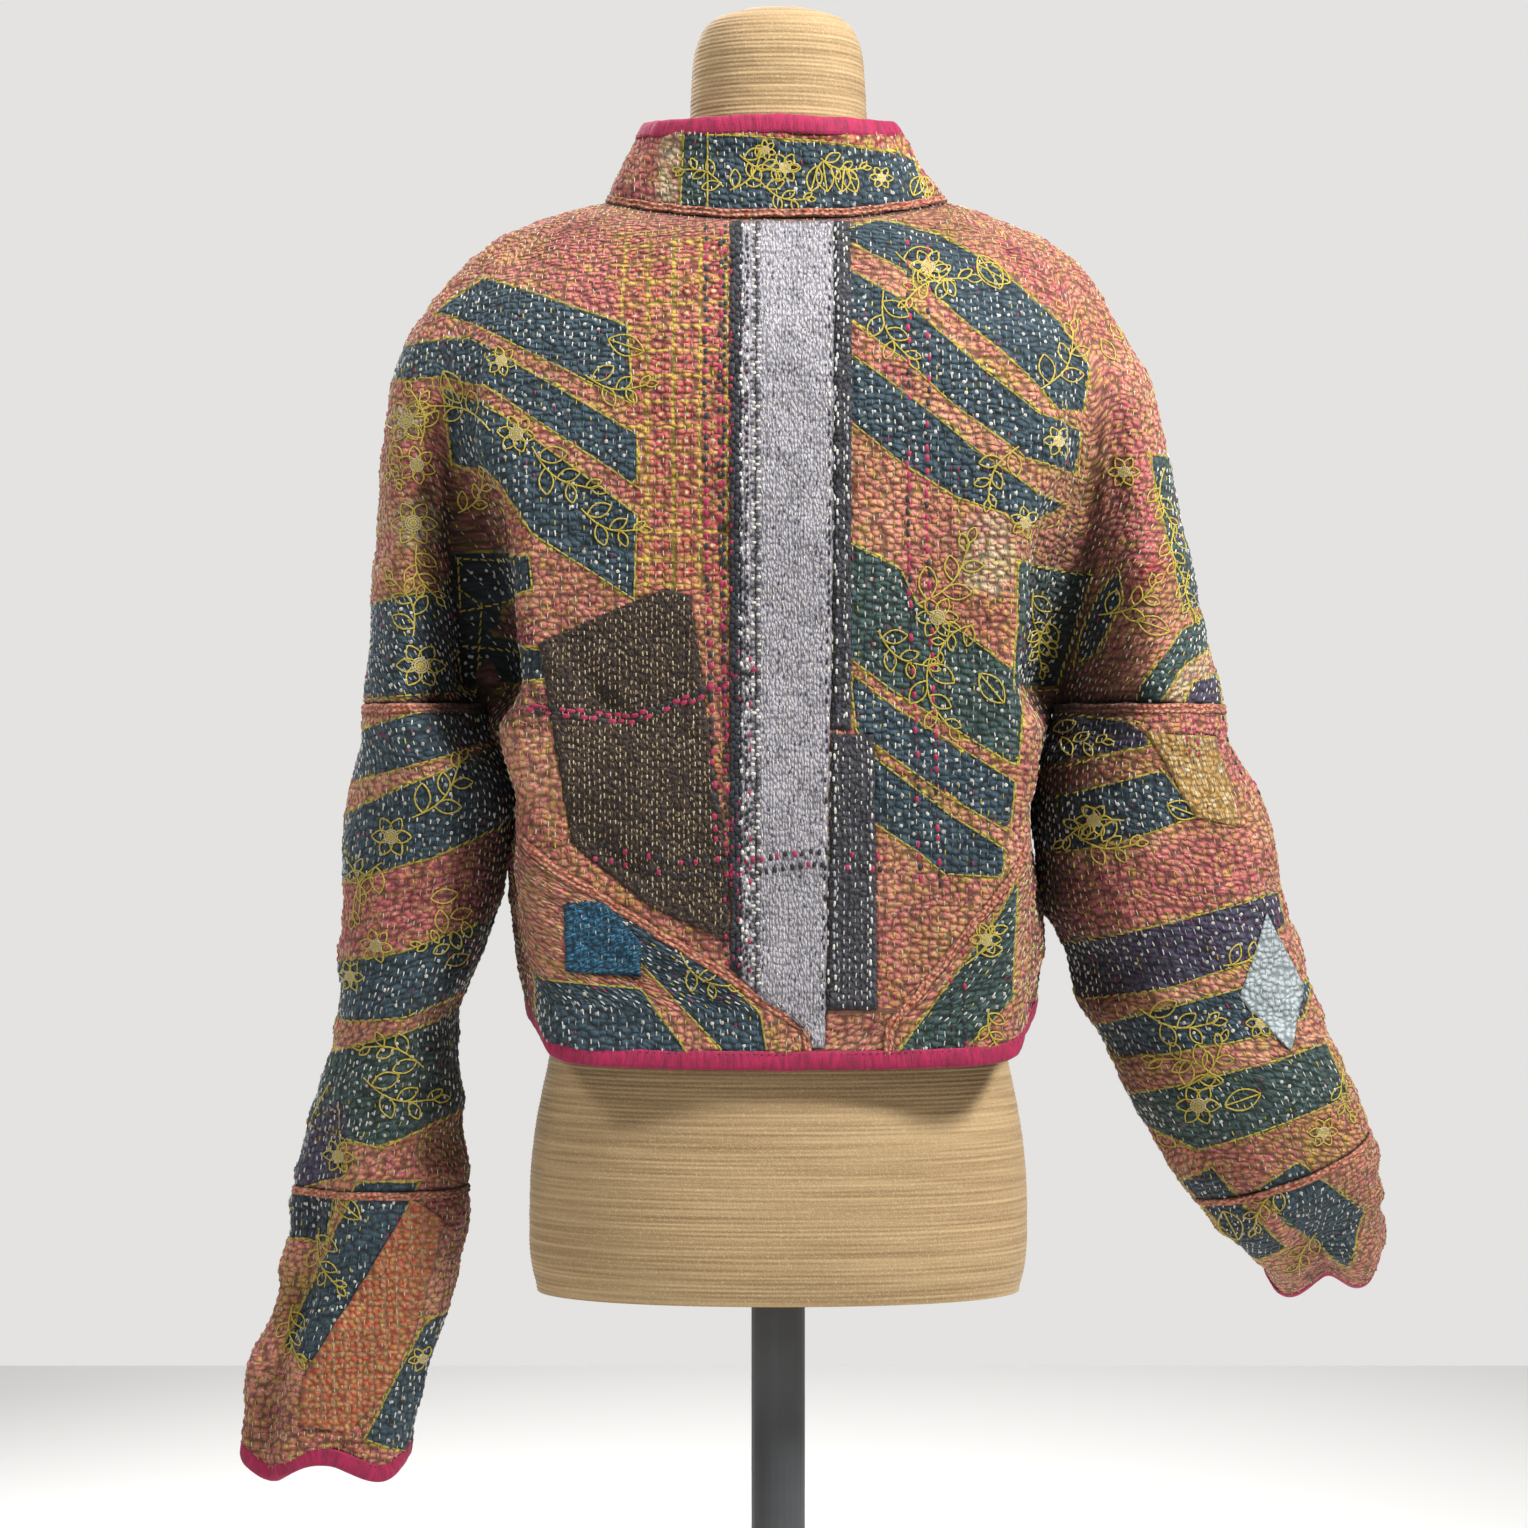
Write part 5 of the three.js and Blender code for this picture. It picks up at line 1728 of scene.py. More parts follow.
@dataclass(frozen=True)
class StudioFloor:
    """Plain pale studio paper."""

    def make(self) -> bpy.types.Material:
        """Builds the material."""
        f = Finish("studio_paper")
        place = f.node("ShaderNodeTexCoord").outputs["Object"]
        return f.finish(opaque(Dye.FLOOR), 0.9, f.noise(place, 400.0, 2.0), 0.1)


# ------------------------------------------------------------------ the jacket's pieces


@dataclass(frozen=True)
class Cut:
    """How a piece of cloth was cut: width and length in metres, and its flat area."""

    width: float
    length: float
    area: float


@dataclass
class Panel:
    """A finished cloth piece: its grid, its print and its object."""

    grid: Grid
    design: Print
    made: bpy.types.Object


@dataclass
class Quilt:
    """The jacket's quilted pieces: back, lower corners, fronts, sleeves and collar.

    Attributes:
        material: the printed quilt.
        panels: every piece, by its CAD node.
    """

    material: bpy.types.Material
    panels: dict[str, Panel] = field(default_factory=dict)

    def build(self) -> None:
        """Makes every piece."""
        self.piece("back", back_grid(), PRINT_BODY)
        for side, word in SIDES.items():
            self.piece("back_corner_" + word, corner_grid(side), PRINT_CORNERS)
            self.piece("front_" + word, front_grid(side), PRINT_BODY, mirror=True)
            sleeve_print = PRINT_LEFT_SLEEVE if side > 0 else PRINT_RIGHT_SLEEVE
            seam = FOREARM[side]
            for part, first, last in (
                ("sleeve_upper_" + word, DROP_TRIM, seam - ROW_TRIM),
                ("sleeve_lower_" + word, seam + ROW_TRIM, SLEEVES[side].last),
            ):
                self.piece(part, sleeve_grid(side, first, last, "cloth_" + part), sleeve_print)
        self.piece("collar", collar_grid(), PRINT_COLLAR)

    def piece(self, node: str, grid: Grid, areas: list[Region], mirror: bool = False) -> None:
        """Makes one piece.

        Args:
            node: the CAD node that it takes the place of.
            grid: its points.
            areas: its printed areas.
            mirror: whether the print is turned over, left to right.
        """
        design = printed(grid, areas, mirror)
        if node == "back" or "front" in node:
            grid = grid.pressed(sunk_by(grid))
        made = cloth_object(grid, design, relief(grid), WALL)
        dress(made, self.material, node)
        self.panels[node] = Panel(grid, design, made)


# ------------------------------------------------------------------ tape and seams


def sweep(
    name: str, line: np.ndarray, down: np.ndarray, normal: np.ndarray,
    profile: np.ndarray, closed: bool,
) -> bpy.types.Object:
    """A closed section carried along a line.

    Args:
        name: the object's name.
        line: (n, 3) the line.
        down: (n, 3) the direction from the line into the cloth.
        normal: (n, 3) the cloth's outward normal.
        profile: (n, m, 2) or (m, 2) the section as (outward, into the cloth).
        closed: whether the line joins its own start.

    Returns:
        The mesh object, with its place along and round as attributes.
    """
    section = np.broadcast_to(profile, (len(line),) + profile.shape[-2:])
    points = (
        line[:, None] + normal[:, None] * section[..., :1] + down[:, None] * section[..., 1:]
    )
    n, m = points.shape[:2]
    number = np.arange(n * m).reshape(n, m)
    ahead = np.roll(number, -1, 0) if closed else number[1:]
    here = number if closed else number[:-1]
    faces = np.stack([here, np.roll(here, -1, 1), np.roll(ahead, -1, 1), ahead], -1).reshape(-1, 4)
    every = [faces]
    if not closed:
        every += [number[:1, ::-1], number[-1:]]
    made = new_object(name, true_height(points.reshape(-1, 3)), every)
    set_values(made.data, "weft", np.repeat(lengths(line), m) * MM)
    set_values(made.data, "warp", np.tile(lengths(section[0]), n) * MM)
    outward(made)
    return made


def outward(made: bpy.types.Object) -> None:
    """Turns a closed mesh the right way out if its volume comes out negative."""
    shape = bmesh.new()
    shape.from_mesh(made.data)
    if shape.calc_volume(signed=True) < 0:
        bmesh.ops.reverse_faces(shape, faces=shape.faces)
    shape.to_mesh(made.data)
    shape.free()


def edge_frame(
    edge: np.ndarray, inside: np.ndarray, middle: np.ndarray
) -> tuple[np.ndarray, np.ndarray]:
    """Directions along a cloth's edge: into the cloth, and outward from a middle point."""
    along = unit(np.gradient(edge, axis=0))
    down = inside - edge
    down = unit(down - along * np.sum(down * along, 1, keepdims=True))
    normal = np.cross(along, down)
    facing = np.sign(np.sum(normal * (edge - middle), 1, keepdims=True))
    return down, normal * np.where(facing == 0, 1, facing)


def even(line: np.ndarray, other: np.ndarray, step: float) -> tuple[np.ndarray, np.ndarray]:
    """Two lines resampled together at even steps along the first."""
    length = lengths(line)
    at = np.linspace(0, length[-1], max(3, round(length[-1] / step) + 1))
    return along_line(at, length, line), along_line(at, length, other)


@dataclass
class Tapes:
    """The folded bias tape on every cut edge.

    Attributes:
        material, thread: the tape's finish and its stitches'.
        depth: how far it reaches over the cloth.
        step: between two sections.
        flat: width of the folded tape in metres; not used.
    """

    material: bpy.types.Material
    thread: bpy.types.Material
    depth: float = 9.5
    step: float = 2.2
    flat: float = 0.025

    def section(self, count: int, seed: int) -> np.ndarray:
        """The folded tape's section at each step, plumper and slacker by turns.

        A strip folded over the edge: its outer line bulges out over the quilt, rounds the edge
        and comes back inside; its inner line lies on the cloth.
        """
        outer = np.array(
            [[0.3, 1.06], [1.1, 0.98], [1.5, 0.75], [1.75, 0.45], [1.6, 0.12], [1.0, -0.1],
             [-0.2, -0.19], [-1.5, -0.21], [-2.9, -0.18], [-3.9, -0.08], [-4.6, 0.14],
             [-4.8, 0.45], [-4.6, 0.75], [-4.1, 0.98], [-3.2, 1.06]]
        )
        inner = np.array([[-3.1, 1.0], [-3.1, 0.03], [0.1, 0.03], [0.1, 1.0]])
        base = np.concatenate([outer, inner]) * [1, self.depth]
        made = np.repeat(base[None], count, 0)
        along = np.arange(count) * self.step
        k = np.arange(len(outer))
        swell = noise(along[:, None] / 6.5 + k * 0.35, k[None] * 0.9 + 0 * along[:, None], seed)
        slack = noise(along / 23, 0 * along, seed + 1)[:, None]
        side = np.where(outer[:, 0] > -1.5, 1.0, -1.0)
        made[:, : len(outer), 0] += side * (0.42 * swell + 0.3 * slack)
        made[:, : len(outer), 1] += 0.3 * noise(along / 9, 0 * along + 4, seed + 2)[:, None]
        return made

    def run(
        self, name: str, node: str, edge: np.ndarray, inside: np.ndarray, middle: np.ndarray,
        closed: bool, seed: int,
    ) -> None:
        """Makes the tape along one edge.

        Args:
            name, node: the object's name and the CAD node that it takes the place of.
            edge: the cloth's edge.
            inside: the line a little way in from it.
            middle: a point on the wearer's side of the cloth.
            closed: whether the edge joins its own start.
            seed: the seed of its unevenness.
        """
        edge, inside = even(edge, inside, self.step)
        if closed:
            edge, inside = edge[:-1], inside[:-1]
        down, normal = edge_frame(edge, inside, middle)
        made = sweep(name, edge, down, normal, self.section(len(edge), seed), closed)
        dress(made, self.material, node)
        places = edge + down * (self.depth - 1.2) + normal * 1.25
        some = slice(1, -1, 2)
        size = stitch_sizes(np.random.default_rng(seed), len(edge[some]), (2.0, 2.8), 0.7, 0.4)
        stitches = Stitches()
        stitches.add(places[some], np.gradient(edge, axis=0)[some], normal[some], size,
                     Dye.WINE.linear)
        sewn = stitches.build(name + "_stitches")
        dress(sewn, self.thread)

    def build(self) -> None:
        """Makes the tape on the collar, hem, cuffs and front edges."""
        q = np.linspace(-FRONT_EDGE, FRONT_EDGE, 320)[None]
        row = np.array([COLLAR.last])
        self.run("tape_collar", "collar_binding", collar(row, q)[0], collar(row - 0.3, q)[0],
                 np.array([0.0, 0.0, 370.0]), False, 31)
        q = np.concatenate([np.linspace(-FRONT_EDGE, -12, 90), np.linspace(-4, 4, 170)[1:],
                            np.linspace(12, FRONT_EDGE, 90)[1:]])[None]
        row = np.array([float(BODY.last)])
        self.run("tape_hem", "hem_binding", body(row, q)[0], body(row - 0.2, q)[0],
                 np.array([0.0, 0.0, -170.0]), False, 32)
        for side, word in SIDES.items():
            angle = np.linspace(0, 360, 160)[None]
            row = np.array([float(SLEEVES[side].last)])
            edge, inside = (sleeve(side, row - up, angle)[0] for up in (0, 0.25))
            self.run("tape_cuff_" + word, "cuff_binding_" + word, edge, inside,
                     edge.mean(0), True, 33 + side)
            edge, inside = (self.front_line(side * q) for q in (FRONT_EDGE, FRONT_EDGE - 0.4))
            self.run("tape_front_" + word, "front_binding_" + word, edge, inside,
                     np.array([0.0, 0.0, 150.0]), False, 40 + side)

    def front_line(self, q: float) -> np.ndarray:
        """The line at place q from just above the hem to just below the collar's top."""
        low = body(np.linspace(BODY.last - 0.16, 0, 60), np.full((60, 1), q))[:, 0]
        high = yoke(np.linspace(0, YOKE.last, 90), np.full((90, 1), q))[1:, 0]
        top = collar(np.linspace(0, COLLAR.last - 0.36, 20), np.full((20, 1), q))[1:, 0]
        return np.concatenate([low, high, top])


@dataclass
class Seams:
    """Raised seams where two pieces of the quilt meet, and the welt under the collar.

    Attributes:
        material: their cotton.
        step: between two sections.
        over: how far a ridge is moved off its own piece, over the gap.
        pieces: the ridges sewn to each piece of the quilt.
    """

    material: bpy.types.Material
    step: float = 2.4
    over: float = 2.0
    pieces: dict[str, list[bpy.types.Object]] = field(default_factory=dict)

    def ridge(
        self, name: str, owner: str, grid: Grid, where, width: float, high: float, seed: int
    ) -> None:
        """A low double welt over a seam, along a line of a grid.

        Args:
            name: the object's name.
            owner: the node of the cloth it is sewn to.
            grid: the cloth that carries it.
            where: the grid's points that it follows.
            width, high: its size over the cloth.
            seed: the seed of its unevenness.
        """
        line, normal = even(grid.points[where], grid.normals[where], self.step)
        along = np.gradient(line, axis=0)
        down = unit(np.cross(along, normal))
        normal = unit(np.cross(down, along))
        into = np.sum(down * (grid.points.mean((0, 1)) - line), 1).mean()
        base = np.array(
            [[-1.6, -0.62], [0.35, -0.55], [0.95, -0.36], [1.0, -0.2], [0.55, -0.04],
             [0.6, 0.06], [1.0, 0.22], [0.95, 0.38], [0.35, 0.55], [-1.6, 0.62]]
        ) * [high, width]
        base[:, 1] -= np.sign(into) * self.over
        section = np.repeat(base[None], len(line), 0)
        at = np.arange(len(line)) * self.step
        k = np.arange(len(base))
        lump = noise(at[:, None] / 6 + k * 0.4, k[None] * 0.7 + 0 * at[:, None], seed)
        section[..., 0] += 0.28 * lump
        section[..., 1] += 0.5 * noise(at / 11, 0 * at, seed + 5)[:, None]
        piece = sweep(name, line, down, normal, section, False)
        dress(piece, self.material)
        self.pieces.setdefault(owner, []).append(piece)

    def build(self, panels: dict[str, Panel]) -> None:
        """Makes the dropped, forearm and slanting seams and the collar's welt."""
        for side, word in SIDES.items():
            for part, high, wide in (("upper", 1.4, 5.6), ("lower", 1.0, 4.6)):
                node = f"sleeve_{part}_{word}"
                self.ridge(f"seam_{part}_{word}", node, panels[node].grid, np.s_[1, 1:-1],
                           wide, high, 50 + side)
            node = "back_corner_" + word
            self.ridge("seam_slant_" + word, node, panels[node].grid, np.s_[1:-1, 1],
                       5.5, 1.4, 60 + side)
        self.ridge("welt_collar", "collar", panels["collar"].grid, np.s_[-2, 1:-1], 5.0, 1.3, 70)


# ------------------------------------------------------------------ patches


@dataclass(frozen=True)
class PatchPlan:
    """A patch of other cotton.

    Attributes:
        node, owner: its CAD node and the cloth it lies on.
        slot: its slot in the record; not used.
        finish: its cotton.
        threads: what it is stitched with.
        outline: its corners as seen from behind, as (x, level).
        lines_apart, pitch: between its lines of stitches and between two stitches.
        flat: its width and length in metres; not used.
    """

    node: str
    owner: str
    slot: str
    finish: PatchCotton
    threads: Threads
    outline: np.ndarray
    lines_apart: float = 3.4
    pitch: float = 5.2
    flat: tuple[float, float] = (0.1, 0.1)


SILVER = PatchCotton("grey_marled_cotton", Dye.SILVER, Dye.CHARCOAL, (0.7, 2.8), 0.3,
                     depth_mm=0.8, pucker_mm=(1.9, 3.4))
DARK_EDGE = PatchCotton("grey_cotton_dark_edge", Dye.SILVER, Dye.CHARCOAL, (0.7, 2.8), 0.3,
                        third=Dye.DEEP, edge_mm=22.6, depth_mm=0.8, pucker_mm=(1.9, 3.4))
SEAM_COTTON = PatchCotton("seam_cotton", Dye.SALMON, Dye.BRICK, (5.0, 1.6), 0.75,
                          pucker_mm=(3.4, 3.0))
CHARCOAL = PatchCotton("charcoal_cotton", Dye.CHARCOAL, Dye.PLUM, (1.4, 2.4), 0.5)
TWEED = PatchCotton("brown_tweed_cotton", Dye.BROWN, Dye.TAN, (0.9, 3.6), 0.12)
TURQUOISE = PatchCotton("turquoise_cotton", Dye.TURQUOISE, Dye.SKY, (7.0, 0.9), 0.6)
OCHRE = PatchCotton("ochre_striped_cotton", Dye.OCHRE, Dye.CREAM, (0.9, 9.0), 0.6)
PALE = PatchCotton("pale_ribbed_cotton", Dye.PALE, Dye.GREY, (0.8, 8.0), 0.6)
RUST_CHECK = PatchCotton("rust_check_cotton", Dye.BRICK, Dye.OCHRE, (4.0, 3.0), 0.7, 8.0, Dye.TAN)

PATCHES = [
    PatchPlan("strip_centre", "back", "patch_silver", SILVER,
              Threads("WHITE GREY CHARCOAL", (0.6, 0.25, 0.15)),
              plan_points("14,338 -34,338 -33,120 -28,-170 14,-170"), 3.2, 4.8,
              (0.049, 0.515)),
    PatchPlan("strip_edge", "back", "patch_plum", DARK_EDGE,
              Threads("MAGENTA WHITE BLACK", (0.06, 0.34, 0.6)),
              plan_points("29,338 14.4,338 14.4,-135 29,-122"), 3.4, 4.6, (0.016, 0.48)),
    PatchPlan("strip_charcoal", "back", "patch_charcoal", CHARCOAL,
              Threads("WHITE BLACK GREY", (0.45, 0.3, 0.25)),
              plan_points("-34.4,338 -44,338 -44,24 -32.4,24 -33.4,120"), 3.6, 5.0, (0.012, 0.322)),
    PatchPlan("patch_charcoal", "back", "patch_charcoal", CHARCOAL,
              Threads("WHITE GREY BLACK", (0.5, 0.3, 0.2)),
              plan_points("-32.6,21 -58,21 -60,-146 -29.2,-146"), 3.6, 5.6, (0.032, 0.168)),
    PatchPlan("patch_brown", "back", "patch_brown", TWEED,
              Threads("TAN CREAM BROWN", (0.45, 0.3, 0.25)),
              plan_points("146,77 70,109 54,106 31,-55 31,-105 78,-84 126,-46"),
              3.2, 5.0, (0.116, 0.215)),
    PatchPlan("patch_turquoise", "back_corner_left", "patch_turquoise", TURQUOISE,
              Threads("SKY PALE TURQUOISE", (0.5, 0.2, 0.3)),
              plan_points("131,-80 108,-79 84,-105 84,-127 130,-125"), 4.0, 6.0,
              (0.052, 0.049)),
    PatchPlan("patch_ochre", "sleeve_upper_right", "patch_ochre", OCHRE,
              Threads("OCHRE CREAM BROWN", (0.4, 0.35, 0.25)),
              plan_points("-226,24 -272,22 -288,-36 -258,-30"), 4.5, 6.5, (0.066, 0.062)),
    PatchPlan("patch_pale", "sleeve_upper_right", "patch_pale", PALE,
              Threads("WHITE PALE GREY", (0.5, 0.3, 0.2)),
              plan_points("-304,-90 -330,-137 -319,-176 -286,-143"), 4.0, 6.0,
              (0.058, 0.088)),
    PatchPlan("patch_checked", "sleeve_lower_left", "patch_rust", RUST_CHECK,
              Threads("CREAM SALMON RUST", (0.5, 0.3, 0.2)),
              plan_points("229,-270 210,-284 229,-355 247,-392 272,-420 302,-414 300,-384"),
              5.0, 7.0, (0.1, 0.155)),
]


def outline_span(outline: np.ndarray, level: np.ndarray) -> tuple[np.ndarray, np.ndarray]:
    """The least and greatest x of an outline at each level."""
    low, high = np.full(level.shape, 1e9), np.full(level.shape, -1e9)
    for (ax, ay), (bx, by) in zip(outline, np.roll(outline, -1, 0)):
        if ay == by:
            continue
        share = (level - ay) / (by - ay)
        on = (share >= 0) & (share <= 1)
        x = ax + share * (bx - ax)
        low = np.where(on, np.minimum(low, x), low)
        high = np.where(on, np.maximum(high, x), high)
    return low, high


@dataclass
class Patches:
    """Pieces of other cotton laid on the quilt, one thin cloth each.

    Attributes:
        cell: size of a cell of their grids.
        lift, wall: how far each stands off the quilt, and how thick it is.
        grids: the patches on each piece of the quilt.
    """

    cell: float = 3.0
    lift: float = 1.3
    wall: float = 1.0
    grids: dict[str, list[Grid]] = field(default_factory=dict)

    def grid(self, plan: PatchPlan, drape: Drape) -> Grid:
        """The patch's points on the cloth under it, row by row down its outline."""
        foot, top = plan.outline[:, 1].min(), plan.outline[:, 1].max()
        rows = np.linspace(top - 0.1, foot + 0.1, max(4, round((top - foot) / self.cell)))
        low, high = outline_span(plan.outline, rows)
        wide = (high - low).max()
        share = np.linspace(0, 1, max(4, round(wide / self.cell)))
        fray = 0.5 * noise(rows / 6, 0 * rows, 77)
        x = mix((low + fray)[:, None], (high + fray)[:, None], share[None])
        level = np.repeat(rows[:, None], len(share), 1)
        points, normals = drape.lay_all(np.stack([x.ravel(), level.ravel()], 1))
        points = points.reshape(x.shape + (3,)) + normals.reshape(x.shape + (3,)) * self.lift
        return Grid("quilt_" + plan.node, points, np.ones(x.shape, bool), x, level)

    def build(self, panels: dict[str, Panel], thread: bpy.types.Material) -> None:
        """Makes every patch and stitches it down."""
        materials = {}
        for number, plan in enumerate(PATCHES):
            grid = self.grid(plan, Drape([panels[plan.owner].grid]))
            self.grids.setdefault(plan.owner, []).append(grid)
            finish = plan.finish
            if finish.name not in materials:
                materials[finish.name] = finish.make()
            height = 0.35 * noise(grid.s / 5, grid.t / 4, 80 + number)
            height -= 0.6 * (from_edge(grid) < 0.5)
            made = cloth_object(grid, None, height, self.wall)
            dress(made, materials[finish.name], plan.node)
            stitches = Stitches()
            stitch_grid(stitches, grid, None, plan.threads, 90 + number, plan.lines_apart,
                        plan.pitch, 3.0)
            sewn = stitches.build("stitches_" + plan.node)
            dress(sewn, thread)


# ------------------------------------------------------------------ hand stitching


CORD_STEP = 1.5  # between two points of an embroidered line
LARGEST_JUMP = 8.0  # a line with a longer step than this has left the cloth and isn't sewn


class Motif(Enum):
    """The embroidered figures."""

    SPRIG = "a curved stem with leaves"
    FLOWER = "six petals round a filled middle"
    LEAF = "one large leaf with a vein"


@dataclass(frozen=True)
class Figure:
    """An embroidered figure: what, where (x, level), how it is turned and how long it is."""

    motif: Motif
    x: float
    level: float
    turn: float
    size: float


def figures_from(text: str) -> list[Figure]:
    """Figures from text: each is its motif, its x and level, its turn and its size."""
    words = text.replace(",", " ").split()
    return [Figure(Motif[words[k]], *map(float, words[k + 1:k + 5]))
            for k in range(0, len(words), 5)]


FIGURES_BODY = figures_from("""
    FLOWER -92,309 0 11  SPRIG -72,318 200 42  LEAF -124,318 240 20  SPRIG -64,292 250 40
    LEAF -143,300 30 18  SPRIG -108,300 335 30  SPRIG -160,232 120 40  FLOWER -171,200 0 9
    SPRIG -146,196 300 34  FLOWER -96,92 0 12  SPRIG -84,100 130 44  SPRIG -92,70 255 42
    SPRIG -60,84 215 34  LEAF -122,58 230 18  SPRIG -120,88 320 28  FLOWER -150,150 20 9
    SPRIG -200,96 150 34  LEAF -222,92 200 16  FLOWER 160,204 10 11  SPRIG 176,206 25 40
    SPRIG 150,196 215 40  LEAF 196,226 60 18  FLOWER 231,216 0 13  FLOWER 224,188 20 11
    SPRIG 240,204 262 24  SPRIG 224,138 250 30  FLOWER 222,64 0 13  SPRIG 226,82 70 34
    SPRIG 210,56 230 36  LEAF 240,70 330 18  FLOWER 226,152 0 13  SPRIG 200,160 130 26
    SPRIG 118,240 190 34  SPRIG 120,158 200 34  LEAF 104,262 200 18  SPRIG -206,250 100 34
    FLOWER -214,184 0 9  SPRIG -240,186 262 30  SPRIG -247,152 262 30  SPRIG -256,124 262 26
    SPRIG -158,112 250 34  SPRIG -172,96 280 30  SPRIG 222,200 80 32  FLOWER 170,250 15 9
""")
FIGURES_CORNERS = figures_from("""
    SPRIG 60,-112 215 32  LEAF 92,-92 40 15  SPRIG -112,-120 120 34  FLOWER -126,-104 0 9
    SPRIG -128,-146 250 26
""")
FIGURES_LEFT_SLEEVE = figures_from("""
    FLOWER 240,-42 0 12  SPRIG 226,-30 130 40  SPRIG 246,-58 300 36  LEAF 262,-20 60 18
    FLOWER 250,-110 10 10  SPRIG 262,-92 75 34  SPRIG 218,-76 210 36  FLOWER 268,-130 0 9
    SPRIG 258,-192 200 40  LEAF 282,-198 300 18  SPRIG 222,-186 20 34  FLOWER 276,-243 0 10
    SPRIG 290,-290 250 34  SPRIG 246,-300 250 38  LEAF 262,-282 40 16  SPRIG 232,-402 250 28
    FLOWER 226,-375 0 8  SPRIG 308,-340 260 30  LEAF 264,12 190 16  SPRIG 190,-120 20 30
""")
FIGURES_RIGHT_SLEEVE = figures_from("""
    FLOWER -196,-32 0 10  SPRIG -184,-40 190 34  SPRIG -214,-32 340 34  LEAF -240,-22 200 16
    SPRIG -226,-150 190 40  FLOWER -262,-210 0 12  SPRIG -250,-200 130 36  SPRIG -276,-196 20 38
    LEAF -300,-202 340 18  SPRIG -240,-228 250 28  FLOWER -300,-158 0 9  SPRIG -318,-262 300 30
    LEAF -282,-280 240 18  SPRIG -344,-296 280 30  SPRIG -170,28 200 30  FLOWER -342,-228 0 9
    SPRIG -276,-122 150 30  SPRIG -356,-190 260 26
""")
FIGURES_COLLAR = figures_from("""
    SPRIG 34,360 25 26  SPRIG 30,358 130 26  SPRIG 10,362 200 26  SPRIG 24,380 195 28
    FLOWER -4,372 0 9  FLOWER 8,383 20 6  LEAF -20,357 104 13  LEAF -30,357 82 15
    LEAF -39,357 96 13  LEAF -48,357 66 13  SPRIG -26,378 190 24  FLOWER -64,368 0 7
    LEAF -84,358 110 12  SPRIG -92,372 230 22  LEAF -94,358 84 12
""")


@dataclass(frozen=True)
class Ladder:
    """Two columns of thick bars worked across a line.

    Attributes:
        line: the (x, level) points that it follows.
        dyes: the names of its colours.
        apart: between its two columns.
        bar: a bar's size across the line.
        pitch: between two bars.
        tall: a bar's size along the line.
    """

    line: np.ndarray
    dyes: str
    apart: float = 8.0
    bar: float = 6.0
    pitch: float = 6.5
    tall: float = 1.9


INK_PINK = "BLACK MAGENTA BLACK BLACK MAGENTA"
LADDERS_BACK = [
    Ladder(plan_points("40,334 40,140 33,-60"), INK_PINK, 9.0, 3.0, 6.6, tall=5.0),
    Ladder(plan_points("31,336 31,100 30,-120"), "BLACK MAGENTA BLACK", 4.0, 2.2, 5.6,
           tall=4.0),
    Ladder(plan_points("26.6,336 26.6,100 26.6,-120"), "DEEP BLACK PLUM", 2.6, 3.0,
           5.0, tall=5.4),
    Ladder(plan_points("21,336 21,100 21,-126"), "BLACK BLACK WHITE", 3.4, 1.9, 4.6,
           tall=3.4),
    Ladder(plan_points("21,70 21,-126"), "MAGENTA BLACK", 7.0, 1.8, 9.0, tall=4.0),
    Ladder(plan_points("14,336 14,-160"), "WHITE CHARCOAL", 3.0, 3.4, 4.5),
    Ladder(plan_points("-39,336 -38,30"), "WHITE GREY BLACK", 6.0, 1.4, 6.0, tall=4.2),
    Ladder(plan_points("-33,336 -32,120 -28,-150"), "BLACK WHITE", 3.0, 1.5, 6.0, tall=4.2),
    Ladder(plan_points("-86,332 -84,150 -90,0 -92,-70"), "MAGENTA BLACK", 12.0,
           2.4, 7.0, tall=5.2),
    Ladder(plan_points("112,-50 60,-61 20,-60 -20,-54 -66,-58"), INK_PINK, 8.0, 4.4, 5.0,
           tall=2.8),
    Ladder(plan_points("152,37 90,30 50,44 14,60"), "MAGENTA BLACK MAGENTA", 3.0,
           2.8, 5.6, tall=5.4),
    Ladder(plan_points("-45,14 -45,-140"), "WHITE GREY", 22.0, 1.5, 6.4, tall=4.4),
]
LADDERS_CORNERS = [
    Ladder(plan_points("-108,-108 -110,-168"), INK_PINK, 8.0, 2.2, 7.0, tall=4.6),
]
LADDERS_SLEEVE = [
    Ladder(plan_points("-276,60 -286,20 -300,-20"), INK_PINK, 9.0, 2.2, 7.0, tall=4.8),
    Ladder(plan_points("-246,60 -258,10"), "MAGENTA RED", 6.0, 2.0, 7.0, tall=4.6),
]


def leaf(foot, way: float, long: float, wide: float) -> np.ndarray:
    """A leaf's outline: two arcs from its foot to its tip.

    Args:
        foot: where it starts.
        way: its direction in radians.
        long, wide: its length and half width.

    Returns:
        Its points.
    """
    u = np.linspace(0, 1, max(6, round(long / CORD_STEP)))
    side = np.sin(math.pi * u) ** 0.8 * wide
    there = np.stack([u * long, side], 1)
    back = np.stack([u * long, -side], 1)[::-1]
    c, s = math.cos(way), math.sin(way)
    return foot + np.concatenate([there, back]) @ np.array([[c, s], [-s, c]])


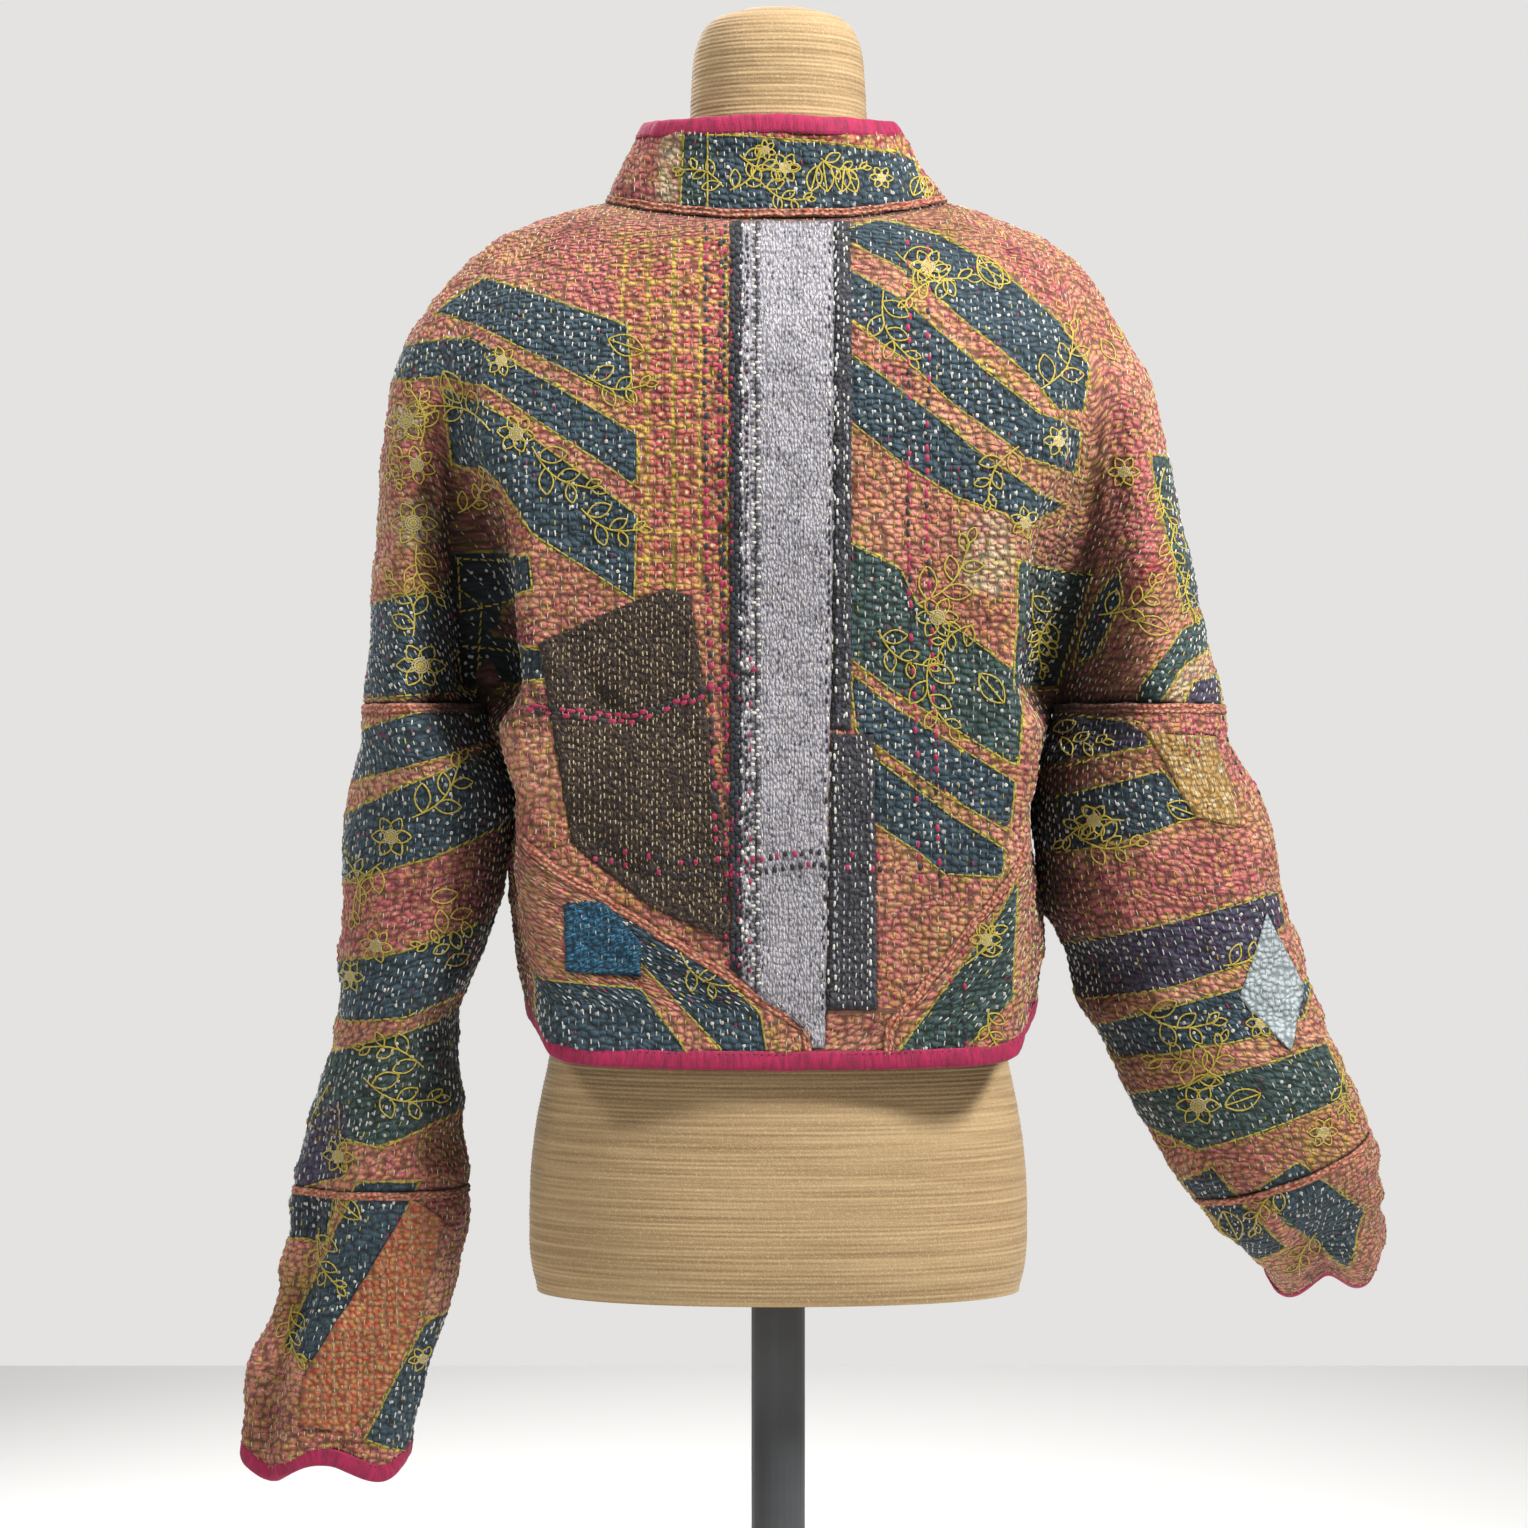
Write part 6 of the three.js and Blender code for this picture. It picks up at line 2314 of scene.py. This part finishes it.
def flower(size: float) -> list[tuple[np.ndarray, Dye]]:
    """Six petals round a middle filled with rings."""
    petals = [leaf(np.zeros(2), math.radians(60 * k), size, size * 0.3) for k in range(6)]
    ring = np.linspace(0, 2 * math.pi, 16)
    circle = np.stack([np.cos(ring), np.sin(ring)], 1)
    rings = [(size * radius * circle, Dye.CREAM) for radius in (0.12, 0.24, 0.34)]
    return [(petal, Dye.YELLOW) for petal in petals] + rings


def large_leaf(size: float) -> list[tuple[np.ndarray, Dye]]:
    """One leaf with its vein."""
    vein = np.linspace(0, size, max(4, round(size / CORD_STEP)))
    lines = [leaf(np.zeros(2), 0.0, size, size * 0.28), np.stack([vein, 0 * vein], 1)]
    return [(line, Dye.YELLOW) for line in lines]


def sprig(size: float) -> list[tuple[np.ndarray, Dye]]:
    """A curved stem with five leaves by turns and one at its tip, each smaller than the last."""
    u = np.linspace(0, 1, round(size / CORD_STEP))
    stem = np.stack([u * size, 0.16 * size * np.sin(math.pi * u)], 1)
    lines = [stem]
    for k in range(5):
        foot = stem[min(len(stem) - 1, int(len(stem) * (0.14 + 0.19 * k)))]
        way = math.radians(48 if k % 2 else -48) + 0.25 * (0.5 - k / 4)
        long = size * (0.42 - 0.045 * k)
        lines.append(leaf(foot, way, long, long * 0.27))
    lines.append(leaf(stem[-1], -0.3, size * 0.22, size * 0.06))
    return [(line, Dye.YELLOW) for line in lines]


DRAWN = {  # what draws each motif, and how much larger than its named size
    Motif.SPRIG: (sprig, 1.1),
    Motif.FLOWER: (flower, 1.1),
    Motif.LEAF: (large_leaf, 1.3),
}


def figure_lines(figure: Figure) -> list[tuple[np.ndarray, Dye]]:
    """The lines of a figure in their place, each with its thread."""
    draw, larger = DRAWN[figure.motif]
    turn = math.radians(figure.turn)
    spin = np.array([[math.cos(turn), math.sin(turn)], [-math.sin(turn), math.cos(turn)]])
    middle = [figure.x, figure.level]
    return [(line @ spin + middle, dye) for line, dye in draw(figure.size * larger)]


LEFT_SLEEVE = ("sleeve_upper_left", "sleeve_lower_left")
RIGHT_SLEEVE = ("sleeve_upper_right", "sleeve_lower_right")


@dataclass(frozen=True)
class Sewing:
    """What is sewn on one face of some pieces.

    Attributes:
        nodes: the pieces.
        areas: their printed areas, which are bordered and dotted.
        figures: the embroidered figures.
        ladders: the rows of bars.
        behind: whether it is the face seen from behind, or the one from the front.
        mirror: -1 where the print is turned over, left to right.
    """

    nodes: tuple[str, ...]
    areas: list[Region]
    figures: list[Figure]
    ladders: list[Ladder] = field(default_factory=list)
    behind: bool = True
    mirror: int = 1


SEWN = [
    Sewing(("back",), PRINT_BODY, FIGURES_BODY, LADDERS_BACK),
    Sewing(("back_corner_left", "back_corner_right"), PRINT_CORNERS, FIGURES_CORNERS,
           LADDERS_CORNERS),
    Sewing(("front_left", "front_right"), PRINT_BODY, FIGURES_BODY, behind=False, mirror=-1),
    Sewing(("collar",), PRINT_COLLAR, FIGURES_COLLAR),
    Sewing(("collar",), PRINT_COLLAR, FIGURES_COLLAR, behind=False),
    Sewing(LEFT_SLEEVE, PRINT_LEFT_SLEEVE, FIGURES_LEFT_SLEEVE, LADDERS_SLEEVE),
    Sewing(LEFT_SLEEVE, PRINT_LEFT_SLEEVE, FIGURES_LEFT_SLEEVE, behind=False),
    Sewing(RIGHT_SLEEVE, PRINT_RIGHT_SLEEVE, FIGURES_RIGHT_SLEEVE, LADDERS_SLEEVE),
    Sewing(RIGHT_SLEEVE, PRINT_RIGHT_SLEEVE, FIGURES_RIGHT_SLEEVE, behind=False),
]


@dataclass
class Handwork:
    """Everything sewn by hand on the quilt: running stitch, borders, ladders and embroidery.

    Attributes:
        thread: the finish of every stitch.
        cord: width of an embroidered line.
        border: between two stitches of a band's border.
        dot, dot_rows: between two dots of a row, and between two rows.
        worn: how much of the dots has worn off, from -1 for none to 1 for all.
        pieces: the sewing on each piece of the quilt.
    """

    thread: bpy.types.Material
    cord: float = 1.0
    border: float = 5.4
    dot: float = 4.7
    dot_rows: float = 11.0
    worn: float = -0.1
    pieces: dict[str, list[bpy.types.Object]] = field(default_factory=dict)

    def keep(self, node: str, made: bpy.types.Object) -> None:
        """Dresses a piece of sewing and notes the cloth that it is sewn to."""
        dress(made, self.thread)
        self.pieces.setdefault(node, []).append(made)

    def running(self, panels: dict[str, Panel]) -> None:
        """Running stitch all over each piece."""
        for number, (node, panel) in enumerate(panels.items()):
            stitches = Stitches()
            stitch_grid(stitches, panel.grid, panel.design, None, 100 + number)
            self.keep(node, stitches.build("running_stitch_" + node))

    def outlines(self, drape: Drape, sewing: Sewing, out: Stitches) -> None:
        """A yellow line of long stitches round each printed band."""
        random = np.random.default_rng(len(sewing.areas) + sewing.mirror)
        for region in sewing.areas:
            if region.dye not in BANDS:
                continue
            corners = np.concatenate([region.outline, region.outline[:1]]) * [sewing.mirror, 1]
            length = lengths(corners)
            at = np.arange(0.0, length[-1], self.border)
            plan, ahead = (along_line(at + shift, length, corners) for shift in (0, 1.5))
            points, normals, met = drape.lay(plan)
            along = np.zeros_like(points)
            along[:, [0, 2]] = ahead - plan
            along -= normals * np.sum(along * normals, 1, keepdims=True)
            met &= np.linalg.norm(along, axis=1) > 0.2
            if not met.any():
                continue
            count = int(met.sum())
            size = stitch_sizes(random, count, (5.2, 6.0), 1.15, 0.8)
            colour = Dye.YELLOW.linear * random.uniform(0.55, 0.95, (count, 1))
            out.add(points[met], along[met], normals[met], size, colour)

    def dots(self, drape: Drape, sewing: Sewing, out: Stitches) -> None:
        """Rows of small white dots that run the long way of each printed band."""
        random = np.random.default_rng(50 + len(sewing.areas) + sewing.mirror)
        for region in sewing.areas:
            if region.dye not in BANDS:
                continue
            middle = region.outline.mean(0)
            _, _, ways = np.linalg.svd(region.outline - middle)
            spans = (region.outline - middle) @ ways.T
            reach = np.arange(spans[:, 0].min(), spans[:, 0].max(), self.dot)
            rows = self.dot_rows * (np.arange(6) - 2.5)
            u, v = (a.ravel() for a in np.meshgrid(reach, rows))
            v = v + 2.2 * np.where(np.arange(len(v)) % 2, 1, -1)
            plan = middle + u[:, None] * ways[0] + v[:, None] * ways[1]
            plan += random.uniform(-0.5, 0.5, plan.shape)
            inside = inside_distance(region.outline, plan[:, 0], plan[:, 1]) > 3.2
            worn = noise(plan[:, 0] / 16, plan[:, 1] / 16, 61) < self.worn
            plan = plan[inside & ~worn] * [sewing.mirror, 1]
            if not len(plan):
                continue
            points, normals, met = drape.lay(plan)
            count = int(met.sum())
            along = np.tile([0.0, 0.0, 1.0], (count, 1)) + random.uniform(-0.6, 0.6, (count, 3))
            size = stitch_sizes(random, count, (2.2, 3.0), (1.7, 2.3), 0.75)
            colour = Dye.WHITE.linear * random.uniform(0.4, 0.9, (count, 1))
            out.add(points[met], along, normals[met], size, colour)

    def ladders(self, drape: Drape, plans: list[Ladder], out: Stitches) -> None:
        """Two columns of thick bars along each line."""
        for number, plan in enumerate(plans):
            random = np.random.default_rng(300 + number)
            dyes = np.array([dye.linear for dye in dyes_from(plan.dyes)])
            length = lengths(plan.line)
            at = np.arange(2.0, length[-1], plan.pitch)
            back, middle, ahead = (along_line(at + k, length, plan.line) for k in (-2, 0, 2))
            way = unit(ahead - back)
            beside = way[:, ::-1] * [1, -1]
            upright = plan.tall > plan.bar
            long, wide = (plan.tall, plan.bar) if upright else (plan.bar, plan.tall)
            for column in (-0.5, 0.5):
                shift = random.uniform(-0.7, 0.7, (len(at), 2))
                stagger = way * plan.pitch * column * 0.5
                place = middle + beside * plan.apart * column + stagger + shift
                points, normals, met = drape.lay(place)
                along = np.zeros_like(points)
                along[:, [0, 2]] = way if upright else beside
                along[:, [0, 2]] += random.uniform(-0.15, 0.15, (len(at), 2))
                size = stitch_sizes(random, len(at), (0.85, 1.15), (0.85, 1.1), 1.1)
                size *= [long, wide, 1]
                picked = dyes[random.integers(0, len(dyes), len(at))]
                out.add(points[met], along[met], normals[met], size[met], picked[met])

    def figures(self, drape: Drape, sewing: Sewing, out: Cords) -> None:
        """Lays each figure's lines on the cloth."""
        for figure in sewing.figures:
            for line, dye in figure_lines(figure):
                points, normals, met = drape.lay(line * [sewing.mirror, 1])
                if not met.all():
                    continue
                jump = np.linalg.norm(np.diff(points, axis=0), axis=1)
                if jump.max() > LARGEST_JUMP:
                    continue
                points[1:-1] = (points[:-2] + 2 * points[1:-1] + points[2:]) / 4
                up = unit(normals)
                out.add(points + up * 0.35, up, self.cord, dye.linear)

    def build(self, panels: dict[str, Panel], patches: dict[str, list[Grid]]) -> None:
        """All the sewing, seen from behind on every piece and from the front where it shows.

        Args:
            panels: the jacket's pieces.
            patches: the grids of the patches on each piece, which the ladders cross.
        """
        self.running(panels)
        for sewing in SEWN:
            cloths = [panels[node].grid for node in sewing.nodes]
            covers = [grid for node in sewing.nodes for grid in patches.get(node, [])]
            drape = Drape(cloths, sewing.behind)
            bars, lines = Stitches(), Cords()
            self.outlines(drape, sewing, bars)
            self.dots(drape, sewing, bars)
            self.ladders(Drape(cloths + covers, sewing.behind), sewing.ladders, bars)
            self.figures(drape, sewing, lines)
            first = sewing.nodes[0]
            word = first + ("_behind" if sewing.behind else "_before")
            if bars.centre:
                self.keep(first, bars.build("long_stitch_" + word))
            if lines.points:
                self.keep(first, lines.build("embroidery_" + word))


# ------------------------------------------------------------------ the dress form


@dataclass
class DressForm:
    """The limbless form: a smooth torso wound with jute rope, on a pole and a round base.

    Attributes:
        rope: pitch of the winding.
        ply: how far each turn stands out.
        columns: points round it.
        bare: the levels above and below which the winding shows.
        samples: rings to a turn of rope.
        coarse: between two rings where no winding shows.
    """

    rope: float = 2.7
    ply: float = 0.5
    columns: int = 112
    bare: tuple[float, float] = (345.0, -150.0)
    samples: int = 5
    coarse: float = 9.0

    def rings(self) -> np.ndarray:
        """The level of each ring at the side: fine where the winding shows."""
        fine = self.rope / self.samples
        top, foot = FORM.column("side")[[0, -1]]
        high = np.arange(self.bare[0], top, fine)[::-1]
        middle = np.arange(self.bare[1] + self.coarse, self.bare[0], self.coarse)[::-1]
        low = np.arange(foot, self.bare[1], fine)[::-1]
        return np.concatenate([high, middle, low])

    def build(self, material: bpy.types.Material) -> None:
        """The torso: ovals through the table's rings, rippled once for each turn of rope."""
        side = FORM.column("side")
        rings = self.rings()
        row = np.interp(-rings, -side, np.arange(len(side)))
        get = {name: FORM.at(name, row)[:, None] for name in FORM.names}
        a = np.linspace(0, 2 * math.pi, self.columns, endpoint=False)[None]
        power = 2 / FORM_SQUARE
        c = np.sign(np.cos(a)) * np.abs(np.cos(a)) ** power
        s = np.sign(np.sin(a)) * np.abs(np.sin(a)) ** power
        depth = np.where(s >= 0, get["back"], -get["front"])
        level = mix(get["side"], np.where(s >= 0, get["backZ"], get["frontZ"]), np.abs(s) ** 1.5)
        shown = ((rings > self.bare[0]) | (rings < self.bare[1]))[:, None]
        turn = level / self.rope + a / (2 * math.pi)
        ripple = self.ply * (np.abs(np.sin(math.pi * turn)) - 0.8) * shown
        uneven = 0.25 * noise(turn * 0.5, a * 6 + 0 * turn, 200) * shown
        scale = 1 + (ripple + uneven - 0.3) / np.maximum(get["half"], 20)
        points = np.stack([get["half"] * c * scale, depth * s * scale, level + 0 * c], -1)
        n, m = points.shape[:2]
        number = np.arange(n * m).reshape(n, m)
        across = np.roll(number, -1, 1)
        quads = np.stack([number[:-1], number[1:], across[1:], across[:-1]], -1).reshape(-1, 4)
        top = np.array([TOP_SHIFT, 0.0, FORM_TOP - 0.4])
        foot = np.array([0.0, 0.0, side[-1] + 0.2])
        every = np.concatenate([points.reshape(-1, 3), [top, foot]])
        first, last = number[0], number[-1]
        fans = ((n * m, first, np.roll(first, -1)), (n * m + 1, np.roll(last, -1), last))
        caps = np.concatenate([np.stack([np.full(m, tip), a, b], 1) for tip, a, b in fans])
        made = new_object("rope_wound_form", true_height(every), [quads, caps])
        outward(made)
        dress(made, material, "form")

    def stand(self, frame: dict, material: bpy.types.Material) -> None:
        """Gives the pole and the base their finish."""
        for name in ("pole", "base"):
            node = frame["nodes"][name]
            node.data.materials.clear()
            node.data.materials.append(material)


# ------------------------------------------------------------------ studio


@dataclass(frozen=True)
class Softbox:
    """A square area light: where it stands, what it looks at, its size and power."""

    name: str
    place: tuple[float, float, float]
    size: float
    watts: float
    look: tuple[float, float, float] = (0.0, 0.0, 1.0)


@dataclass
class Studio:
    """Plain pale floor, soft light and the camera.

    Attributes:
        lights: the area lights.
        eye, lens: the camera's place and focal length in millimetres.
        floor_half: half the floor's side.
        wall_edge: how far towards -Y a direction points where the wall begins to dim and ends.
        wall_light: strength of the light on the wall and elsewhere.
    """

    lights: tuple[Softbox, ...] = (
        Softbox("key", (-1.3, 1.05, 2.35), 0.4, 68.0, (0.0, 0.05, 1.1)),
        Softbox("fill", (0.9, 3.0, 1.5), 1.2, 10.0),
        Softbox("front", (1.2, -2.2, 2.4), 1.0, 60.0),
        Softbox("top", (0.1, 0.1, 2.9), 0.8, 16.0, (0.0, 0.0, 1.2)),
        Softbox("floor", (0.0, -2.3, 2.0), 1.4, 18.0, (0.0, -1.7, 0.0)),
        Softbox("far_floor", (0.0, -4.1, 2.9), 2.4, 52.0, (0.0, -3.7, 0.0)),
        Softbox("side", (1.35, 0.55, 2.2), 0.4, 13.0, (0.26, 0.0, 1.25)),
    )
    eye: tuple[float, float, float] = (0.009, 2.5, 0.993)
    lens: float = 92.8
    floor_half: float = 4.0
    wall_edge: tuple[float, float] = (-0.94, -0.84)
    wall_light: tuple[float, float] = (0.95, 0.2)

    def build(self) -> None:
        """Makes the floor, the lights, the sky and the camera."""
        floor = bpy.data.meshes.new("floor")
        half = self.floor_half
        floor.from_pydata([(-half, -half, 0), (half, -half, 0), (half, half, 0), (-half, half, 0)],
                          [], [(0, 1, 2, 3)])
        floor.materials.append(StudioFloor().make())
        place_in_scene("floor", floor)
        for box in self.lights:
            light = bpy.data.lights.new(box.name, "AREA")
            light.size = box.size
            light.energy = box.watts
            lamp = place_in_scene(box.name, light)
            lamp.location = box.place
            away = Vector(box.place) - Vector(box.look)
            lamp.rotation_euler = away.to_track_quat("Z", "Y").to_euler()
        self.room()
        bpy.context.scene.view_settings.view_transform = "Standard"
        camera = bpy.data.cameras.new("camera")
        camera.lens = self.lens
        camera.sensor_width = 36.0
        seen = place_in_scene("camera", camera)
        seen.location = self.eye
        seen.rotation_euler = (math.pi / 2, 0, math.pi)
        bpy.context.scene.camera = seen

    def room(self) -> None:
        """Makes the room's light: bright on the wall before the camera and dim elsewhere."""
        world = bpy.data.worlds.new("pale_room")
        world.use_nodes = True
        tree = world.node_tree
        light = tree.nodes["Background"]
        light.inputs[0].default_value = opaque(Dye.FLOOR)
        place = add_node(tree, "ShaderNodeTexCoord").outputs["Generated"]
        depth = add_node(tree, "ShaderNodeSeparateXYZ", {0: place}).outputs[1]
        near, far = self.wall_edge
        bright, dim = self.wall_light
        wall = {0: depth, 1: near, 2: far, 3: bright, 4: dim}
        strength = add_node(tree, "ShaderNodeMapRange", wall).outputs[0]
        tree.links.new(strength, light.inputs[1])
        bpy.context.scene.world = world


def main() -> None:
    """Builds the jacket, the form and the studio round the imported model."""
    logging.basicConfig(level=logging.INFO, format="%(message)s")
    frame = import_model()
    Studio().build()
    thread = SewingThread().make()
    quilt = Quilt(PrintedQuilt().make())
    quilt.build()
    work = Handwork(thread)
    patches = Patches()
    patches.build(quilt.panels, thread)
    work.build(quilt.panels, patches.grids)
    seams = Seams(SEAM_COTTON.make())
    seams.build(quilt.panels)
    Tapes(BiasTape().make(), thread).build()
    form = DressForm()
    form.build(JuteRope().make())
    form.stand(frame, PowderCoat().make())


if __name__ == "__main__":
    main()
